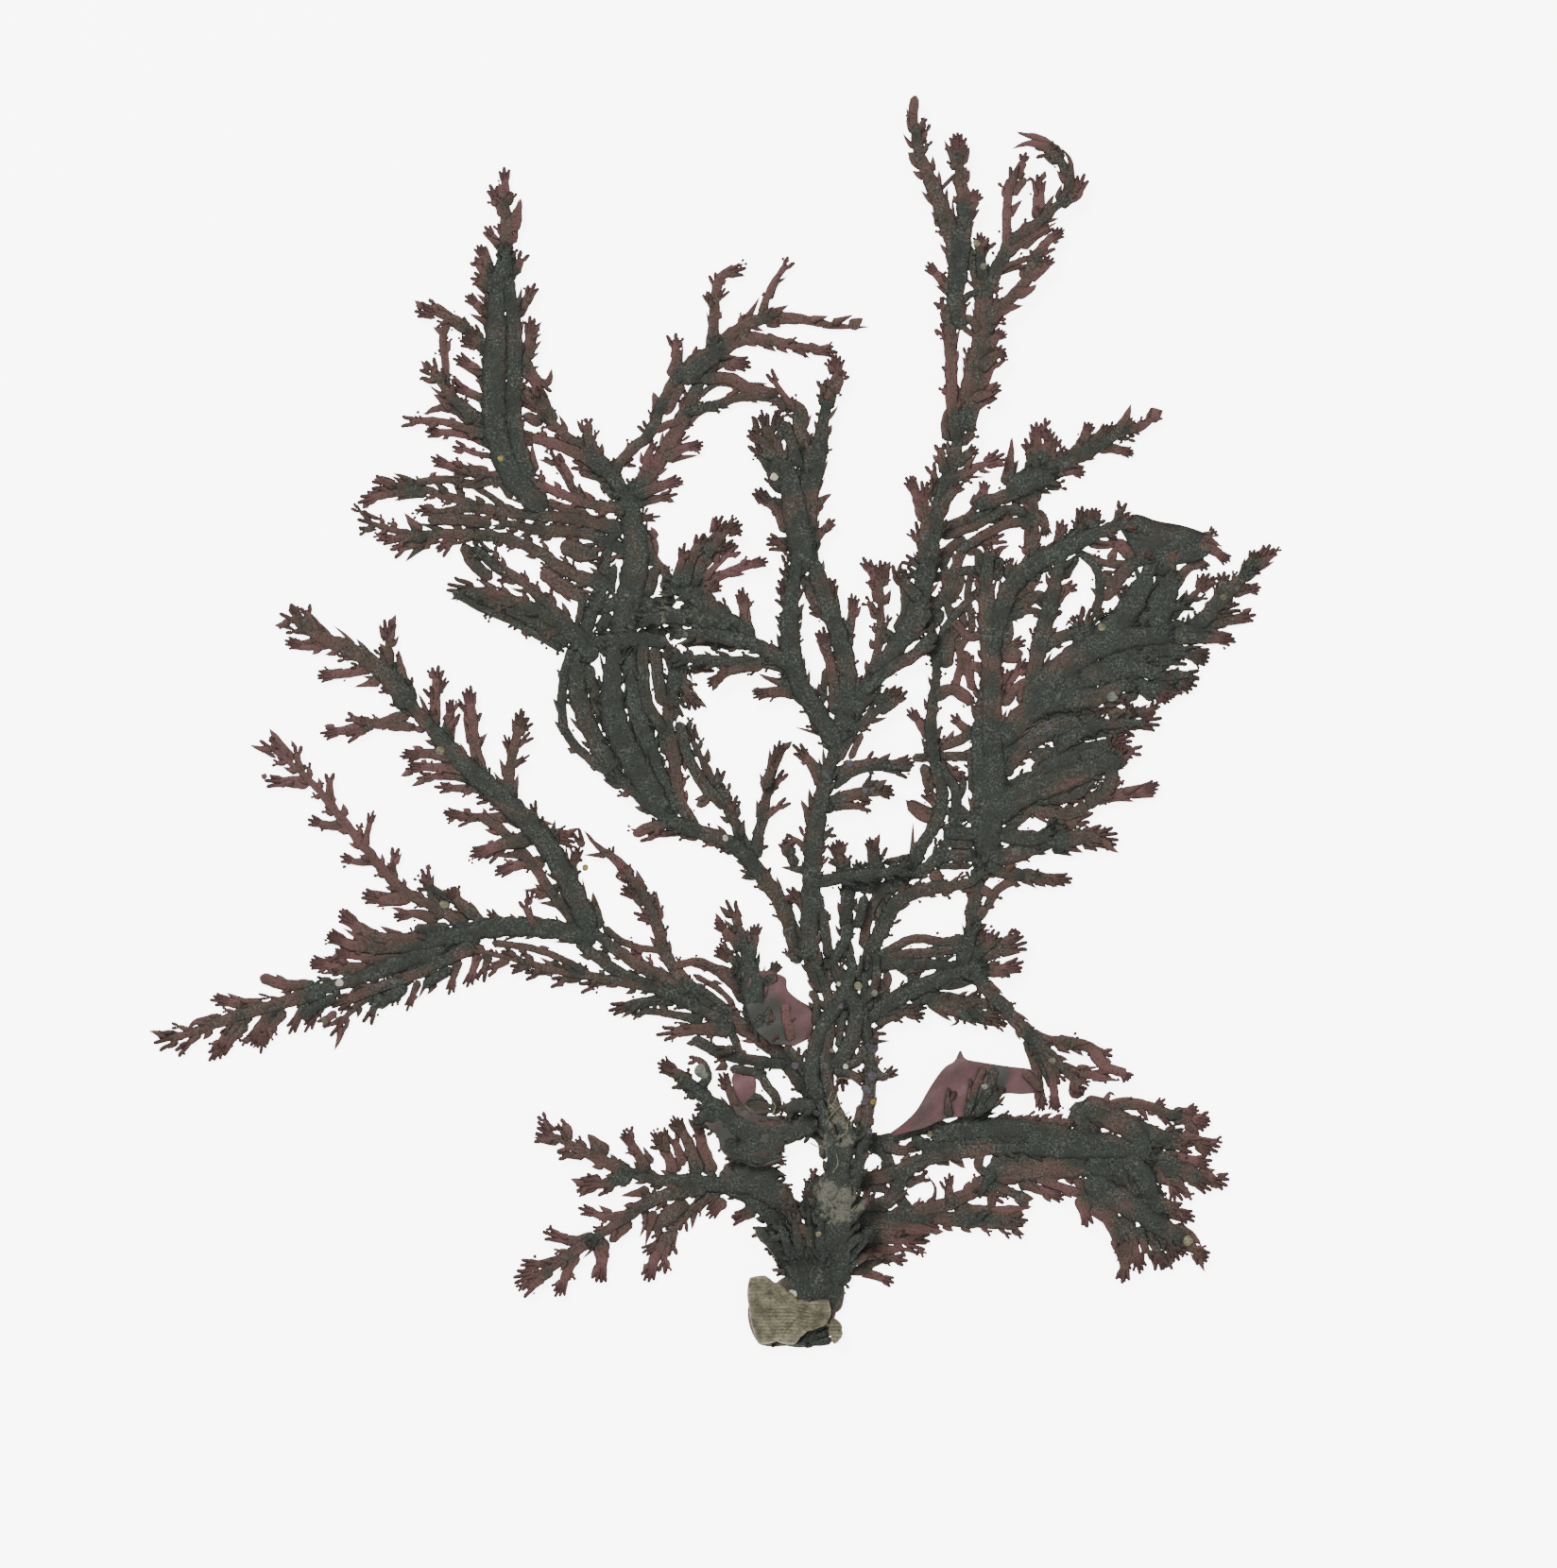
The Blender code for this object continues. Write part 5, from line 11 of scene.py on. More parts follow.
import bpy
import numpy as np
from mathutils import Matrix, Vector

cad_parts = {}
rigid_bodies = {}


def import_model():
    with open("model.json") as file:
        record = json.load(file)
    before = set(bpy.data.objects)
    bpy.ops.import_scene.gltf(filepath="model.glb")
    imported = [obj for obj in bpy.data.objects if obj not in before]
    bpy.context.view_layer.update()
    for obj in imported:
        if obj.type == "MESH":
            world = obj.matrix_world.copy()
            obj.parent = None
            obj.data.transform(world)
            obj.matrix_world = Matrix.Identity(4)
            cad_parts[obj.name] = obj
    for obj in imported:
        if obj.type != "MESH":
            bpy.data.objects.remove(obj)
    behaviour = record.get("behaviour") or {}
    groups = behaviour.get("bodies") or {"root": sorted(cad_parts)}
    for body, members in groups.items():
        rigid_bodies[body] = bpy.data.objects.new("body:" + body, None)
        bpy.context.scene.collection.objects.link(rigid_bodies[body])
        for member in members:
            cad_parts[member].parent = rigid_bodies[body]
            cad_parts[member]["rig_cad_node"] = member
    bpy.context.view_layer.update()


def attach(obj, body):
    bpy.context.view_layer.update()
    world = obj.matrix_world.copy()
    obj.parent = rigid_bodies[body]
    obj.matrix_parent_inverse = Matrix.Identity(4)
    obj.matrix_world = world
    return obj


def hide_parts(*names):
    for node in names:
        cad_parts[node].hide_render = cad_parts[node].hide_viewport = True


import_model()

bl_info = {
    "name": "Pressed red seaweed",
    "version": (1, 0, 0),
    "blender": (4, 5, 0),
    "location": "View3D > Sidebar > Seaweed",
    "description": "Fine surfaces and finishes of a pressed and dried Odonthalia",
    "category": "Object",
}

MM = 0.001
TENTHS = 10

# Where the plant lies, as in the solids
STEP = 0.75
SHEET = 0.6
WAVE = 0.3
WAVE_X = 47.0
WAVE_Y = 41.0
WAVE_START_X = 0.0
WAVE_START_Y = 0.25
LEVEL_RADIUS = 7.0
WAVE_RADIUS = 22.0
FOOT = 0.8
STEM = 1.5
BUNDLE = 2.7
FOOT_END = 3.8
BUNDLE_START = 7.0
BUNDLE_END = 31.0
BUNDLE_LAY = (0.7, 0.97)
WEST_SHIFT = (0.0, -0.1)
NO_SHIFT = (0.0, 0.0)

# Strands
STATION = 0.36
NARROW_COLUMNS = 5
WIDE_COLUMNS = 9
WIDE_FROM = 1.3
THIN = 0.16
THICKER = 0.06
THICKEST = 0.3
TIP_THINNER = 0.3
STEM_SHARE = 0.5
STEM_ROUND = 0.7
RIM = 0.5
DOME = 0.35
FLAT_SHARE = 0.7
LEAST_CAP = 0.15
LEAST_CLOSE = 0.1
LEAST_HALF = 0.02
POLE_SHARE = 0.3
POLE_TUCK = 0.06
SPUR_ROOT = 1.35
SPUR_TAPER = 0.75
TWIG_ROOT = 1.02
TWIG_TAPER = 0.15
FLARE = 0.75
FLARE_START = 0.45
FLARE_LENGTH = 0.55

# Edges: each side wanders by two sines, a long and a short one, wave lengths in millimetres
RAGGED = 0.07
RAGGED_SHARE = 0.03
EDGE_WAVES = ((2.3, 0.95), (1.9, 1.1))
EDGE_SHORT = 0.8

# Teeth along the edges; on a broad row the flat body is narrower, and the teeth reach its width
BROAD_FROM = 1.25
DENSE_BODY = 0.92
TWIG_BODY = 0.72
END_NARROWING = 0.4
END_NARROWS_FROM = 0.55
TOOTHED_FROM = 0.6
TOOTHED_LENGTH = 3.0
TOOTH_START = 0.6
TOOTH_DRIFT = 0.22
TOOTH_BENDS = ((0.5, 1.2), (1.0, 0.95))
TOOTH_SPACING = 1.7
TOOTH_TINES = (1, 2)
SPARSE_SPACING = 3.4
TOOTH_ANGLE = (0.42, 0.8)
TOOTH_ROOT = (0.0, 0.6)
TOOTH_OUT = (0.0, 0.4)
TOOTH_WIDTH = (0.34, 0.58)
TOOTH_LONGEST = 2.8
TOOTH_LAY = (0.0, 0.12)
TOOTH_TONE = 0.8
TOOTH_BACK = 0.6
TOOTH_STATION = 0.5
END_TEETH = 4
END_LONGEST = 1.5
END_ANGLE = (0.1, 0.6)
LAY_MOST = 0.22

# Tines at the end of a twig
TINE_LENGTH = 0.9
TINE_LENGTH_SHARE = 0.4
TINE_LENGTH_MOST = 0.6
TINE_SPREAD = 0.06
TINE_SPREAD_SHARE = 0.52
TINE_ARC = 0.34
TINE_DROP = 0.12
TINE_DRIFT = 0.05
TINE_ROOT = (1.4, 0.3)
TINE_MIDDLE = (0.6, 0.72)
TINE_WIDTH = 0.42
TINE_CROWDED = 1.15
TINE_OVERLAP = 0.08
TINE_TAPER = (1.1, 0.2)
TINE_STATION = 0.45
TINE_BLUNT = 0.8
MORE_TINES_FROM = 0.85
TINE_COLUMNS = 3
TINE_THICK = 0.2
TINE_THINNER = 0.25
TINE_LAY = 0.06
BODY_END = 0.75

# Map of how many layers lie over each other
MAP_LOW = (-62.0, -6.0)
MAP_HIGH = (46.0, 113.0)
MAP_PITCH = 0.2
MAP_BLUR = 0.42
ZONE_CORE = 0.35

# Branches of each frond: width, tines at the tip, then x and y of each point of the route.
# Widths and routes are in tenths of a millimetre. No tines is a plain end, and one is a spur.
STEMS = (
    (13, 0, 1, 6, -6, 40, -22, 84), (13, 0, 5, 6, 0, 42, -9, 90), (13, 0, 9, 6, 8, 44, 4, 94),
    (13, 0, 14, 6, 15, 44, 16, 96), (13, 0, 19, 6, 23, 44, 28, 94), (10, 0, -2, 18, -12, 42, -30, 76),
    (10, 0, 24, 10, 32, 46, 48, 88), (10, 0, 27, 24, 40, 50, 62, 80), (10, 0, -4, 30, -22, 56, -42, 80),
    (22, 0, 34, 26, 34, 72, 40, 122), (24, 0, 20, 50, 30, 96, 34, 136, 46, 170),
    (16, 0, 6, 80, 22, 110, 28, 146, 20, 176, 12, 202),
    (13, 0, 44, 110, 53, 150, 59, 194, 60, 234, 55, 274, 56, 310),
    (14, 0, 42, 156, 32, 178, 24, 200, 20, 230, 24, 266, 20, 296, 9, 320),
    (16, 0, 16, 190, 8, 220, 16, 256, 34, 284, 44, 310, 40, 330),
    (17, 0, 26, 220, 42, 244, 48, 274, 34, 302, 24, 322), (10, 0, 32, 224, 48, 228, 58, 244),
    (9, 0, 44, 270, 64, 296, 66, 326), (8, 3, 60, 224, 72, 214, 86, 222), (4, 1, 58, 246, 78, 247),
    (6, 1, 60, 240, 68, 256), (16, 0, 14, 186, -6, 189, -16, 182),
)
SOUTH_WEST = (
    # lower left spray
    (16, 0, -6, 40, -24, 82, -56, 110, -94, 120, -134, 122, -164, 132),
    (15, 3, -158, 129, -180, 139, -200, 149, -222, 160, -240, 172),
    (8, 2, -213, 156, -212, 168, -223, 175), (8, 2, -219, 157, -232, 158, -244, 161),
    (7, 2, -196, 144, -210, 144, -224, 143), (12, 1, -179, 142, -186, 154, -194, 163),
    (9, 3, -140, 128, -151, 149, -163, 166), (5, 1, -136, 136, -144, 152),
    (9, 3, -116, 126, -123, 147, -136, 165), (6, 2, -124, 150, -141, 156),
    (6, 3, -122, 146, -124, 158, -125, 169), (11, 4, -94, 126, -103, 154, -117, 179),
    (11, 3, -82, 126, -91, 154, -97, 182), (6, 1, -110, 130, -129, 145),
    (14, 3, -154, 125, -178, 119, -206, 114), (5, 1, -182, 123, -201, 124),
    (7, 1, -138, 112, -164, 107), (7, 2, -170, 116, -189, 110),
    (14, 0, -86, 114, -120, 109, -144, 99, -169, 82, -192, 66),
    (14, 3, -184, 70, -206, 58, -232, 40, -260, 31), (8, 3, -152, 91, -178, 89, -203, 97),
    (5, 1, -172, 90, -184, 99), (10, 2, -186, 69, -210, 67, -235, 75), (4, 1, -210, 69, -225, 76),
    (8, 3, -209, 54, -232, 47, -256, 45), (8, 2, -226, 42, -240, 29, -257, 17),
    (12, 3, -183, 70, -181, 50, -184, 27), (9, 3, -204, 56, -213, 37, -221, 16),
    (5, 1, -142, 96, -142, 82, -147, 70), (10, 0, -80, 110, -104, 92, -122, 72),
    (11, 3, -120, 74, -133, 52, -141, 30), (7, 3, -127, 66, -146, 55),
    (6, 2, -122, 66, -125, 50, -128, 35), (7, 2, -116, 78, -118, 64, -117, 51),
    (6, 1, -134, 94, -139, 74, -142, 62), (5, 2, -106, 92, -108, 71), (5, 1, -98, 96, -100, 77),
    (9, 3, -70, 104, -86, 88), (8, 2, -42, 94, -68, 83), (7, 2, -26, 76, -50, 74),
    (8, 3, -16, 58, -36, 59), (8, 3, -10, 42, -28, 40),
)
SOUTH_EAST = (
    # the sprays by the foot
    (9, 0, 22, 34, 42, 39, 58, 40), (8, 3, 52, 40, 68, 34, 83, 28),
    (9, 2, 50, 38, 66, 49, 80, 51, 94, 49), (7, 2, 22, 32, 36, 28, 39, 21),
    (20, 1, 18, 58, 54, 59, 89, 58), (16, 3, 24, 66, 70, 69, 112, 61), (6, 2, 86, 69, 118, 69),
    (20, 1, 24, 74, 74, 79, 127, 75),
    # the lower strand
    (15, 0, 28, 88, 70, 87, 110, 88, 150, 84, 195, 80), (10, 2, 140, 86, 174, 86, 202, 85),
    (14, 1, 136, 90, 170, 92, 206, 98), (9, 0, 169, 94, 170, 110, 169, 126),
    (9, 0, 202, 96, 192, 108, 178, 114, 168, 119), (9, 1, 190, 106, 208, 105),
    (15, 0, 76, 88, 108, 94, 134, 102, 158, 116, 176, 138, 196, 156),
    (7, 3, 133, 96, 132, 112, 131, 129), (5, 2, 132, 106, 124, 126),
    (3, 1, 116, 100, 119, 114, 111, 127), (8, 2, 172, 130, 162, 114, 154, 106),
    # the tangle between the strands
    (15, 0, 40, 120, 76, 126, 104, 138, 140, 147, 180, 150, 220, 150),
    (14, 0, 40, 98, 76, 102, 90, 124, 106, 136), (11, 0, 56, 154, 72, 146, 80, 128, 86, 108, 96, 92),
    (10, 3, 72, 154, 90, 148, 106, 154), (8, 2, 90, 118, 104, 122, 116, 126),
    (7, 1, 124, 142, 132, 134), (7, 1, 134, 144, 146, 132), (9, 0, 160, 148, 158, 134, 168, 126),
    # the upper strand
    (10, 0, 46, 156, 74, 158, 100, 165, 130, 172),
    (20, 0, 114, 162, 144, 166, 180, 168, 220, 166, 254, 160),
    (13, 0, 140, 170, 180, 173, 224, 173, 252, 174),
    (12, 0, 98, 160, 112, 152, 134, 154, 174, 159, 216, 158), (15, 3, 144, 168, 154, 186, 172, 206),
    (12, 3, 150, 172, 164, 186, 179, 202), (5, 1, 150, 178, 174, 182), (6, 2, 194, 168, 193, 178),
    # the broad end
    (30, 0, 168, 128, 206, 134, 246, 136, 286, 134), (26, 0, 196, 156, 236, 152, 276, 152, 314, 144),
    (26, 0, 248, 192, 256, 166, 266, 136, 276, 116), (24, 0, 252, 190, 276, 178, 296, 166, 312, 146),
    (24, 0, 270, 146, 294, 126, 310, 106, 322, 86), (26, 0, 254, 122, 280, 106, 304, 92, 320, 76),
    (22, 0, 290, 144, 306, 124, 316, 102), (9, 3, 194, 120, 218, 111, 236, 105),
    (6, 1, 198, 119, 217, 108), (9, 0, 236, 130, 250, 116, 252, 100),
    (12, 2, 250, 196, 245, 206, 256, 204), (5, 1, 250, 190, 238, 184),
    # the sprays round it, from the top
    (7, 1, 268, 180, 272, 192, 276, 200, 281, 197), (8, 1, 270, 184, 286, 192, 307, 194),
    (10, 0, 280, 188, 306, 189, 326, 182, 342, 179), (10, 3, 332, 180, 344, 182, 356, 186),
    (7, 3, 316, 186, 326, 195), (5, 1, 302, 188, 311, 174), (7, 3, 320, 183, 333, 169),
    (13, 4, 332, 178, 348, 175, 366, 171), (7, 1, 344, 173, 357, 163),
    (18, 0, 288, 176, 310, 164, 336, 158), (15, 3, 326, 160, 352, 156, 375, 149),
    (7, 1, 340, 162, 362, 159), (19, 0, 300, 146, 324, 140, 340, 134),
    (11, 3, 326, 142, 348, 139, 368, 137), (19, 0, 320, 134, 342, 129, 360, 125),
    (14, 3, 352, 127, 368, 123, 383, 119), (9, 2, 346, 124, 368, 112),
    (15, 3, 310, 132, 330, 120, 344, 104), (7, 1, 332, 124, 349, 108), (9, 2, 304, 120, 322, 109),
    (11, 2, 308, 108, 326, 100, 343, 93), (11, 3, 310, 102, 332, 94, 353, 86), (5, 1, 328, 92, 344, 83),
    (20, 0, 306, 88, 328, 76, 342, 68), (10, 1, 332, 76, 348, 72, 358, 63),
    (15, 4, 336, 72, 350, 60, 363, 48), (14, 3, 318, 78, 330, 64, 337, 47),
    (14, 2, 310, 84, 318, 60, 325, 39), (8, 2, 302, 80, 307, 62, 310, 45),
    (10, 3, 292, 86, 298, 60, 305, 38), (11, 2, 288, 90, 292, 60, 289, 44, 287, 29),
    (16, 0, 254, 110, 270, 96, 284, 78, 290, 66), (6, 3, 280, 80, 284, 64, 283, 53),
    (3, 1, 284, 62, 278, 59), (11, 1, 252, 108, 253, 94, 254, 79),
)
WEST = (
    # the stem up to where it forks
    (17, 0, 16, 186, -4, 214, -28, 242, -60, 264, -92, 284, -136, 309, -174, 334, -200, 358),
    (11, 0, -14, 226, -44, 230, -72, 236, -100, 250), (8, 0, -56, 232, -62, 250, -74, 268),
    (15, 1, -44, 286, -64, 304, -84, 314, -102, 316), (16, 0, -34, 252, -46, 272, -48, 294),
    (11, 0, -90, 274, -130, 294, -170, 312, -204, 338),
    # upper arm
    (22, 0, -190, 346, -209, 386, -232, 426, -266, 462, -300, 492, -330, 524, -358, 556),
    (23, 2, -352, 548, -376, 578, -404, 598, -436, 612, -454, 624, -471, 632),
    (10, 0, -198, 344, -224, 378, -246, 410, -270, 436, -290, 450),
    (8, 3, -446, 618, -455, 629, -460, 640), (8, 2, -437, 612, -445, 629, -449, 642),
    (9, 3, -424, 607, -445, 603, -467, 606), (13, 3, -372, 574, -373, 600, -374, 627),
    (5, 1, -372, 604, -368, 619), (5, 1, -374, 596, -381, 606),
    (12, 1, -356, 554, -362, 578, -364, 600), (8, 2, -392, 592, -403, 603),
    (7, 1, -408, 598, -417, 608), (9, 3, -388, 584, -414, 578, -439, 575), (5, 1, -412, 579, -432, 581),
    (6, 1, -380, 572, -404, 566), (13, 0, -354, 542, -376, 534, -394, 532),
    (7, 2, -388, 534, -402, 537, -414, 541), (9, 3, -388, 532, -410, 528, -434, 523),
    (6, 2, -392, 529, -414, 517), (10, 2, -333, 528, -331, 550, -330, 570, -328, 586),
    (6, 2, -331, 554, -341, 570), (6, 3, -329, 560, -320, 576), (4, 1, -330, 572, -335, 584),
    (9, 3, -324, 518, -318, 538, -316, 556), (5, 1, -320, 526, -311, 541),
    (11, 3, -290, 486, -295, 512, -298, 540, -301, 567), (6, 2, -297, 528, -291, 549),
    (6, 3, -298, 538, -310, 556), (5, 1, -294, 512, -284, 525), (5, 1, -298, 514, -306, 539),
    (5, 1, -286, 482, -287, 502), (10, 3, -264, 464, -264, 490, -259, 516, -252, 546),
    (6, 3, -262, 504, -269, 524), (4, 1, -258, 524, -262, 539), (5, 2, -255, 526, -241, 539),
    (5, 2, -259, 512, -241, 525), (5, 3, -262, 494, -246, 505), (5, 1, -266, 484, -273, 502),
    (6, 1, -262, 466, -256, 488), (5, 2, -240, 444, -244, 467),
    (15, 3, -244, 444, -224, 432, -203, 429), (4, 1, -226, 432, -223, 447),
    (9, 3, -202, 376, -208, 400, -202, 424), (10, 1, -186, 348, -187, 364, -189, 382),
    (10, 4, -310, 500, -334, 506, -362, 504), (5, 1, -334, 506, -349, 510),
    (9, 3, -302, 492, -330, 494, -358, 494), (8, 3, -292, 482, -320, 486, -349, 484),
    (8, 3, -282, 474, -306, 475, -332, 476), (6, 2, -272, 466, -298, 464),
    (9, 4, -260, 449, -294, 449, -324, 453), (5, 2, -292, 449, -314, 442),
    (12, 4, -244, 430, -272, 424, -300, 414), (6, 1, -264, 426, -272, 438),
    (6, 1, -252, 428, -262, 435), (6, 2, -268, 423, -287, 407),
    (10, 3, -232, 408, -256, 406, -278, 398), (7, 2, -218, 386, -248, 379),
    (6, 1, -212, 370, -238, 372), (6, 1, -224, 404, -216, 422),
    # the long lower arm
    (20, 0, -186, 338, -224, 348, -270, 350, -310, 342, -354, 322, -400, 304, -442, 292),
    (17, 2, -430, 294, -468, 282, -510, 270, -550, 255, -585, 246), (5, 1, -560, 252, -582, 253),
    (6, 2, -542, 256, -567, 233), (7, 1, -524, 267, -548, 264, -554, 253),
    (11, 0, -438, 298, -464, 298, -489, 305), (10, 3, -486, 280, -506, 281, -533, 286),
    (5, 1, -502, 281, -519, 291), (10, 3, -474, 278, -489, 260, -499, 244),
    (7, 3, -484, 266, -488, 237), (11, 3, -502, 271, -520, 250, -533, 229),
    (6, 2, -512, 260, -526, 249), (8, 3, -446, 284, -463, 254), (7, 3, -434, 280, -448, 256),
    (6, 2, -420, 274, -438, 259), (14, 2, -322, 328, -364, 302, -402, 279, -425, 252),
    (7, 2, -380, 290, -394, 260), (12, 3, -296, 334, -344, 310, -386, 294, -424, 280),
    (6, 3, -346, 302, -357, 274), (4, 1, -336, 306, -346, 286), (7, 3, -310, 322, -319, 288),
    (7, 3, -292, 326, -303, 294), (6, 2, -282, 326, -292, 298),
    (12, 3, -280, 350, -330, 342, -382, 341, -419, 363), (6, 1, -386, 342, -399, 355),
    (6, 1, -360, 340, -381, 351), (12, 4, -302, 344, -360, 332, -402, 333, -430, 344),
    (6, 1, -384, 332, -414, 349), (10, 4, -330, 332, -376, 322, -423, 328),
    (11, 4, -320, 330, -370, 316, -416, 314, -446, 319), (6, 1, -408, 314, -432, 324),
    (6, 1, -406, 312, -434, 308),
    # the slender arm that bends up
    (14, 2, -302, 352, -334, 369, -363, 386, -388, 414, -414, 446, -438, 476, -464, 500, -488, 518),
    (9, 1, -464, 500, -471, 514, -480, 529), (6, 2, -368, 392, -369, 410, -366, 424),
    (4, 1, -368, 406, -361, 417), (6, 3, -395, 422, -391, 440, -387, 455),
    (7, 2, -426, 462, -426, 478, -426, 492), (6, 2, -450, 488, -455, 502, -454, 518),
    (10, 2, -444, 480, -464, 481, -486, 482), (4, 1, -458, 481, -477, 476),
    (8, 3, -413, 442, -430, 442, -447, 448), (4, 1, -422, 442, -435, 438),
    (7, 3, -384, 410, -402, 409, -418, 414), (12, 3, -352, 379, -374, 375, -399, 379),
    (5, 1, -370, 376, -384, 383), (5, 1, -364, 374, -385, 368), (9, 3, -328, 356, -348, 362, -370, 360),
    (6, 2, -332, 368, -337, 388, -341, 407), (4, 1, -336, 384, -332, 398),
    (8, 2, -320, 366, -334, 384, -351, 390), (10, 3, -294, 358, -310, 374, -319, 386),
    (7, 1, -290, 352, -300, 374), (6, 3, -268, 350, -285, 367), (6, 2, -240, 348, -248, 364, -254, 378),
    (4, 1, -246, 358, -245, 370), (5, 1, -254, 350, -264, 363), (6, 1, -222, 348, -238, 359),
    # the olive strand under it
    (13, 3, -70, 264, -120, 290, -176, 303, -226, 312, -270, 324, -316, 332),
    (7, 2, -170, 304, -204, 294), (7, 2, -196, 308, -231, 299), (6, 2, -226, 312, -254, 305),
    (6, 2, -244, 316, -266, 311), (6, 2, -264, 322, -289, 306), (6, 2, -208, 308, -224, 323),
    (5, 2, -248, 316, -274, 334), (10, 2, -114, 286, -146, 282, -176, 275),
    (5, 1, -148, 280, -164, 268), (12, 2, -64, 258, -98, 258, -132, 253),
    # the slender branch that ends in a red blade
    (13, 0, -94, 288, -122, 322, -132, 354, -144, 380, -160, 400),
    (8, 1, -154, 394, -170, 412, -184, 422, -197, 437), (6, 1, -132, 360, -132, 383),
    (5, 1, -128, 336, -125, 353), (7, 1, -144, 380, -150, 402), (10, 3, -140, 372, -165, 387),
    (9, 2, -133, 356, -152, 363), (4, 2, -172, 412, -173, 426), (4, 1, -176, 415, -197, 415),
)
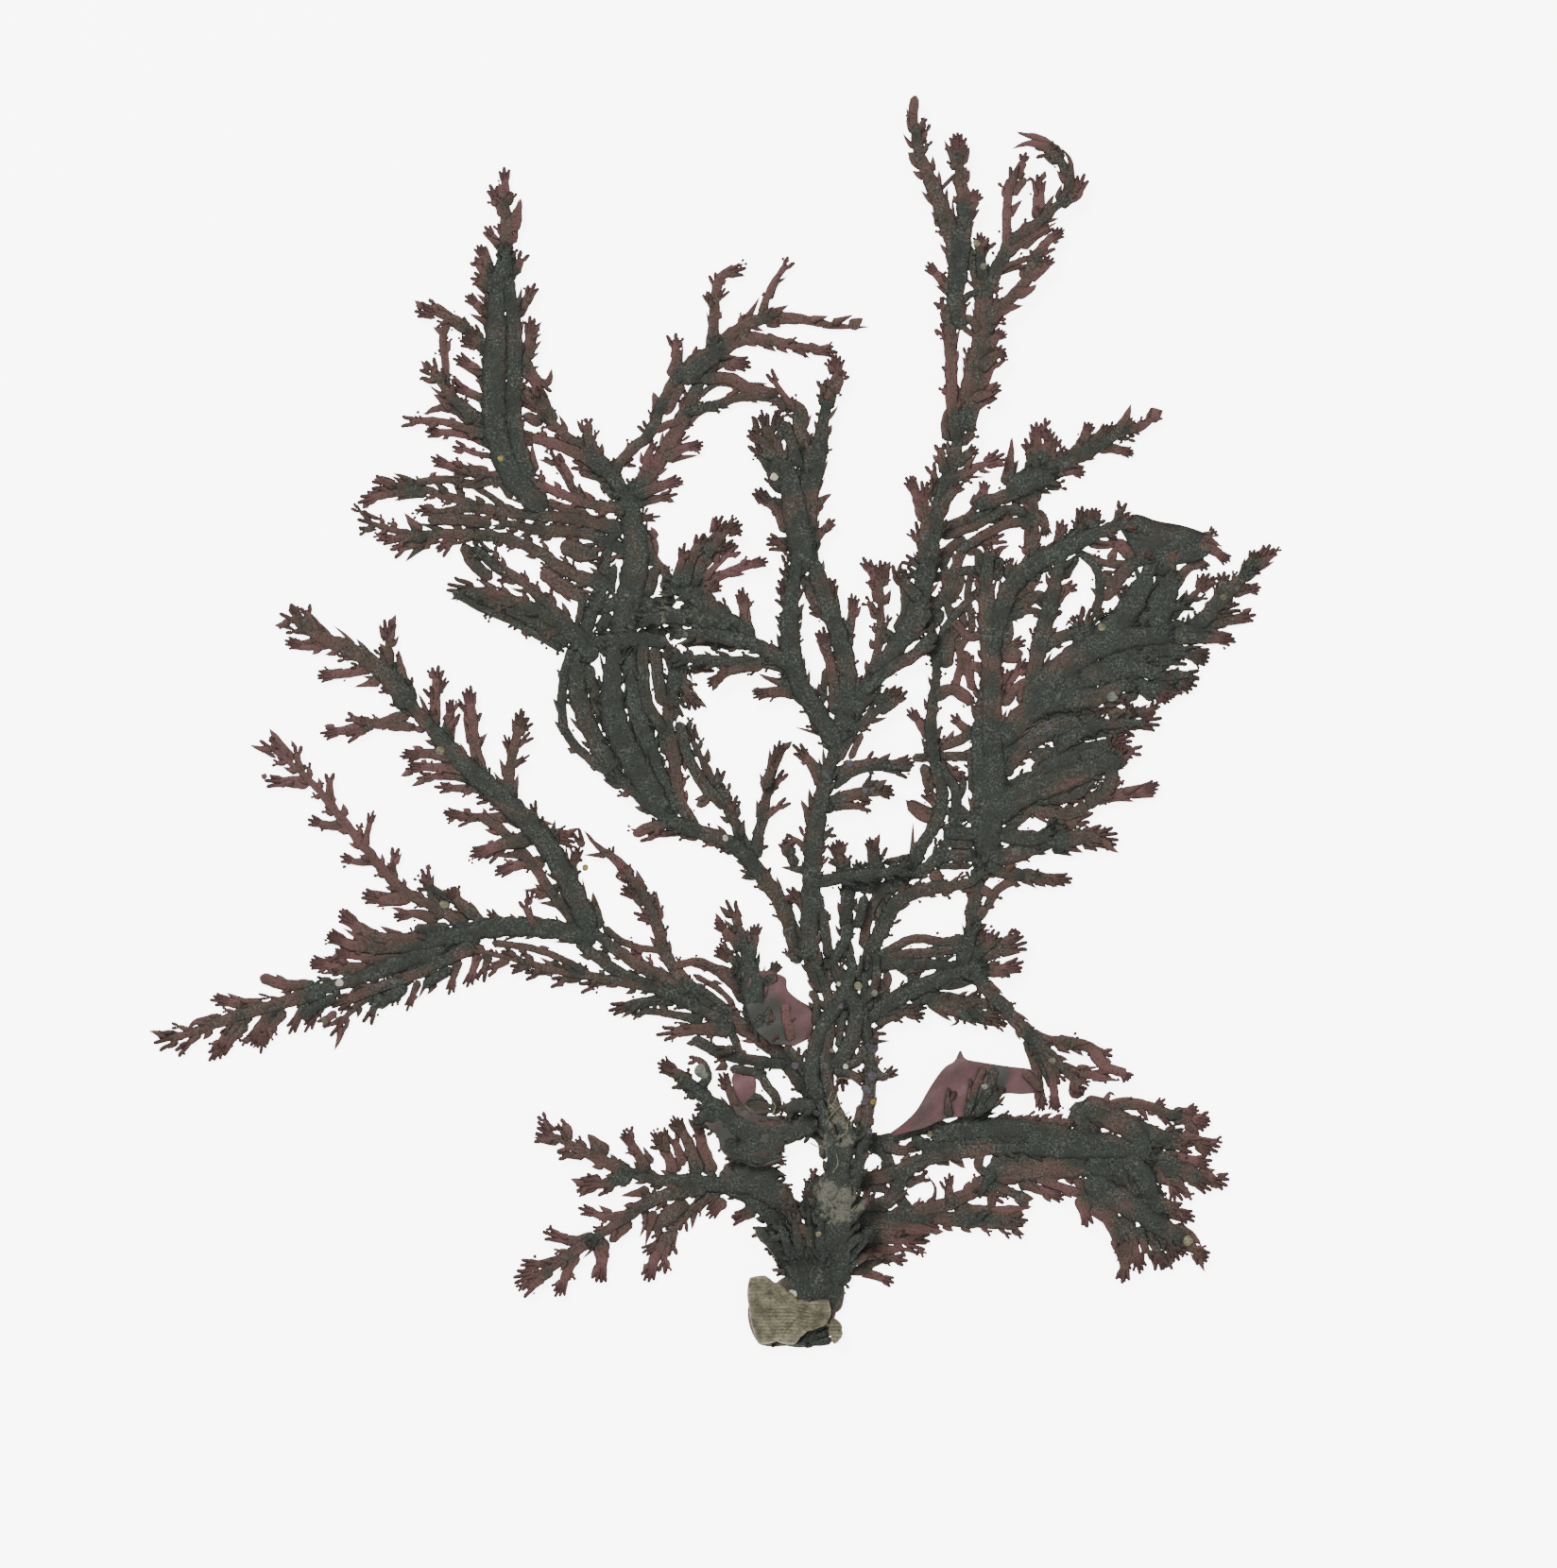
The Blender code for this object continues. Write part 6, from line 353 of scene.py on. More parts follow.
NORTH_WEST = (
    # stem up to the dense part
    (16, 0, -4, 316, -15, 360, -36, 394, -62, 422, -96, 436, -124, 448, -150, 468, -170, 487),
    (9, 0, -164, 480, -194, 502, -213, 524, -217, 550, -214, 580, -206, 604),
    (5, 1, -212, 522, -224, 535), (5, 1, -216, 542, -225, 555),
    (10, 0, -116, 444, -138, 439, -153, 432), (9, 1, -162, 478, -180, 482), (8, 1, -40, 398, -56, 393),
    # the twigs on its right side
    (14, 3, -47, 408, -62, 444, -76, 472, -90, 498, -107, 534), (7, 2, -78, 474, -72, 496),
    (6, 2, -66, 452, -61, 472), (5, 1, -56, 430, -53, 446),
    (10, 3, -44, 410, -36, 452, -29, 484, -19, 516), (5, 1, -29, 486, -30, 510),
    (5, 1, -32, 470, -39, 488), (6, 2, -30, 472, -12, 493), (6, 2, -37, 446, -10, 466),
    (5, 1, -38, 446, -42, 464), (8, 2, -44, 418, -30, 428),
    # the dense part
    (26, 0, -126, 450, -148, 490, -168, 530, -172, 564, -170, 604),
    (20, 0, -116, 448, -136, 500, -150, 546, -156, 586, -166, 620),
    (19, 0, -166, 484, -190, 524, -202, 556, -203, 584, -190, 614),
    (13, 0, -96, 436, -111, 465, -117, 510, -122, 532, -116, 570, -126, 608, -150, 632),
    (12, 0, -124, 524, -140, 550, -144, 580, -144, 618), (11, 0, -162, 506, -184, 546, -194, 586),
    (13, 3, -110, 590, -108, 568, -94, 544), (12, 2, -114, 580, -117, 556, -108, 539),
    (15, 0, -122, 606, -154, 608, -194, 606), (17, 0, -110, 626, -154, 642, -194, 632),
    (14, 0, -196, 586, -194, 620, -182, 654, -177, 684, -169, 710),
    (27, 0, -164, 604, -156, 646, -150, 684, -154, 716, -160, 748),
    (9, 0, -120, 636, -121, 662, -135, 682, -146, 710), (7, 2, -138, 674, -133, 694, -145, 708),
    (5, 2, -126, 652, -123, 679), (6, 3, -150, 716, -129, 719), (5, 2, -150, 704, -138, 709),
    # sprays to the left, from the lowest up
    (18, 3, -186, 590, -220, 622, -250, 639, -282, 650, -320, 655), (5, 1, -290, 650, -313, 643),
    (7, 3, -260, 642, -288, 629), (7, 3, -238, 632, -265, 619), (7, 2, -218, 618, -242, 605),
    (15, 3, -194, 604, -234, 644, -266, 670, -300, 694), (6, 2, -256, 660, -280, 666),
    (16, 2, -174, 656, -210, 668, -240, 688, -274, 700, -314, 703, -354, 703, -403, 717),
    (7, 1, -344, 704, -359, 722), (8, 3, -340, 701, -384, 697), (8, 2, -328, 700, -358, 691, -373, 683),
    (5, 1, -352, 693, -372, 692), (5, 1, -342, 694, -358, 678), (6, 2, -312, 701, -329, 682),
    (13, 0, -158, 686, -196, 704, -234, 706, -274, 714),
    (16, 3, -162, 706, -200, 716, -244, 720, -284, 725, -318, 736, -354, 746, -390, 747),
    (5, 1, -352, 745, -370, 755), (6, 1, -366, 746, -387, 753), (9, 2, -338, 741, -374, 739, -401, 731),
    (5, 1, -346, 740, -368, 733), (8, 3, -294, 728, -324, 723, -349, 724),
    (13, 2, -158, 726, -190, 729, -220, 740, -254, 754, -288, 757, -320, 753),
    (9, 3, -284, 756, -312, 762, -336, 771), (5, 1, -300, 759, -317, 770), (5, 1, -288, 756, -303, 768),
    (7, 2, -180, 726, -205, 740, -217, 760, -233, 778), (4, 1, -221, 766, -220, 777),
    (4, 1, -222, 766, -238, 770), (5, 1, -209, 742, -208, 756), (5, 1, -196, 732, -202, 748),
    (5, 2, -166, 727, -189, 732),
    # the square stub and the two arms under it
    (15, 0, -158, 736, -176, 760, -190, 780, -195, 802),
    (14, 3, -178, 764, -214, 792, -234, 812, -252, 829),
    (12, 3, -174, 758, -200, 774, -230, 786, -260, 792), (6, 2, -182, 760, -213, 766),
    (9, 2, -228, 804, -236, 828, -256, 832),
    # the spire
    (24, 0, -232, 724, -262, 756, -276, 796, -278, 840, -276, 880, -275, 920, -270, 950),
    (16, 0, -246, 750, -259, 800, -260, 840, -259, 880, -264, 926, -268, 960),
    (14, 0, -270, 936, -267, 970, -268, 1006), (8, 3, -267, 998, -268, 1016, -269, 1034),
    (6, 1, -269, 1004, -274, 1019), (9, 2, -268, 988, -274, 1002, -282, 1018),
    (5, 1, -274, 1002, -279, 1014), (10, 1, -265, 976, -258, 988, -254, 1005),
    (8, 3, -268, 958, -278, 968, -287, 980), (5, 1, -272, 962, -288, 973),
    (9, 3, -279, 932, -287, 950, -292, 964), (5, 1, -282, 942, -285, 963),
    (7, 2, -280, 928, -292, 944, -299, 951), (11, 2, -276, 922, -288, 930, -299, 933),
    (6, 1, -276, 914, -296, 928), (5, 1, -279, 908, -294, 919), (9, 3, -278, 896, -292, 908, -303, 918),
    (5, 1, -282, 892, -300, 901), (8, 2, -259, 936, -256, 946, -248, 959), (5, 1, -264, 944, -258, 958),
    (9, 2, -258, 898, -249, 913, -241, 929), (5, 1, -250, 910, -241, 918),
    (12, 3, -256, 850, -246, 874, -243, 899), (4, 1, -244, 884, -235, 894),
    (4, 1, -246, 878, -235, 883), (4, 1, -246, 866, -235, 877), (4, 1, -249, 860, -237, 866),
    (5, 1, -252, 848, -237, 854), (12, 2, -254, 858, -242, 842, -229, 824),
    (6, 1, -238, 838, -229, 840, -226, 852), (11, 2, -266, 810, -258, 830, -242, 823, -226, 804),
    (12, 3, -274, 860, -292, 876, -306, 888), (13, 3, -300, 886, -322, 899, -349, 906),
    (7, 2, -318, 897, -330, 908, -340, 911), (6, 2, -302, 887, -309, 899), (5, 2, -288, 878, -300, 894),
    (8, 3, -278, 856, -292, 872, -310, 877),
    (8, 0, -306, 816, -320, 836, -322, 860, -324, 880, -318, 898), (5, 1, -323, 884, -333, 889),
    (4, 1, -321, 866, -317, 879), (4, 1, -322, 860, -326, 871),
    (14, 2, -294, 806, -318, 828, -330, 844, -346, 851), (7, 2, -326, 838, -338, 864),
    (10, 3, -278, 834, -296, 852, -314, 863), (5, 1, -288, 846, -306, 852),
    (9, 3, -276, 820, -296, 828, -316, 838), (15, 1, -272, 786, -298, 808, -320, 817, -342, 811),
    (7, 1, -314, 816, -333, 829), (8, 2, -284, 792, -326, 804, -365, 804),
    (8, 3, -268, 776, -304, 792, -342, 795), (6, 2, -264, 770, -296, 776, -318, 786),
    # the arms to the right
    (11, 0, -162, 738, -171, 756, -156, 777, -139, 792, -129, 814, -116, 840, -96, 856),
    (4, 1, -156, 776, -158, 787), (6, 2, -164, 766, -148, 768), (6, 2, -138, 792, -149, 805),
    (8, 1, -129, 812, -135, 831),
    (16, 0, -156, 736, -137, 758, -120, 784, -107, 810, -96, 834, -84, 854),
    (8, 0, -139, 794, -122, 801, -107, 806), (7, 3, -142, 756, -139, 776, -130, 787),
    (9, 3, -126, 770, -108, 780, -89, 784), (5, 1, -122, 770, -94, 774),
    (10, 3, -150, 738, -128, 746, -108, 752), (8, 3, -154, 729, -134, 734, -113, 739),
    (24, 0, -112, 840, -94, 856, -72, 870), (12, 3, -96, 850, -70, 858, -45, 855),
    (8, 2, -119, 844, -114, 866, -120, 887), (5, 1, -113, 850, -108, 872), (4, 1, -114, 862, -119, 876),
    (10, 2, -82, 864, -80, 900, -78, 922, -72, 936, -51, 942), (5, 1, -70, 938, -52, 935),
    (5, 1, -74, 934, -63, 946), (5, 2, -78, 922, -83, 941), (4, 2, -78, 912, -66, 925),
    (5, 2, -81, 906, -89, 923), (3, 1, -82, 884, -87, 903),
    (15, 0, -84, 866, -62, 883, -46, 894, -26, 897), (9, 1, -34, 898, 0, 896, 30, 890, 59, 889),
    (5, 1, 6, 895, 23, 899), (5, 1, 26, 892, 45, 900), (5, 1, 16, 893, 29, 887),
    (8, 1, 42, 889, 54, 897), (6, 1, -56, 888, -46, 904, -39, 916),
    (7, 2, -38, 894, -32, 918, -19, 940, -8, 952), (5, 1, -32, 914, -24, 928, -15, 934),
    (7, 1, -34, 898, -13, 909), (12, 0, -74, 868, -50, 879, -26, 875),
    (9, 2, -36, 879, -6, 872, 32, 866), (5, 1, -36, 875, -24, 867), (5, 1, -24, 874, -13, 865),
    (5, 1, -10, 872, 6, 861), (7, 1, 4, 870, 16, 872), (5, 1, 8, 869, 22, 863),
    (12, 0, -94, 842, -68, 843, -48, 834, -22, 828), (9, 0, -108, 812, -82, 818, -56, 826, -22, 826),
    (5, 1, -92, 817, -73, 813), (4, 1, -76, 819, -66, 816),
)
NORTH = (
    # main stem
    (19, 0, 20, 290, 7, 324, 6, 360, 8, 400, 12, 440, 21, 484, 34, 526),
    (6, 2, 6, 416, -6, 427, -20, 431), (6, 1, 6, 400, -20, 403), (10, 2, 7, 364, -16, 384),
    (8, 1, 10, 440, -2, 464), (10, 2, 18, 480, 6, 498, -9, 513), (4, 1, 26, 520, -7, 529),
    (5, 1, 19, 478, 14, 502), (12, 4, 26, 484, 55, 495, 80, 495, 100, 498), (7, 2, 70, 494, 98, 486),
    (6, 2, 56, 496, 68, 507), (5, 1, 70, 497, 79, 506), (12, 3, 16, 456, 44, 468, 66, 472, 83, 470),
    (7, 2, 54, 472, 67, 486), (6, 1, 64, 474, 76, 482), (7, 2, 26, 458, 46, 458, 66, 457),
    (7, 2, 10, 418, 20, 432, 31, 436), (8, 1, 29, 500, 42, 516, 51, 522),
    # left fork
    (20, 0, 32, 510, 14, 540, -2, 566, -10, 594, -12, 624, -9, 654, -4, 686),
    (19, 0, 34, 520, 39, 554, 39, 586, 29, 620, 18, 652, 7, 684, -2, 714), (7, 2, -10, 590, -28, 608),
    (8, 2, -13, 614, -22, 634), (6, 1, -14, 612, -24, 622), (8, 2, -12, 636, -26, 650),
    (12, 3, -11, 642, -21, 662), (6, 2, -8, 664, -22, 675), (6, 1, -6, 624, -1, 640),
    (4, 1, -8, 606, -1, 612), (10, 3, 32, 606, 26, 634, 26, 661), (9, 2, 34, 612, 20, 628, 4, 638),
    (9, 3, 38, 598, 43, 624, 46, 650), (11, 3, 30, 540, 26, 578, 16, 619), (5, 1, 24, 594, 11, 608),
    (5, 1, 26, 570, 18, 580), (26, 0, 2, 670, -4, 706, -10, 740, -16, 770),
    (22, 0, 1, 674, 3, 710, 6, 750, 8, 784), (28, 4, -14, 740, -24, 770, -32, 794, -32, 812),
    (13, 3, -26, 770, -38, 788, -48, 798), (7, 2, -28, 762, -40, 774, -48, 787),
    (6, 1, -22, 786, -17, 807), (10, 2, -6, 692, -20, 695, -34, 699),
    (9, 2, -16, 728, -36, 734, -44, 744), (8, 3, 6, 694, 20, 708, 29, 716), (4, 1, 18, 706, 27, 707),
    (7, 1, 8, 726, 18, 734, 26, 739), (5, 1, 14, 772, 21, 780),
    (16, 0, 4, 770, -3, 796, -2, 812, -14, 820, -23, 816), (6, 2, -8, 814, -22, 834, -33, 852),
    (15, 0, 9, 744, 15, 776, 18, 804, 22, 824), (13, 4, 20, 814, 28, 840, 30, 865),
    (7, 2, 21, 816, 18, 832, 16, 844), (9, 2, 26, 828, 33, 842, 39, 849), (6, 2, 18, 808, 13, 815),
    # the two arms that cross to the left
    (15, 0, -6, 578, -26, 594, -52, 606, -82, 612, -116, 614),
    (19, 0, -42, 602, -72, 619, -106, 628, -146, 626),
    (18, 0, -46, 608, -74, 630, -104, 650, -124, 654), (11, 3, -49, 606, -53, 634, -56, 655),
    (4, 1, -51, 624, -48, 646), (13, 3, -108, 642, -98, 670, -84, 696, -70, 718),
    (13, 3, -89, 682, -72, 702, -56, 713), (11, 3, -102, 656, -84, 682, -62, 696),
    (10, 2, -109, 654, -97, 688, -89, 704), (8, 3, -116, 654, -110, 676, -106, 694),
    (6, 2, -90, 662, -70, 682, -54, 691), (9, 3, -94, 654, -66, 669, -31, 680),
    (4, 1, -68, 667, -52, 667), (10, 3, -102, 646, -88, 652, -73, 658),
    (13, 0, -6, 574, -26, 586, -54, 587, -84, 589, -118, 593), (9, 3, -36, 586, -66, 579, -87, 566),
    (7, 1, -7, 569, -24, 570, -40, 577), (10, 4, -4, 560, -26, 561, -46, 558),
    # right fork up to the crossing
    (19, 0, 36, 522, 52, 556, 74, 586, 94, 618, 108, 654, 115, 694, 124, 734, 136, 774, 143, 814),
    (13, 3, 50, 544, 62, 576, 69, 612, 70, 648, 72, 680), (9, 2, 69, 640, 63, 666, 54, 682),
    (7, 2, 67, 626, 60, 640, 53, 644), (6, 1, 71, 656, 78, 670),
    (12, 0, 52, 558, 76, 580, 100, 594, 120, 614), (12, 0, 70, 616, 90, 606, 114, 634),
    (13, 3, 36, 520, 56, 536, 72, 548, 84, 564), (9, 2, 66, 544, 80, 550, 94, 562),
    (7, 2, 66, 548, 74, 569), (10, 2, 106, 642, 94, 656, 82, 670), (7, 2, 109, 662, 87, 672),
    (7, 2, 110, 672, 86, 683), (11, 2, 110, 646, 108, 684, 101, 714),
    (15, 3, 109, 674, 110, 714, 109, 752), (10, 3, 109, 716, 102, 738, 94, 755),
    (8, 2, 122, 734, 118, 754, 113, 769), (8, 2, 128, 756, 124, 774, 122, 787),
    (11, 1, 136, 788, 129, 800, 129, 816), (9, 3, 136, 764, 148, 774, 157, 781),
    (8, 2, 141, 784, 152, 792, 159, 794), (13, 3, 128, 748, 152, 761, 182, 773),
    (4, 1, 136, 754, 163, 754), (9, 2, 123, 726, 134, 740, 145, 749),
    # the top, left strand
    (12, 0, 138, 784, 134, 820, 133, 854, 132, 884, 130, 910), (5, 1, 133, 836, 128, 845),
    (6, 2, 133, 846, 126, 857), (7, 2, 132, 864, 128, 880, 119, 892), (5, 1, 133, 854, 140, 868),
    (5, 1, 133, 866, 141, 887), (7, 2, 132, 888, 126, 906, 119, 915),
    (17, 0, 142, 886, 137, 916, 137, 950, 131, 978, 123, 1000, 113, 1024, 104, 1046, 101, 1072),
    (9, 0, 101, 1060, 99, 1080, 101, 1097), (5, 1, 99, 1064, 93, 1086), (7, 1, 102, 1056, 107, 1068),
    (9, 1, 106, 1036, 94, 1046), (9, 1, 126, 980, 117, 993),
    (16, 0, 140, 924, 143, 960, 145, 994, 141, 1026, 139, 1048), (14, 4, 139, 1040, 139, 1065),
    (6, 1, 139, 1034, 132, 1046, 127, 1057), (6, 1, 143, 1022, 147, 1033),
    (4, 0, 121, 1008, 129, 1018, 139, 1028), (11, 3, 145, 992, 152, 1002, 159, 1011),
    (6, 1, 145, 990, 159, 1001), (6, 1, 146, 984, 159, 995), (5, 1, 146, 974, 154, 984),
    (9, 3, 136, 920, 122, 934, 110, 946), (6, 2, 134, 924, 126, 942), (5, 1, 134, 918, 119, 926),
    (9, 0, 142, 930, 132, 952, 140, 972),
    # the top, right strand
    (20, 0, 142, 804, 153, 844, 161, 882, 162, 916, 154, 944, 145, 966),
    (9, 3, 162, 930, 159, 954, 158, 975), (7, 2, 156, 944, 164, 958, 171, 969),
    (6, 1, 156, 940, 166, 958), (7, 0, 142, 910, 150, 918, 160, 920),
    (9, 0, 142, 896, 152, 894, 159, 882), (6, 1, 152, 848, 143, 862),
    (8, 3, 152, 824, 166, 829, 179, 837), (10, 3, 158, 850, 172, 863, 183, 868),
    (9, 4, 164, 868, 172, 878, 182, 885), (5, 1, 168, 876, 177, 889),
    (9, 2, 163, 886, 174, 894, 183, 896), (10, 1, 164, 894, 180, 904, 198, 908),
    (11, 0, 166, 898, 186, 914, 200, 930, 206, 944, 214, 954), (5, 1, 178, 908, 185, 918),
    (8, 1, 190, 918, 204, 922, 210, 927), (9, 3, 202, 932, 216, 942, 224, 953),
    (14, 0, 162, 912, 170, 932, 179, 950, 188, 966, 206, 978, 224, 994, 238, 1008),
    (5, 0, 174, 936, 192, 942, 206, 943), (6, 0, 178, 942, 198, 949, 210, 952),
    (6, 1, 182, 954, 200, 966, 228, 983), (9, 4, 206, 946, 220, 966, 235, 976),
    (7, 2, 211, 953, 227, 964), (6, 2, 209, 948, 206, 962),
    (9, 0, 183, 956, 183, 986, 185, 1012, 192, 1030), (8, 3, 191, 1022, 197, 1036, 200, 1046),
    (7, 2, 188, 1016, 190, 1038), (8, 2, 184, 1004, 182, 1014, 179, 1021),
    (8, 2, 186, 1008, 198, 1020, 203, 1027), (6, 1, 183, 988, 190, 996, 197, 1003),
    (11, 3, 212, 984, 212, 1004, 212, 1026), (3, 1, 210, 1006, 207, 1022),
    (13, 0, 230, 1000, 239, 1012, 236, 1030, 226, 1044), (9, 2, 234, 1004, 246, 1008, 253, 1026),
    (9, 1, 230, 1038, 216, 1056, 192, 1064), (7, 1, 226, 1048, 204, 1054, 188, 1049),
    (8, 2, 232, 1036, 222, 1046, 206, 1045), (6, 2, 220, 1048, 229, 1056),
    (5, 1, 240, 1020, 240, 1038, 232, 1050),
    # the tuft between this stem and its right neighbour
    (13, 0, 8, 388, 40, 395, 70, 398, 94, 402), (13, 5, 46, 390, 34, 409, 28, 427),
    (6, 2, 39, 402, 22, 413), (12, 5, 70, 392, 64, 410, 61, 430), (7, 2, 68, 408, 72, 425),
    (10, 3, 51, 394, 50, 410),
)
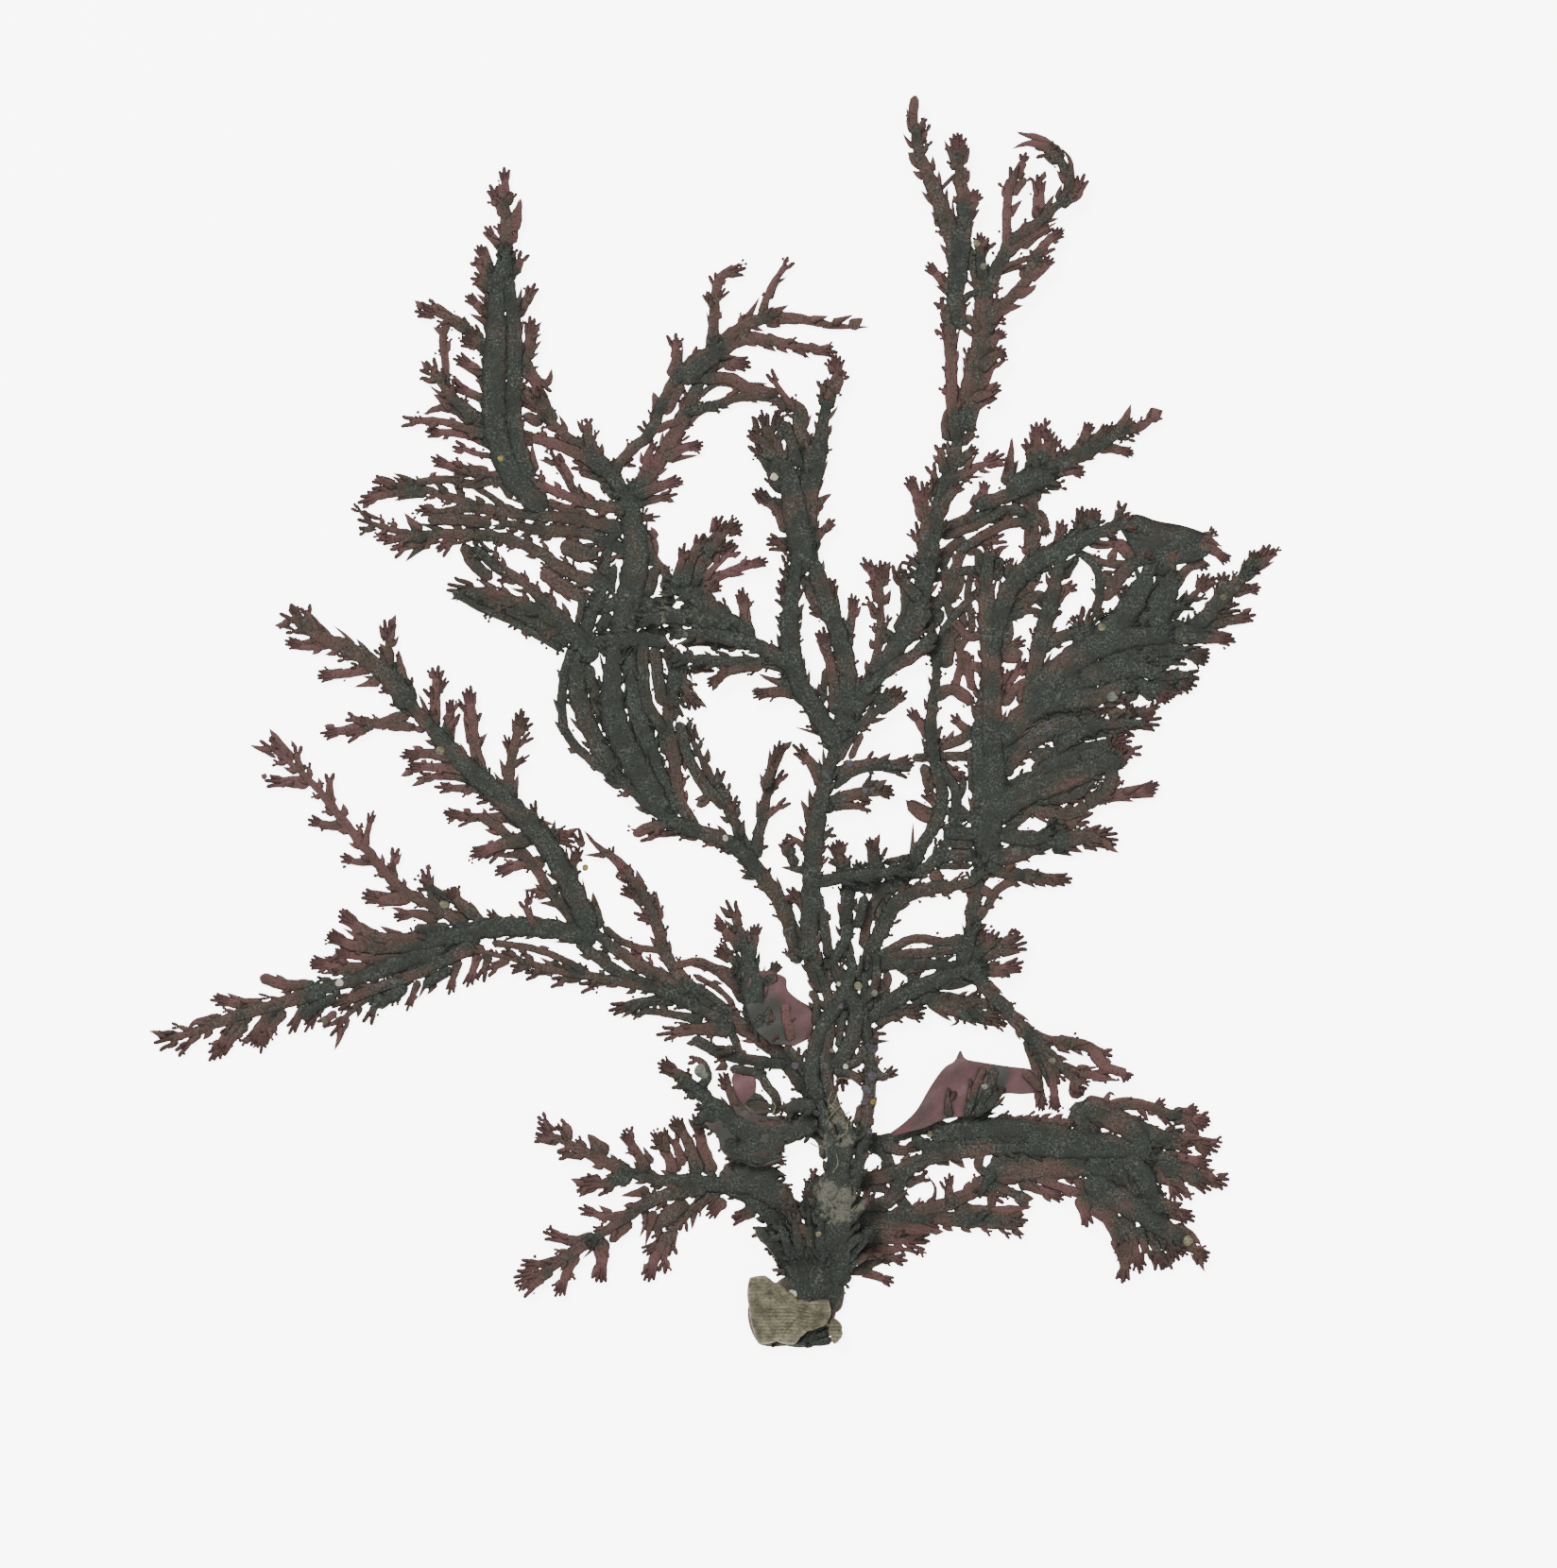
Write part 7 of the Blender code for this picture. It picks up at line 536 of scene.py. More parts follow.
NORTH_EAST = (
    # strands that rise from the stems
    (15, 0, 54, 310, 69, 344, 85, 372, 110, 383, 146, 388, 164, 400),
    (14, 0, 40, 336, 39, 366, 46, 388, 72, 384, 94, 396, 113, 404, 130, 426, 144, 452),
    (10, 0, 54, 330, 59, 360, 72, 386), (9, 2, 68, 354, 76, 378, 82, 396),
    (13, 0, 94, 398, 108, 424, 122, 448, 125, 470, 119, 496, 115, 524, 117, 554, 120, 580, 113, 610),
    (4, 1, 98, 408, 99, 443), (9, 2, 124, 456, 108, 474),
    (10, 0, 134, 440, 138, 468, 130, 484, 120, 498), (9, 2, 120, 496, 136, 488, 147, 482),
    (8, 1, 136, 464, 144, 478, 144, 490), (9, 0, 98, 501, 124, 503, 156, 502),
    (10, 0, 108, 508, 132, 514, 154, 524), (8, 3, 152, 522, 142, 531, 133, 540),
    (5, 1, 130, 514, 136, 527), (9, 3, 115, 518, 106, 532, 95, 546), (7, 2, 116, 522, 124, 534),
    (12, 0, 116, 554, 134, 563, 154, 550), (13, 0, 120, 412, 142, 414, 170, 410),
    (8, 1, 116, 400, 126, 388, 136, 386), (14, 0, 126, 434, 150, 433, 176, 430),
    (9, 0, 138, 458, 156, 444, 174, 442),
    # the main stem
    (15, 0, 152, 334, 153, 364, 159, 400, 162, 440), (26, 0, 164, 410, 168, 450, 172, 490, 172, 530),
    (20, 0, 158, 436, 160, 470, 160, 510, 162, 546, 166, 580),
    (21, 0, 170, 500, 170, 550, 169, 590, 166, 630, 165, 666, 169, 688),
    (9, 2, 154, 356, 164, 366, 170, 372), (7, 1, 153, 346, 166, 352),
    (8, 2, 159, 384, 172, 378, 181, 379), (9, 0, 166, 366, 174, 382, 194, 394),
    (12, 0, 164, 406, 180, 398, 200, 396), (11, 3, 194, 396, 218, 393, 242, 391),
    (4, 1, 198, 393, 210, 384), (5, 1, 208, 392, 219, 385), (5, 1, 218, 392, 229, 385),
    (4, 1, 208, 396, 218, 398), (18, 0, 166, 412, 188, 414, 210, 422, 234, 428),
    (19, 4, 224, 425, 250, 430, 283, 428), (5, 1, 224, 420, 243, 413), (5, 1, 238, 422, 252, 416),
    (5, 1, 252, 424, 264, 418), (6, 2, 250, 434, 274, 439), (12, 2, 220, 430, 240, 442, 260, 452),
    (17, 0, 176, 434, 198, 429, 224, 430),
    (14, 0, 172, 450, 192, 446, 204, 456, 224, 452, 244, 452, 268, 468), (7, 0, 220, 434, 226, 452),
    (14, 0, 254, 458, 274, 474, 279, 492, 288, 506), (8, 2, 282, 498, 293, 507, 308, 508),
    (11, 4, 268, 467, 294, 470, 321, 477), (5, 1, 288, 470, 306, 478), (5, 1, 294, 469, 317, 466),
    (5, 1, 278, 467, 298, 462),
    # the dense fan
    (26, 0, 170, 446, 196, 468, 228, 480, 260, 492, 284, 504),
    (22, 0, 174, 468, 206, 480, 236, 498, 276, 506), (14, 3, 240, 506, 270, 514, 298, 519),
    (24, 0, 174, 486, 200, 516, 230, 530, 270, 534), (16, 3, 226, 510, 260, 529, 294, 533, 323, 534),
    (7, 2, 284, 530, 304, 522), (6, 1, 298, 532, 312, 528),
    (24, 0, 176, 514, 204, 544, 232, 554, 264, 556, 294, 570), (10, 2, 274, 542, 292, 540, 302, 548),
    (7, 3, 292, 540, 312, 544, 320, 552), (10, 0, 298, 568, 308, 560, 316, 554),
    (15, 5, 292, 570, 314, 564, 334, 554), (5, 1, 314, 564, 322, 549),
    (23, 0, 214, 550, 250, 572, 290, 582, 324, 576), (16, 4, 310, 576, 334, 572, 354, 566),
    (7, 2, 332, 576, 361, 576), (5, 1, 330, 570, 346, 563),
    (28, 0, 200, 546, 226, 576, 260, 600, 296, 610, 330, 610), (22, 0, 266, 584, 302, 594, 334, 602),
    (15, 4, 324, 600, 346, 596, 367, 591), (5, 1, 338, 598, 356, 586),
    (20, 0, 306, 606, 336, 610, 360, 620), (10, 3, 344, 610, 366, 609, 390, 607),
    (4, 1, 348, 610, 364, 603), (10, 2, 348, 616, 376, 623, 409, 631), (5, 1, 382, 625, 401, 623),
    (14, 3, 348, 616, 368, 632, 393, 637), (16, 0, 354, 618, 374, 642, 390, 658, 402, 672),
    (14, 3, 398, 666, 412, 679, 423, 692), (7, 1, 406, 674, 425, 684),
    (9, 3, 396, 662, 403, 678, 408, 689), (10, 3, 384, 650, 400, 654, 412, 653),
    (9, 2, 372, 638, 377, 656, 379, 670), (24, 0, 262, 604, 286, 626, 302, 650, 314, 676),
    (24, 0, 294, 606, 316, 630, 326, 660, 330, 690), (19, 0, 276, 606, 310, 618, 328, 640, 334, 666),
    (13, 3, 328, 628, 350, 646, 369, 667), (5, 1, 344, 640, 356, 655), (7, 2, 328, 636, 356, 640),
    (6, 1, 346, 610, 347, 633), (8, 1, 324, 614, 340, 616),
    (17, 0, 206, 566, 212, 600, 220, 630, 227, 660, 234, 688),
    (13, 0, 214, 598, 232, 610, 256, 614, 272, 608), (10, 2, 224, 640, 236, 653, 247, 658),
    (6, 2, 223, 634, 236, 636), (18, 3, 250, 600, 254, 620, 262, 636),
    (10, 3, 248, 612, 246, 622, 241, 629), (12, 3, 268, 612, 272, 622, 272, 631),
    (9, 0, 250, 686, 264, 672, 267, 650, 262, 630), (4, 1, 267, 648, 258, 655),
    (14, 0, 264, 666, 280, 660, 294, 674, 310, 684), (9, 2, 280, 626, 288, 640, 288, 656),
    (8, 2, 310, 644, 299, 648, 290, 660),
    # the strands to the folded blade
    (19, 0, 168, 594, 178, 632, 190, 660, 212, 678, 240, 692, 266, 704, 294, 714),
    (12, 0, 169, 636, 184, 620, 180, 602), (12, 0, 188, 628, 208, 646, 224, 640),
    (9, 0, 188, 636, 204, 660, 216, 674), (7, 0, 182, 626, 206, 634, 224, 624),
    (9, 2, 228, 686, 231, 702, 234, 716), (13, 3, 236, 690, 249, 708, 254, 728),
    (10, 3, 248, 702, 258, 714, 266, 726), (7, 2, 281, 708, 285, 722, 288, 734),
    (4, 1, 283, 714, 281, 726), (8, 0, 244, 688, 270, 677, 296, 676, 314, 680),
    (8, 3, 256, 696, 274, 693, 286, 698), (6, 1, 276, 678, 284, 696), (6, 1, 262, 702, 268, 710),
    (8, 3, 206, 676, 209, 686, 218, 692),
    # the net of strands on the left
    (11, 0, 109, 696, 132, 710, 160, 719, 182, 724, 206, 722), (9, 0, 124, 700, 152, 709, 184, 726),
    (10, 0, 138, 686, 160, 700, 184, 712, 208, 714), (7, 1, 148, 684, 156, 694, 170, 692),
    (10, 0, 110, 666, 130, 688, 146, 700), (10, 0, 114, 628, 130, 654, 140, 680, 148, 698),
    (8, 0, 120, 580, 126, 614, 146, 640, 164, 656), (9, 0, 108, 660, 136, 668, 166, 672),
    (9, 0, 156, 690, 162, 674, 164, 656), (8, 0, 136, 562, 142, 590, 136, 618, 129, 644, 128, 674),
    (7, 0, 140, 598, 152, 620, 148, 646, 152, 674), (9, 0, 134, 626, 150, 610, 166, 616),
    (8, 2, 164, 580, 152, 586, 148, 594), (7, 2, 122, 590, 114, 608, 103, 604),
    (8, 0, 102, 650, 122, 642, 138, 650), (8, 1, 166, 672, 176, 688, 186, 693),
    (10, 3, 184, 662, 186, 674, 184, 682), (8, 3, 168, 594, 186, 602, 201, 608),
    (9, 3, 172, 556, 190, 576, 202, 590), (10, 0, 180, 548, 194, 566, 214, 572),
    (8, 2, 176, 566, 186, 586),
    # the crown above it
    (14, 0, 207, 666, 206, 696, 207, 724, 206, 750), (6, 1, 204, 692, 199, 706),
    (9, 4, 209, 724, 217, 712, 219, 700), (15, 0, 154, 728, 180, 736, 202, 744),
    (7, 0, 150, 714, 154, 726, 166, 734), (9, 3, 156, 728, 162, 740, 164, 751),
    (5, 1, 153, 728, 154, 740), (24, 0, 184, 742, 208, 752, 226, 754),
    (9, 1, 184, 746, 186, 766, 188, 790), (5, 1, 187, 758, 194, 770), (5, 1, 185, 758, 182, 773),
    (7, 2, 200, 752, 193, 761), (18, 0, 204, 752, 209, 772), (10, 2, 208, 762, 205, 776, 200, 789),
    (13, 3, 209, 766, 211, 786, 212, 805), (9, 3, 214, 766, 220, 782, 221, 798),
    (8, 3, 216, 764, 224, 778, 229, 792), (7, 3, 222, 766, 232, 776, 236, 783),
    (17, 0, 212, 754, 236, 768, 258, 779, 276, 790, 296, 799), (8, 2, 290, 796, 308, 802, 321, 818),
    (10, 1, 312, 808, 324, 814), (8, 1, 284, 794, 291, 808, 295, 820),
    (10, 3, 248, 774, 254, 792, 259, 804), (9, 3, 258, 779, 267, 792, 276, 802),
    (9, 4, 264, 782, 282, 779, 298, 775), (9, 3, 222, 756, 240, 760, 255, 757),
    (8, 2, 218, 748, 230, 746, 238, 748), (5, 1, 210, 744, 224, 739),
)
EAST = (
    # the stem and the sprays under it
    (17, 0, 56, 266, 86, 286, 116, 300, 144, 310, 162, 312), (13, 3, 64, 264, 88, 272, 112, 274),
    (5, 1, 86, 274, 106, 282), (12, 3, 96, 286, 124, 286, 146, 283, 162, 286),
    (19, 4, 112, 286, 134, 276, 158, 271, 185, 267), (3, 1, 136, 270, 139, 264, 132, 260),
    (6, 1, 142, 272, 157, 260), (6, 1, 154, 269, 170, 260), (10, 2, 148, 280, 168, 280, 187, 278),
    (11, 0, 116, 298, 134, 298, 156, 304),
    # the bands that close it above
    (13, 0, 54, 314, 82, 316, 110, 316, 140, 314),
    (10, 0, 56, 318, 84, 324, 110, 326, 136, 330, 152, 336),
    (9, 0, 64, 320, 84, 332, 102, 339, 126, 336, 150, 340), (9, 0, 86, 314, 98, 304, 94, 288),
    (8, 0, 124, 314, 122, 326, 118, 336), (14, 0, 142, 314, 148, 330, 152, 350),
    # the sprays to the right
    (10, 3, 146, 314, 154, 332, 165, 350), (10, 2, 150, 322, 168, 334, 176, 345),
    (17, 3, 140, 312, 162, 322, 180, 330, 202, 339), (8, 2, 170, 329, 184, 338, 193, 346),
    (6, 1, 176, 327, 196, 326), (12, 3, 148, 312, 174, 310, 199, 316), (6, 2, 168, 310, 192, 307),
    (5, 1, 162, 310, 178, 304),
    # the branch that hangs to the lower right
    (14, 0, 152, 310, 168, 290, 182, 276, 197, 258, 214, 242, 232, 224, 250, 206),
    (5, 1, 164, 300, 180, 289), (5, 1, 174, 286, 188, 280), (5, 1, 182, 276, 196, 267),
    (7, 1, 196, 262, 211, 253), (10, 1, 202, 250, 224, 247, 248, 249),
    (11, 2, 226, 245, 248, 244, 268, 236, 278, 233), (6, 1, 238, 245, 259, 246),
    (5, 1, 228, 243, 241, 235), (5, 1, 242, 243, 252, 233),
    (10, 3, 260, 239, 272, 224, 288, 218, 294, 211), (9, 2, 230, 224, 254, 217, 282, 219),
    (4, 1, 244, 220, 267, 224), (6, 1, 258, 216, 284, 211),
    (9, 4, 202, 250, 208, 226, 213, 204, 215, 182), (9, 4, 216, 238, 224, 214, 227, 182),
    (6, 0, 204, 246, 216, 222, 223, 204), (4, 1, 211, 210, 208, 194), (4, 1, 212, 202, 209, 186),
)
DARK_SPRAY = (
    # the broad dark blade and the red spray on it
    (24, 0, 14, 176, -16, 166, -46, 166, -72, 176, -94, 182), (22, 0, -16, 160, -44, 150, -66, 148),
    (14, 0, -62, 178, -86, 194, -106, 208), (13, 4, -96, 202, -112, 218, -130, 227),
    (8, 2, -90, 200, -106, 208, -120, 209), (9, 0, -94, 204, -86, 214, -89, 226),
    (9, 3, -58, 188, -66, 202, -74, 219), (6, 2, -86, 220, -94, 230, -106, 230),
    # the two small red blades
    (20, 1, -38, 176, -52, 198, -54, 220), (9, 1, -50, 186, -38, 189, -26, 187),
)
RED_SPRAY = (
    (22, 0, -44, 270, -45, 300, -48, 320), (14, 2, -47, 310, -54, 336, -61, 356, -69, 373),
    (5, 1, -58, 348, -59, 370), (9, 3, -54, 328, -68, 344, -80, 355),
    (13, 4, -48, 306, -62, 319, -79, 332), (9, 3, -49, 320, -44, 338, -42, 353),
    (10, 5, -30, 298, -27, 308, -23, 317), (6, 1, -36, 300, -35, 312),
)

# Finer strands that lie between those of the tables above
SOUTH_WEST_MORE = (
    (10, 0, -420, 286, -438, 278, -450, 266), (11, 0, -356, 296, -370, 288, -384, 278),
    (9, 0, -316, 312, -330, 304, -342, 296), (8, 0, -318, 350, -350, 348),
    (7, 2, -466, 274, -480, 258, -488, 242), (6, 2, -500, 262, -514, 248, -526, 234),
    (6, 0, -336, 386, -316, 374, -294, 362), (30, 0, -76, 124, -46, 120, -22, 106, -6, 90),
    (20, 0, -66, 140, -40, 130, -22, 122), (15, 0, 2, 90, 7, 108, 14, 126),
    (9, 0, 4, 165, 16, 158, 19, 140), (16, 0, -104, 102, -120, 90, -136, 76),
    (9, 0, -154, 84, -174, 66), (8, 2, -108, 134, -113, 150, -120, 168), (9, 3, -76, 110, -90, 94),
    (9, 3, -44, 96, -64, 86), (8, 3, -18, 80, -38, 72), (7, 2, -14, 68, -32, 52),
    (6, 1, -48, 134, -22, 136), (6, 2, -34, 112, -10, 122),
)
WEST_MORE = (
    (10, 0, -420, 286, -438, 278, -450, 266), (11, 0, -356, 296, -370, 288, -384, 278),
    (9, 0, -316, 312, -330, 304, -342, 296), (8, 0, -318, 350, -350, 348),
    (7, 2, -466, 274, -480, 258, -488, 242), (6, 2, -500, 262, -514, 248, -526, 234),
    (6, 0, -336, 386, -316, 374, -294, 362), (8, 0, -120, 314, -94, 319, -74, 310),
    (8, 0, -108, 298, -86, 290, -62, 270), (6, 0, -98, 307, -76, 294, -62, 280),
    (8, 2, -90, 266, -126, 273, -158, 276), (7, 0, -180, 350, -156, 334, -122, 328),
    (7, 0, -280, 336, -244, 331, -214, 320, -194, 308), (5, 2, -220, 318, -246, 312),
    (10, 0, -376, 532, -350, 530), (6, 2, -334, 536, -330, 568), (6, 2, -318, 516, -312, 546),
    (6, 2, -198, 422, -206, 440), (6, 1, -250, 416, -278, 414), (6, 2, -214, 392, -200, 406),
    (6, 1, -224, 380, -252, 384), (5, 2, -246, 370, -246, 386),
)
DARK_SPRAY_MORE = (
    (16, 0, -86, 178, -66, 166, -44, 158, -22, 152), (14, 0, -72, 156, -56, 146, -38, 142, -20, 145),
    (12, 0, -70, 180, -54, 164, -46, 148), (12, 0, -89, 182, -74, 168, -66, 152),
    (9, 0, -66, 222, -42, 218, -32, 206, -24, 194, -26, 180), (8, 2, -44, 218, -30, 222),
    (9, 0, 6, 214, -4, 228, -16, 243), (7, 2, -4, 228, 1, 244), (6, 2, -62, 240, -84, 238),
    (6, 1, -68, 226, -80, 220),
)
STEMS_MORE = (
    (6, 2, -9, 64, -24, 60, -35, 59), (6, 2, -12, 74, -26, 70, -37, 67),
    (6, 2, -6, 54, -19, 52, -28, 53), (5, 1, -8, 42, -20, 40, -29, 42),
    (6, 2, -4, 34, -12, 26, -16, 22), (6, 0, 2, 46, 1, 30, -3, 14, -4, 4),
    (6, 0, 12, 44, 10, 28, 7, 16), (5, 1, 18, 34, 15, 22, 13, 15),
    (7, 0, 20, 40, 26, 24, 27, 6, 24, -8), (6, 0, 29, 34, 30, 20, 27, 4),
    (6, 2, 26, -14, 14, -18, 4, -22), (6, 2, 26, -22, 12, -25, 0, -25),
    (5, 1, 6, -20, -6, -25, -18, -26), (5, 2, -10, -23, -22, -25, -30, -26),
    (5, 1, 24, -10, 28, -18, 29, -24), (5, 1, 8, -14, 2, -20, -4, -26),
    (9, 0, 26, 220, 42, 217, 54, 210), (9, 2, 34, 220, 36, 202), (8, 0, 52, 190, 48, 170),
    (10, 0, 24, 320, 20, 344, 18, 366), (11, 0, 24, 316, 36, 332, 42, 352), (9, 0, 48, 348, 56, 378),
    (8, 0, 32, 240, 34, 260, 39, 276), (8, 0, 11, 260, 12, 282, 6, 292), (10, 0, 26, 2, 32, 14, 33, 28),
    (6, 2, 30, 20, 39, 23), (9, 3, 2, 50, -14, 64, -26, 66), (9, 3, 6, 70, -8, 86, -18, 96),
    (9, 3, 14, 82, 8, 100, 0, 114), (9, 3, 30, 56, 48, 70, 64, 76), (9, 3, 34, 42, 52, 52, 68, 58),
    (8, 3, 38, 82, 54, 100, 62, 116), (7, 2, -14, 36, -24, 46), (7, 2, 4, 36, -2, 52),
    (7, 2, 20, 26, 22, 46),
)
EAST_MORE = (
    (9, 0, 62, 282, 74, 296, 76, 310), (7, 2, 60, 254, 77, 258), (7, 2, 90, 310, 112, 314),
    (6, 1, 66, 270, 80, 272),
)
SOUTH_EAST_MORE = (
    (8, 0, 48, 115, 78, 113), (9, 0, 208, 124, 230, 116, 252, 108), (9, 2, 254, 94, 256, 78),
    (9, 0, 258, 96, 274, 84, 284, 64), (8, 3, 284, 64, 288, 46, 289, 30), (7, 3, 318, 60, 323, 40),
    (7, 2, 320, 154, 356, 149), (7, 2, 354, 124, 382, 118), (6, 2, 160, 112, 186, 102),
    (6, 2, 184, 114, 200, 102), (7, 2, 110, 80, 126, 74),
)
NORTH_WEST_MORE = (
    (7, 0, -316, 652, -294, 638, -264, 625, -240, 612, -216, 598),
    (10, 0, -420, 286, -438, 278, -450, 266), (11, 0, -356, 296, -370, 288, -384, 278),
    (9, 0, -316, 312, -330, 304, -342, 296), (8, 0, -318, 350, -350, 348),
    (7, 2, -466, 274, -480, 258, -488, 242), (6, 2, -500, 262, -514, 248, -526, 234),
    (6, 0, -336, 386, -316, 374, -294, 362),
    (12, 0, -312, 652, -286, 643, -260, 633, -236, 620, -212, 602),
    (12, 0, -306, 694, -296, 676, -280, 662), (9, 0, -296, 692, -280, 676, -270, 668),
    (12, 0, -338, 716, -310, 716, -280, 712),
    (8, 0, -350, 749, -320, 752, -298, 747, -274, 750, -262, 734),
    (6, 0, -300, 748, -280, 736, -268, 728), (9, 0, -232, 732, -214, 726, -194, 722),
    (19, 0, -218, 694, -200, 686, -184, 684), (15, 0, -236, 670, -214, 654, -194, 642),
    (8, 0, -202, 759, -182, 752, -170, 734), (11, 0, -252, 810, -234, 802),
    (6, 1, -242, 758, -244, 786), (6, 2, -208, 750, -214, 762, -224, 778), (8, 0, -173, 648, -170, 676),
    (11, 0, -140, 646, -132, 674), (12, 0, -184, 614, -174, 632), (7, 0, -202, 622, -198, 650),
    (12, 0, -134, 602, -130, 572, -126, 548), (9, 0, -128, 534, -124, 504),
    (11, 0, -112, 534, -104, 504, -92, 482, -72, 458), (8, 0, -98, 488, -86, 466, -96, 458),
    (7, 0, -110, 604, -86, 605, -60, 600), (6, 2, -102, 580, -76, 583), (9, 0, -124, 810, -108, 838),
    (6, 0, -104, 802, -90, 814, -72, 819), (6, 0, -94, 826, -78, 838, -58, 836),
    (8, 2, -62, 416, -80, 427, -110, 434, -150, 430), (7, 0, -112, 620, -128, 614),
    (7, 0, -114, 642, -136, 644),
)
NORTH_MORE = (
    (11, 0, -17, 804, -10, 784, -3, 762), (10, 2, -14, 704, -22, 722, -42, 742),
    (7, 2, -14, 690, -34, 693), (7, 3, -32, 794, -38, 814), (7, 3, -22, 796, -21, 815),
    (10, 0, 0, 666, 6, 650, 14, 632), (7, 0, 18, 550, 20, 582), (11, 0, 84, 614, 93, 636, 90, 666),
    (6, 2, 84, 660, 84, 680), (6, 2, 92, 656, 96, 676), (7, 3, 66, 552, 90, 566),
    (9, 2, 148, 794, 156, 816, 176, 832), (8, 2, 160, 830, 168, 850, 182, 866),
    (6, 0, 140, 892, 154, 880), (7, 2, 196, 960, 226, 982), (7, 0, 42, 500, 53, 524),
    (7, 0, 26, 474, 54, 491, 98, 493), (8, 2, -6, 404, -13, 418, -10, 432), (7, 1, -8, 414, -20, 426),
    (7, 0, 14, 358, 16, 372, 10, 384), (8, 2, -36, 474, -22, 506),
)
NORTH_EAST_MORE = (
    (17, 0, 127, 582, 132, 616), (9, 0, 152, 562, 146, 598), (12, 0, 110, 614, 126, 634),
    (8, 0, 147, 618, 140, 638), (10, 0, 132, 640, 144, 666), (18, 0, 178, 592, 198, 596),
    (9, 0, 202, 650, 213, 670), (8, 0, 235, 662, 247, 684), (10, 0, 174, 660, 178, 682),
    (7, 0, 182, 626, 200, 631), (12, 0, 282, 698, 296, 680), (11, 0, 268, 644, 286, 658),
    (9, 0, 334, 660, 350, 674, 364, 676), (8, 0, 320, 616, 342, 624), (8, 2, 318, 587, 348, 590),
    (6, 2, 364, 616, 388, 608), (8, 2, 316, 566, 342, 566), (14, 0, 204, 502, 230, 508),
    (8, 0, 248, 519, 288, 527), (10, 0, 270, 549, 302, 559), (6, 0, 216, 541, 276, 544),
    (13, 0, 208, 463, 244, 468, 266, 488), (10, 0, 108, 496, 115, 470), (6, 0, 96, 463, 128, 447),
    (7, 0, 72, 407, 100, 413), (7, 0, 118, 404, 152, 404), (9, 0, 130, 424, 154, 423),
    (7, 0, 152, 470, 150, 510), (8, 2, 166, 718, 188, 712), (7, 2, 160, 694, 186, 700),
    (8, 0, 190, 732, 206, 736), (7, 0, 124, 670, 134, 690), (6, 2, 156, 404, 156, 424),
)

# Broad thin blades, as an upper edge and a lower edge
RED_BLADE_EDGES = (
    ((7.8, 16.4), (9.0, 17.3), (10.2, 18.5), (11.2, 20.2), (12.1, 21.6), (12.8, 22.4), (13.6, 22.9),
     (14.15, 23.9), (14.6, 23.1), (16.0, 22.8), (17.2, 22.6), (18.6, 22.4), (20.3, 22.2), (21.1, 21.9)),
    ((8.0, 16.1), (9.4, 16.5), (11.0, 16.9), (12.6, 17.6), (14.4, 17.9), (16.2, 18.2), (16.9, 18.8),
     (17.5, 19.6), (18.3, 19.95), (19.6, 19.9), (21.1, 20.0)),
)
DARK_BLADE_EDGES = (
    ((-9.2, 18.7), (-8.2, 18.9), (-6.8, 19.0), (-5.2, 18.6), (-4.2, 18.1), (-2.4, 17.9), (-0.6, 17.6),
     (1.4, 17.6)),
    ((-9.0, 17.6), (-8.6, 17.0), (-7.7, 16.0), (-7.4, 14.9), (-6.6, 14.2), (-4.0, 13.4), (-1.9, 14.0),
     (-1.9, 15.2), (-0.9, 16.6), (1.4, 17.0)),
)
SMALL_RED_EDGES = (
    ((-6.1, 22.0), (-6.45, 21.2), (-6.0, 19.8), (-5.2, 18.6), (-4.6, 18.0)),
    ((-4.4, 22.1), (-4.2, 21.0), (-4.2, 19.6), (-3.6, 19.0), (-2.5, 18.2)),
)
MIDDLE_BLADE_EDGES = (
    ((-2.8, 24.4), (-4.4, 25.8), (-5.1, 28.0), (-4.7, 31.0)),
    ((-0.8, 24.2), (0.6, 25.0), (1.0, 26.2), (0.8, 27.6), (-0.4, 28.4), (-1.4, 29.3), (-1.6, 30.4),
     (-3.2, 31.0)),
)
FOLDED_BLADE_EDGES = (
    ((28.2, 71.2), (29.4, 72.0), (30.4, 72.0), (31.8, 71.5), (34.0, 71.1), (35.6, 70.6), (36.6, 70.1),
     (37.0, 69.2)),
    ((29.0, 69.9), (29.8, 68.4), (31.2, 67.4), (32.4, 66.4), (33.4, 67.4), (35.0, 67.7), (36.4, 68.3)),
)
SMALL_LEAF_EDGES = (
    ((9.2, 46.4), (10.4, 46.1), (11.4, 45.5), (12.0, 45.2)),
    ((9.4, 45.4), (10.4, 44.5), (11.4, 44.2), (11.8, 44.6)),
)
FOLDED_TINES = (
    (9, 3, 354, 696, 366, 702, 372, 707), (9, 4, 354, 692, 370, 688, 385, 677),
    (8, 3, 348, 686, 358, 678, 364, 670), (6, 1, 360, 700, 376, 692),
)
CRUST_RIM = (
    (-4.8, 3.4), (-3.4, 3.6), (-2.5, 2.9), (-1.2, 2.1), (-0.5, 1.4), (0.6, 1.2), (1.4, 1.4), (2.3, 1.4),
    (2.5, 0.4), (2.2, -0.8), (1.4, -1.1), (0.4, -1.4), (-0.2, -1.9), (-0.8, -2.6), (-2.4, -2.3),
    (-4.0, -2.6), (-4.5, -1.2), (-4.8, 0.6),
)
LOBE_RIM = (
    (2.6, -0.2), (3.2, -0.5), (3.5, -1.3), (3.3, -2.2), (2.8, -2.6), (2.5, -1.9), (2.4, -1.0),
)
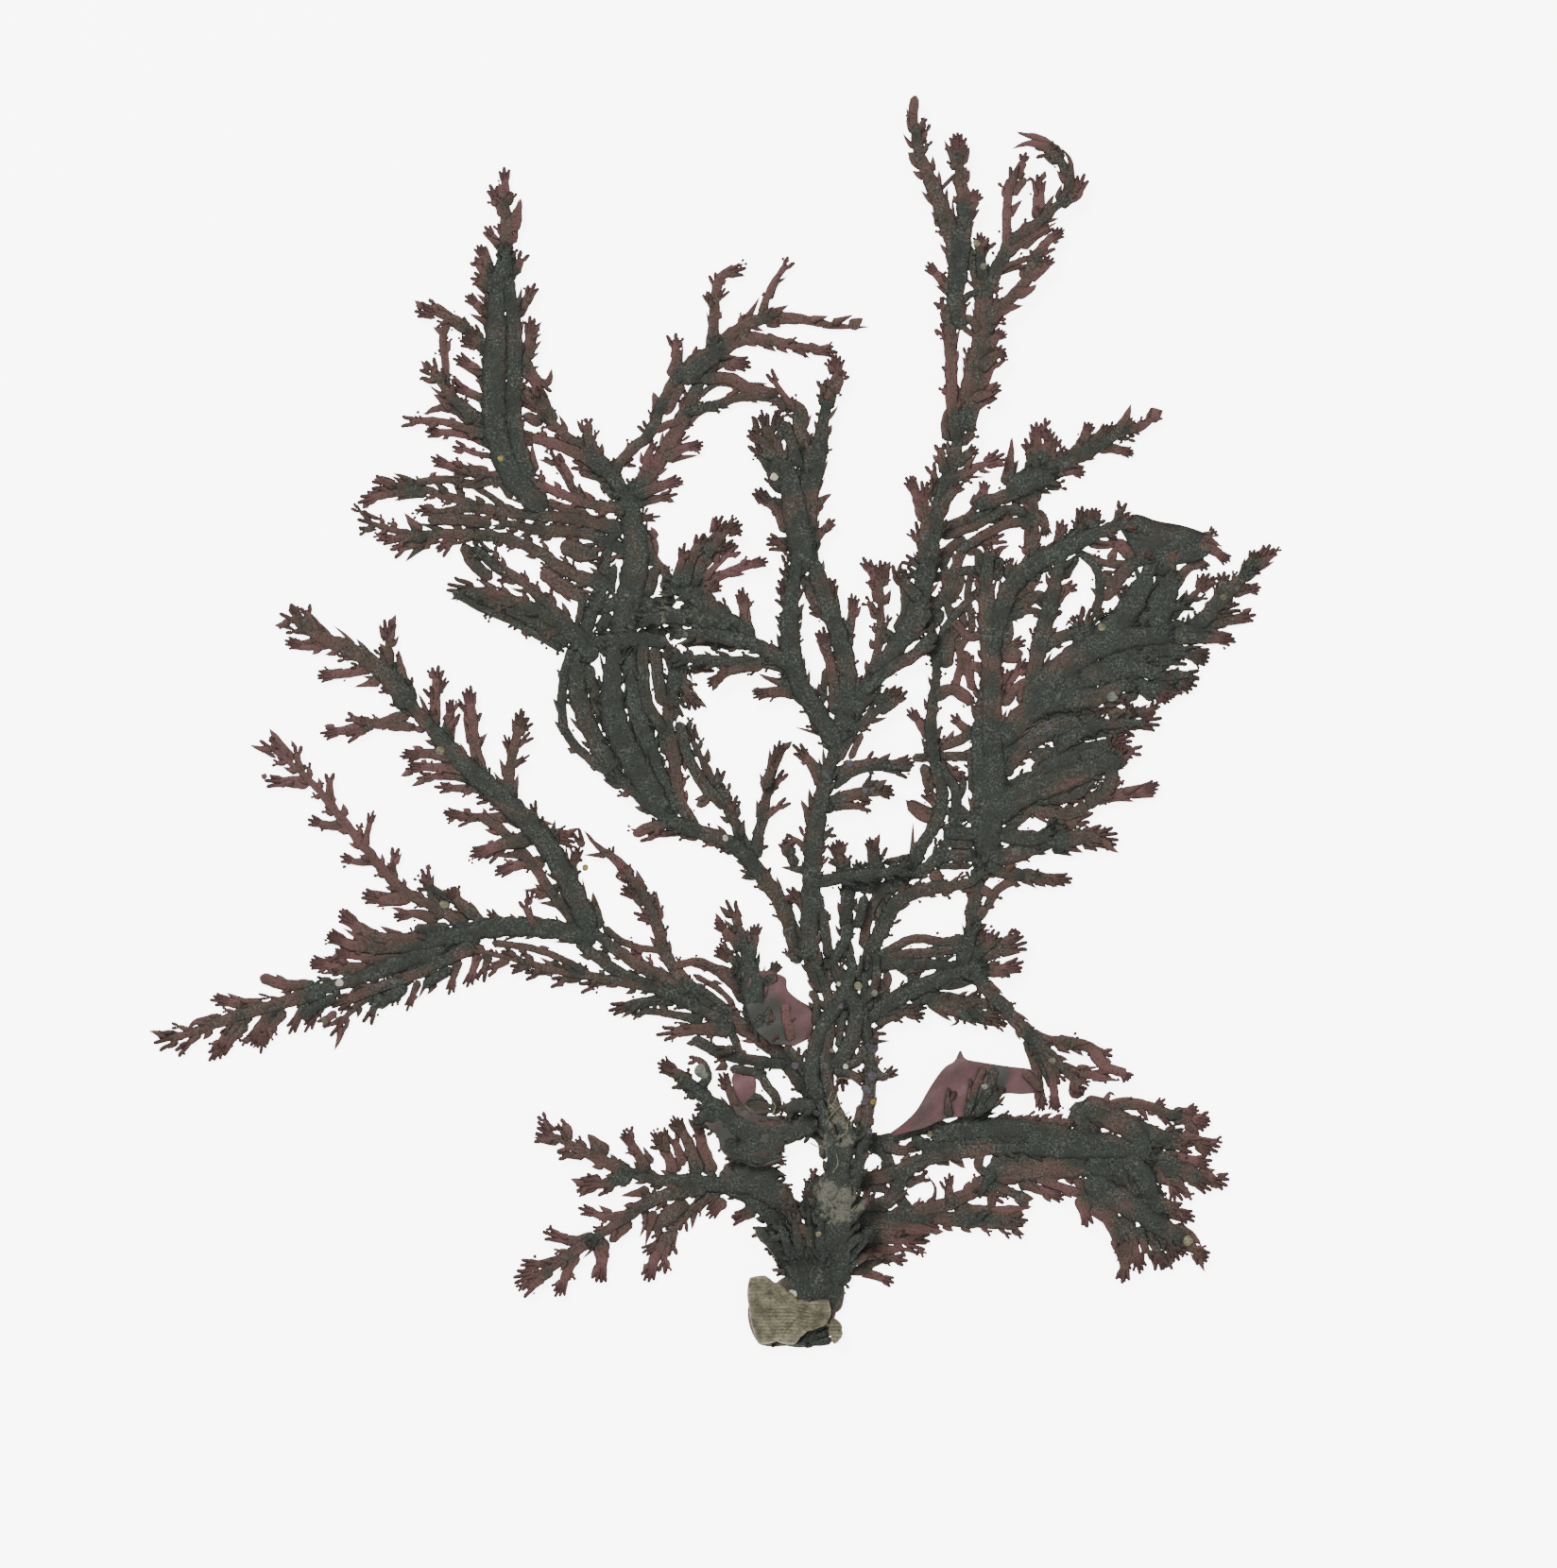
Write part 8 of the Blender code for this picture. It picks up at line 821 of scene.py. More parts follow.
FOOT_RIM = (
    (-4.4, 2.2), (-4.3, -2.2), (-3.9, -2.7), (-1.6, -2.75), (0.8, -2.8), (2.4, -2.6), (2.2, -1.4),
    (2.6, 0.4), (2.9, 2.0), (2.4, 3.6), (0.6, 4.4), (-1.2, 3.6), (-2.4, 2.9),
)
RED_TUFT = (
    (9, 0, 156, 179, 162, 192, 169, 208, 172, 223), (7, 0, 146, 179, 152, 194, 156, 208, 163, 223),
    (7, 2, 164, 186, 172, 196, 178, 209), (6, 2, 132, 179, 130, 192, 136, 206),
    (5, 2, 150, 190, 150, 202, 154, 214), (5, 1, 166, 188, 176, 192, 182, 198),
    (9, 0, 198, 220, 208, 210, 214, 202),
)
RED_SPRAY_MORE = (
    (14, 0, -52, 322, -49, 294, -43, 268, -32, 248), (12, 0, -36, 284, -32, 266, -23, 250),
    (10, 0, -16, 282, -14, 264, -10, 246), (9, 3, -36, 296, -28, 308, -22, 318),
    (7, 2, -42, 276, -28, 282, -18, 292), (8, 0, -50, 280, -40, 260, -24, 244),
)

# Colours, sRGB
THIN_MAROON = 0x503938
YOUNG_MAROON = 0x46332F
MIDDLE_BROWN = 0x3A2E28
OLD_SLATE = 0x2B2A24
DEEP_SLATE = 0x242723
# Dark of the tine ends and pits, also used as painted shade along the edges of every strand
TIP_AND_EDGE_SHADE_BLACK = 0x110E0C
FLECK_GREY = 0x565D58
LIME_TAN = 0x55544A
MEMBRANE_LIGHT = 0x4E2E31
MEMBRANE_RED = 0x452A2B
MEMBRANE_DARK = 0x342422
MEMBRANE_SLATE = 0x22231F
FLOOR_WHITE = 0xF8F8F7

# How thick the tissue counts in the colour
STRAND_DENSITY = 0.55
WIDTH_DENSITY = 0.3
TIP_THINNING = 0.35
CENTRE_DEPTH = 0.2
AXIS_DEPTH = 0.3
ROOT_DEPTH = 0.2
YOUTH_DEPTH = 0.2
TONE_DEPTH = 0.5
DEPTH_THIN = 3.25
DEPTH_THICK = 5.65

# Roughness and specular level of each finish
THALLUS_GLOSS = (0.7, 0.12)
MEMBRANE_GLOSS = (0.55, 0.3)
LIME_GLOSS = (0.85, 0.2)
BOARD_GLOSS = (0.9, 0.1)

# Patterns of the thallus: size in mm, detail and roughness of each one. Cells of about 0.02 mm are
# too fine to show, so the grain is drawn about twenty times as coarse.
CLOUDS = (3.3, 4.0, 0.5)
WRINKLES = (0.45, 4.0, 0.65)
GRAIN = (0.42, 4.0, 0.7)
SPECKS = (0.19, 2.0, 0.8)
DUST = (1.4, 3.0, 0.5)
LIME_SPOTS = (1.0, 5.0, 0.7)

# Values of a pattern or mark between which its effect goes from one amount to another
SPREAD_RANGE = (DEPTH_THIN, DEPTH_THICK, 0.0, 1.0)
SPECK_RANGE = (0.5, 0.7, 0.0, 1.0)
DUST_RANGE = (0.36, 0.62, 0.0, 1.0)
AGED_RANGE = (3.55, 4.75, 0.0, 0.6)
PIT_RANGE = (0.34, 0.48, 0.6, 0.0)
END_RANGE = (0.0, 1.0, 0.0, 0.6)
# Painted shade: each strand darkens towards both edges, standing in for the shade where strands lie over
# each other
EDGE_SHADE_RANGE = (0.66, 1.0, 0.0, 0.62)
LIME_RANGE = (0.76, 0.86, 0.0, 0.75)
COLOUR_STOPS = ((0.0, "thin"), (0.3, "young"), (0.55, "middle"), (0.8, "old"), (1.0, "deep"))

# Patterns of the membranes and of the lime: size in mm and roughness, and where each colour stands
BLOTS = (1.8, 0.6)
MEMBRANE_GRAIN = (0.33, 0.7)
MEMBRANE_STOPS = (0.3, 0.5, 0.7, 1.0)
LIME_CLOUD = 1.1
LIME_GRAIN = 0.24
LIME_STOPS = (0.3, 0.48, 0.68)

# Scale of the wave whose bands stand 0.32 mm apart: 2 pi / (20 * 0.00032)
ZOOID_BANDS = 980.0

# How strongly the cloud, the wrinkles and the fine grain count, and the wrinkles' scale
MOTTLE_WEIGHTS = (2.4, 2.8, 0.9)
RELIEF_WEIGHTS = (0.0, 0.8, 0.6)
WRINKLE_SCALE = (0.28, 2.4, 40.0)

# Zones: x, y, radius in mm, and the amount of age, of lime and of what lies under the membranes
AGE_ZONES = (
    (3.0, 25.0, 26.0, 0.6), (3.0, 52.0, 20.0, 0.4), (-14.0, 55.0, 18.0, 0.3), (24.0, 58.0, 18.0, 0.2),
    (-33.0, 69.0, 15.0, 0.3), (-22.0, 27.0, 13.0, 0.6), (-39.0, 30.0, 10.0, 0.3),
    (-18.0, 10.0, 14.0, -0.2), (-45.0, 51.0, 20.0, -0.4), (-52.0, 24.0, 10.0, -0.2),
    (24.0, 100.0, 16.0, -0.4), (-28.0, 98.0, 12.0, -0.25), (33.0, 43.0, 11.0, -0.35),
    (29.0, 13.0, 16.0, -0.4), (36.0, 62.0, 11.0, 0.3), (-17.0, 56.0, 14.0, 0.6),
    (16.5, 58.0, 6.0, -0.9), (0.0, -3.0, 4.0, 2.5), (-5.0, 16.0, 5.0, -0.9), (-3.6, 27.0, 4.5, -0.9),
)
LIME_ZONES = (
    (3.0, 14.0, 16.0, 0.12), (1.7, 11.3, 1.4, 0.26), (3.4, 10.2, 3.0, 0.24), (1.5, 15.4, 1.4, 0.24),
    (3.6, 16.4, 2.0, 0.2), (3.0, 18.9, 2.0, 0.16), (0.8, 3.0, 2.4, 0.14), (2.7, 26.0, 3.0, 0.12),
    (-2.0, 5.5, 4.0, 0.06), (2.0, 33.0, 8.0, 0.08), (-16.0, 60.0, 12.0, 0.1), (-11.0, 63.5, 6.0, 0.12),
    (24.0, 56.0, 16.0, 0.08), (-26.0, 78.0, 12.0, 0.08),
)
MEMBRANE_ZONES = (
    (17.6, 21.6, 1.5, 0.6), (17.2, 20.2, 1.3, 0.5), (16.0, 19.2, 1.6, 0.55), (15.2, 20.7, 0.9, 0.4),
    (13.2, 19.4, 0.8, 0.3), (13.0, 18.2, 0.9, 0.35), (11.0, 17.4, 2.0, 0.1), (-4.0, 15.0, 9.0, 0.42),
    (-5.4, 20.6, 2.4, -0.42), (-3.8, 26.4, 3.6, 0.5), (-1.4, 25.4, 1.8, 0.3), (32.5, 69.5, 13.0, 2.0),
)

# Stage
FLOOR_SIZE = 6.0
FLOOR_GLOW = 6.5
WORLD_STRENGTH = 1.0
LAMPS = (
    ("soft_key", (-0.5, 0.7, 0.9), 0.5, 26.0),
    ("soft_fill", (0.7, -0.3, 0.9), 0.9, 8.0),
)
VIEW_CENTRE = (-2.21, 47.79)
LENS = 200.0
SENSOR = 36.0

# Each frond: its node, rows, level, shift, finish and blades
FRONDS = (
    ("frond_south_west", SOUTH_WEST + SOUTH_WEST_MORE, 0, NO_SHIFT, "dried_tips", ()),
    ("frond_south_east", SOUTH_EAST + SOUTH_EAST_MORE, 0, NO_SHIFT, "dried_frond", ()),
    ("frond_west", WEST + WEST_MORE, 0, WEST_SHIFT, "dried_frond", ()),
    ("frond_north_west", NORTH_WEST + NORTH_WEST_MORE, 0, NO_SHIFT, "dried_frond", ()),
    ("frond_north_east", NORTH_EAST + NORTH_EAST_MORE + FOLDED_TINES, 0, NO_SHIFT, "dried_tips",
     (FOLDED_BLADE_EDGES, SMALL_LEAF_EDGES)),
    ("frond_north", NORTH + NORTH_MORE, 1, NO_SHIFT, "dried_frond", ()),
    ("frond_east", EAST + EAST_MORE, 1, NO_SHIFT, "dried_frond", ()),
)
OTHER_ROWS = STEMS + STEMS_MORE + DARK_SPRAY + DARK_SPRAY_MORE + RED_SPRAY + RED_SPRAY_MORE + RED_TUFT

# Each broad blade: its strands and their level, its sheets, finish, the sheets' and strands' nodes
BLADES = (
    ("red_blade", RED_TUFT, 1.25, (RED_BLADE_EDGES,), "red_membrane", ["red_blade"], []),
    ("dark_blade", DARK_SPRAY + DARK_SPRAY_MORE, 1, (DARK_BLADE_EDGES, SMALL_RED_EDGES),
     "dark_membrane", [], ["dark_blade"]),
    ("red_spray", RED_SPRAY + RED_SPRAY_MORE, 1, (MIDDLE_BLADE_EDGES,), "dark_membrane", [],
     ["red_spray"]),
)

# Broad sheets: grid step, heights over their level, thicknesses, puckers and creases
SHEET_STEP = 0.25
FROND_SHEET = (0.05, 0.2)
SPRAY_SHEET = (0.1, 0.15)
PUCKER = 0.05
CREASE = 0.08

# Mounds of the crust: rim, centre and height, and the rings and spokes of their points
ZOOID_ROW = 0.3
ZOOID_LENGTH = 0.5
MOUNDS = ((CRUST_RIM, (-0.9, 0.0), 1.05), (LOBE_RIM, (2.9, -1.4), 0.7))
MOUND_GRID = (45, 150)
MOUND_LIFT = 0.1
MOUND_RIM = 0.25
FOOT_CENTRE = (-0.9, 1.0)
FOOT_GRID = (10, 48)
CENTRE_SHARE = 0.002

# Seeds of the random draws
STEM_SEED = 40
SHEET_SEED = 60
SPRAY_SEED = 70
DISC_SEED = 80

# Discs, bits and threads on the fronds: colours, then x, y, radius of each disc, then the threads
DISC_REACH = 0.45
DISC_SINK = 0.1
DISC_HEIGHT = 0.14
DISC_CORNERS = 9
DISC_WANDER = (0.8, 1.2)
DISC_GRID = (6, 20)
THREAD = 0.12
THREAD_STATION = 0.15
CRUSTS = (
    ("bryozoan_lime", (0x312F24, 0x575444, 0x6E6A55), (
        (15.6, 96.4, 0.35), (16.2, 94.3, 0.35), (37.8, 64.6, 0.35), (26.9, 61.9, 0.4),
        (34.6, 6.7, 0.45), (-32.3, 36.9, 0.4), (-32.6, 50.8, 0.4), (-43.0, 26.5, 0.35), (22.4, 22.9, 0.35),
        (5.0, 29.6, 0.4), (11.4, 16.3, 0.3), (2.6, 23.8, 0.25), (1.4, 7.4, 0.25)), (
        ((2.6, 20.2), (2.3, 19.2), (2.9, 18.4), (3.4, 17.7)), ((2.2, 18.6), (2.8, 19.2), (3.1, 20.2)),
        ((3.0, 17.5), (3.6, 17.9), (4.2, 18.4)), ((-3.7, 21.4), (-3.2, 21.1), (-3.0, 20.6)),
        ((2.8, 21.0), (3.4, 21.4), (4.2, 21.2)), ((2.0, 17.2), (2.5, 18.0), (3.4, 18.9)),
        ((3.3, 16.0), (3.9, 16.6), (4.0, 17.4)), ((-2.9, 19.4), (-2.5, 18.8), (-2.8, 18.0)),
        ((0.6, 15.6), (1.4, 15.2), (2.2, 15.5)), ((2.6, 12.8), (3.1, 13.6), (3.0, 14.6)))),
    ("grey_lime", (0x33372F, 0x4F5249, 0x63655C), (
        (27.8, 55.6, 0.5), (-9.2, 22.0, 0.6), (-8.9, 21.6, 0.4), (16.3, 20.6, 0.3), (6.4, 29.0, 0.3)), ()),
    ("pale_lime", (0x6E6A5C, 0x8D8878, 0xA59F8E), (
        (-41.7, 29.9, 0.4), (-2.6, 75.4, 0.35), (-0.9, 1.9, 0.4), (-7.0, 42.9, 0.3),
        (-0.6, 1.2, 0.25), (3.2, 29.8, 0.2), (3.8, 22.4, 0.25)), ()),
    ("purple_lime", (0x282427, 0x3A343A, 0x474147), (
        (22.1, 52.9, 0.4), (6.3, 24.0, 0.45), (6.2, 21.5, 0.45), (5.7, 20.3, 0.45), (5.5, 19.2, 0.35),
        (-0.7, 22.5, 0.35), (6.0, 16.6, 0.3), (3.4, 27.8, 0.3), (4.2, 49.6, 0.35), (5.6, 47.2, 0.3)), ()),
    ("straw_chaff", (0x4A3F1E, 0x6B5B30, 0x7D6C3C), (
        (-27.2, 77.1, 0.3), (-19.6, 40.3, 0.3), (6.3, 19.2, 0.3)), ()),
)


def linear(code):
    """Linear colour of an sRGB hex value."""
    channels = np.array([(code >> 16) & 0xFF, (code >> 8) & 0xFF, code & 0xFF]) / 255.0
    low = channels / 12.92
    high = ((channels + 0.055) / 1.055) ** 2.4
    return tuple(float(v) for v in np.where(channels <= 0.04045, low, high))


def smooth_share(value, start, end):
    """Rise from 0 at start to 1 at end: 3 t^2 - 2 t^3, where t is the share of the way."""
    share = np.clip((value - start) / (end - start), 0.0, 1.0)
    return share * share * (3.0 - 2.0 * share)


def wave_height(x, y):
    """Height of the plane the plant lies on: two squared sines, faded out round the holdfast."""
    across = np.sin(math.pi * (x / WAVE_X + WAVE_START_X)) ** 2
    along = np.sin(math.pi * (y / WAVE_Y + WAVE_START_Y)) ** 2
    return WAVE * (across + along) * smooth_share(np.hypot(x, y), LEVEL_RADIUS, WAVE_RADIUS)


def bundle_thickness(y):
    """Thickness of the stem bundle: thin at the foot, thickest above it, thinner to the ends."""
    rise = FOOT + (BUNDLE - FOOT) * smooth_share(y, FOOT_END, BUNDLE_START)
    return rise - (BUNDLE - STEM) * smooth_share(y, BUNDLE_START, BUNDLE_END)


def smooth_route(route, step):
    """Points about a step apart on the Catmull-Rom curve through the route.

    Between b and c, with a before and d after, the curve at t is
    (2 b + (c - a) t + (2 a - 5 b + 4 c - d) t^2 + (3 b - a - 3 c + d) t^3) / 2.
    """
    points = np.array(route, float)
    ends = np.vstack((2 * points[0] - points[1], points, 2 * points[-1] - points[-2]))
    lengths = np.linalg.norm(np.diff(points, axis=0), axis=1)
    counts = np.maximum(np.ceil(lengths / step).astype(int), 1)
    part = np.repeat(np.arange(len(counts)), counts)
    first = np.repeat(np.cumsum(counts) - counts, counts)
    t = ((np.arange(len(part)) - first) / counts[part])[:, None]
    a, b, c, d = (ends[part + k] for k in range(4))
    curve = 2 * b + (c - a) * t + (2 * a - 5 * b + 4 * c - d) * t**2 + (3 * b - a - 3 * c + d) * t**3
    return np.vstack((curve / 2, points[-1:]))


def read_rows(rows):
    """Width in millimetres, tines and route in millimetres of each row of a table of branches."""
    return [(row[0] / TENTHS, row[1], np.array(row[2:]).reshape(-1, 2) / TENTHS) for row in rows]


def path_run(path):
    """Length along the path at each of its points."""
    return np.concatenate(([0.0], np.cumsum(np.linalg.norm(np.diff(path, axis=0), axis=1))))


def path_sides(path):
    """Unit vector to the left of the path at each of its points."""
    ahead = np.gradient(path, axis=0)
    ahead /= np.maximum(np.linalg.norm(ahead, axis=1), 1e-9)[:, None]
    return np.stack((-ahead[:, 1], ahead[:, 0]), axis=1)


def strand_half(run, width, tines):
    """Half width along a strand: webbed out at the root, and a spur narrows to a point."""
    share = run / run[-1]
    half = np.full(len(run), width / 2)
    if tines == 1:
        half *= (SPUR_ROOT - SPUR_TAPER * share) * np.sqrt(1 - share**3)
    if tines > 1:
        half *= TWIG_ROOT - TWIG_TAPER * share
    if tines > 0:
        half *= 1 + FLARE * np.exp(-run / (FLARE_START + FLARE_LENGTH * width))
    return half


def body_half(run, width, tines):
    """Half width of a strand's flat body; on a broad strand its side teeth make up the rest."""
    half = strand_half(run, width, tines)
    if width >= BROAD_FROM and tines != 1:
        ending = 1 - END_NARROWING * smooth_share(run / run[-1], END_NARROWS_FROM, 1.0)
        half = half * ending * (DENSE_BODY if tines == 0 else TWIG_BODY)
    return half


def tine_paths(width, tines, route, rng):
    """Paths of the fan of tines at the end of a twig, and how far the fan reaches.

    Each tine leaves the twig near its middle, and the outer ones end lower, on a parabola.
    """
    end = np.array(route[-1])
    last = math.dist(route[-2], end)
    ahead = (end - route[-2]) / last
    side = np.array((-ahead[1], ahead[0]))
    reach = min(TINE_LENGTH + TINE_LENGTH_SHARE * width, TINE_LENGTH_MOST * last)
    spread = TINE_SPREAD + TINE_SPREAD_SHARE * width
    paths = []
    for place in np.linspace(1, -1, tines):
        drop = reach * (TINE_ARC * place * place + rng.uniform(-TINE_DROP, TINE_DROP))
        out = spread * place + rng.uniform(-TINE_DRIFT, TINE_DRIFT)
        root = end - ahead * reach * TINE_ROOT[0] + side * TINE_ROOT[1] * width * place
        middle = end - ahead * reach * TINE_MIDDLE[0] + side * out * TINE_MIDDLE[1]
        tip = end - ahead * drop + side * out
        paths.append((root, middle, tip))
    return paths, reach


def side_teeth(path, half, width, tines, rng):
    """Width, tines and route of the short branchlets along both sides of a strand and at its end.

    A branchlet starts between the strand's middle and its edge and leaves it at a seeded angle, on
    the two sides by turns. Its length is the way out past the row's width over the angle's sine.
    """
    run = path_run(path)
    side = path_sides(path)
    broad = width >= BROAD_FROM
    spacing = TOOTH_SPACING if broad else SPARSE_SPACING
    places = np.arange(TOOTH_START * spacing, run[-1], spacing / 2)
    places = places + rng.uniform(-TOOTH_DRIFT, TOOTH_DRIFT, len(places)) * spacing
    turns = rng.uniform(*TOOTH_ANGLE, len(places))
    ending = END_TEETH if broad and tines == 0 else 0
    places = np.append(places, np.full(ending, run[-1]))
    turns = np.append(turns, rng.uniform(*END_ANGLE, ending))
    rows = []
    for number, (place, turn) in enumerate(zip(places, turns)):
        sign = 1 - 2 * (number % 2)
        x, y, sx, sy, wide = (
            float(np.interp(place, run, column)) for column in (*path.T, *side.T, half))
        start = wide * rng.uniform(*TOOTH_ROOT)
        out = width / 2 - start + rng.uniform(*TOOTH_OUT)
        longest = TOOTH_LONGEST if number < len(places) - ending else END_LONGEST
        length = min(out / math.sin(turn), longest)
        back = min(length * math.cos(turn) * TOOTH_BACK, place)
        x += start * sign * sx - back * sy
        y += start * sign * sy + back * sx
        points = [(x, y)]
        for share, bend in TOOTH_BENDS:
            ahead = math.cos(turn * bend) * length * share
            out = math.sin(turn * bend) * length * share * sign
            points.append((x + sy * ahead + sx * out, y - sx * ahead + sy * out))
        rows.append((rng.uniform(*TOOTH_WIDTH), int(rng.choice(TOOTH_TINES)), points))
    return rows


def strand_surface(path, half, thick, base, marks, columns, ragged, rng):
    """Closed surface of one strand: a flat-bottomed dome carried along its path.

    Across the strand a runs from 1 at the left edge to -1 at the right one. The height over the
    base is thick * (RIM + (1 - RIM) * (1 - a^2)^DOME). Each edge wanders by ragged millimetres
    times a sum of sines of the length, and the ends are drawn in and closed by a pole.
    """
    run = path_run(path)
    side = path_sides(path)
    cap = np.minimum(run, run[-1] - run) / np.maximum(half, LEAST_CAP)
    close = np.sqrt(np.clip(1 - (1 - np.clip(cap, 0, 1)) ** 2, LEAST_CLOSE, 1))
    edges = []
    for long_wave, short_wave in EDGE_WAVES:
        phase = rng.uniform(0, 2 * math.pi, 2)
        wander = np.sin(2 * math.pi * run / long_wave + phase[0])
        wander = wander + EDGE_SHORT * np.sin(2 * math.pi * run / short_wave + phase[1])
        edges.append(np.maximum((half + ragged * wander) * close, LEAST_HALF))
    a = np.cos(np.linspace(0, math.pi, columns))
    across = np.concatenate((a, (-FLAT_SHARE, FLAT_SHARE)))
    reach = np.where(across > 0, edges[0][:, None], edges[1][:, None]) * across
    points = path[:, None, :] + side[:, None, :] * reach[:, :, None]
    dome = RIM + (1 - RIM) * (1 - a**2) ** DOME
    top = (thick * close)[:, None] * dome
    low = np.zeros((len(path), 2))
    heights = base[:, None] + np.hstack((top, low))
    ring = len(across)
    body = np.concatenate((points, heights[:, :, None]), axis=2).reshape(-1, 3)
    middle = thick[[0, -1]] * POLE_SHARE + base[[0, -1]]
    tuck = POLE_TUCK * np.array([path[0] - path[1], path[-1] - path[-2]])
    poles = np.column_stack((path[[0, -1]] + tuck, middle))
    j = np.arange(ring)
    k = (j + 1) % ring
    row = np.arange(len(path) - 1)[:, None] * ring
    quads = np.stack((row + j, row + k, row + ring + k, row + ring + j), axis=2).reshape(-1, 4)
    start = len(body)
    last = (len(path) - 1) * ring
    caps = np.concatenate((
        np.stack((np.full(ring, start), k, j), axis=1),
        np.stack((np.full(ring, start + 1), last + j, last + k), axis=1),
    ))
    around = np.broadcast_to(across, (len(path), ring)).reshape(-1)
    carried = [np.append(np.repeat(mark, ring), (mark[0], mark[-1])) for mark in marks]
    carried.append(np.append(around, (0.0, 0.0)))
    return np.vstack((body, poles)), quads, caps, np.column_stack(carried)


def grid_surface(points, marks, wrap):
    """Quads of a closed sheet: a grid of points over its upper face, and the same below.

    points is rows by columns by 3 for the upper face and the lower one. With wrap the columns
    close into a ring and the first row is a pole.
    """
    upper, lower = points
    rows, columns = upper.shape[:2]
    count = rows * columns
    index = np.arange(count).reshape(rows, columns)
    a = index[:-1, :-1].reshape(-1)
    b = index[1:, :-1].reshape(-1)
    c = index[1:, 1:].reshape(-1)
    d = index[:-1, 1:].reshape(-1)
    if wrap:
        nxt = np.roll(index, -1, axis=1)
        a, b, c, d = (g.reshape(-1) for g in (index[:-1], index[1:], nxt[1:], nxt[:-1]))
        rim = index[-1]
        rim_next = nxt[-1]
    else:
        rim = np.concatenate((index[:-1, 0], index[-1, :-1], index[:0:-1, -1], index[0, :0:-1]))
        rim_next = np.roll(rim, -1)
    top = np.stack((a, b, c, d), axis=1)
    bottom = top[:, ::-1] + count
    wall = np.stack((rim, rim + count, rim_next + count, rim_next), axis=1)
    body = np.vstack((upper.reshape(-1, 3), lower.reshape(-1, 3)))
    return body, np.vstack((top, bottom, wall)), np.vstack((marks, marks))


def solid_volume(points, quads, caps):
    """Signed volume of a closed surface, positive where its faces point out."""
    triangles = np.vstack((quads[:, [0, 1, 2]], quads[:, [0, 2, 3]], caps))
    a, b, c = (points[triangles[:, k]] for k in range(3))
    return float(np.sum(a * np.cross(b, c)) / 6)


MARKS = ("age", "tip", "tone", "run", "across", "lime")


def all_rows():
    """Every branch with its shift, for the map of layers."""
    for _, rows, _, shift, _, _ in FRONDS:
        for row in read_rows(rows):
            yield row, shift
    for row in read_rows(OTHER_ROWS):
        yield row, NO_SHIFT


@functools.lru_cache(maxsize=1)
def layer_map():
    """How much dried tissue lies over each spot, spread by a Gaussian of MAP_BLUR.

    Each strand is sampled on a grid along and across it, each sample adds its own area times the
    strand's thickness to its cell, and the sum is blurred by a product of Fourier transforms.
    """
    columns = int((MAP_HIGH[0] - MAP_LOW[0]) / MAP_PITCH)
    rows = int((MAP_HIGH[1] - MAP_LOW[1]) / MAP_PITCH)
    layers = np.zeros((rows, columns))
    for (width, tines, route), shift in all_rows():
        path = smooth_route(route, MAP_PITCH) + shift
        run = path_run(path)
        half = strand_half(run, width, tines)
        across = np.linspace(-1, 1, int(width / MAP_PITCH) + 2)
        spots = path[:, None, :] + path_sides(path)[:, None, :] * (half[:, None] * across)[:, :, None]
        density = STRAND_DENSITY + WIDTH_DENSITY * width
        if tines > 0:
            density = density * (1 - TIP_THINNING * run / run[-1])
        area = 2 * half * MAP_PITCH / len(across) / MAP_PITCH**2
        weight = np.broadcast_to((area * density)[:, None], spots.shape[:2])
        ix = ((spots[:, :, 0] - MAP_LOW[0]) / MAP_PITCH).astype(int)
        iy = ((spots[:, :, 1] - MAP_LOW[1]) / MAP_PITCH).astype(int)
        np.add.at(layers, (iy, ix), weight)
    fy = np.fft.fftfreq(rows, MAP_PITCH)[:, None]
    fx = np.fft.rfftfreq(columns, MAP_PITCH)[None, :]
    blur = np.exp(-2 * (math.pi * MAP_BLUR) ** 2 * (fx**2 + fy**2))
    return np.fft.irfft2(np.fft.rfft2(layers) * blur, layers.shape)


def layers_at(points):
    """The layer map at the points, straight between its cells."""
    layers = layer_map()
    x = (points[:, 0] - MAP_LOW[0]) / MAP_PITCH - 0.5
    y = (points[:, 1] - MAP_LOW[1]) / MAP_PITCH - 0.5
    ix = np.clip(x.astype(int), 0, layers.shape[1] - 2)
    iy = np.clip(y.astype(int), 0, layers.shape[0] - 2)
    u = x - ix
    v = y - iy
    low = layers[iy, ix] * (1 - u) + layers[iy, ix + 1] * u
    high = layers[iy + 1, ix] * (1 - u) + layers[iy + 1, ix + 1] * u
    return low * (1 - v) + high * v


def zone_sum(points, zones):
    """Sum of the amounts of the round zones, each one fading out towards its radius."""
    total = np.zeros(len(points))
    for x, y, radius, amount in zones:
        distance = np.hypot(points[:, 0] - x, points[:, 1] - y)
        total += amount * (1 - smooth_share(distance, ZONE_CORE * radius, radius))
    return total


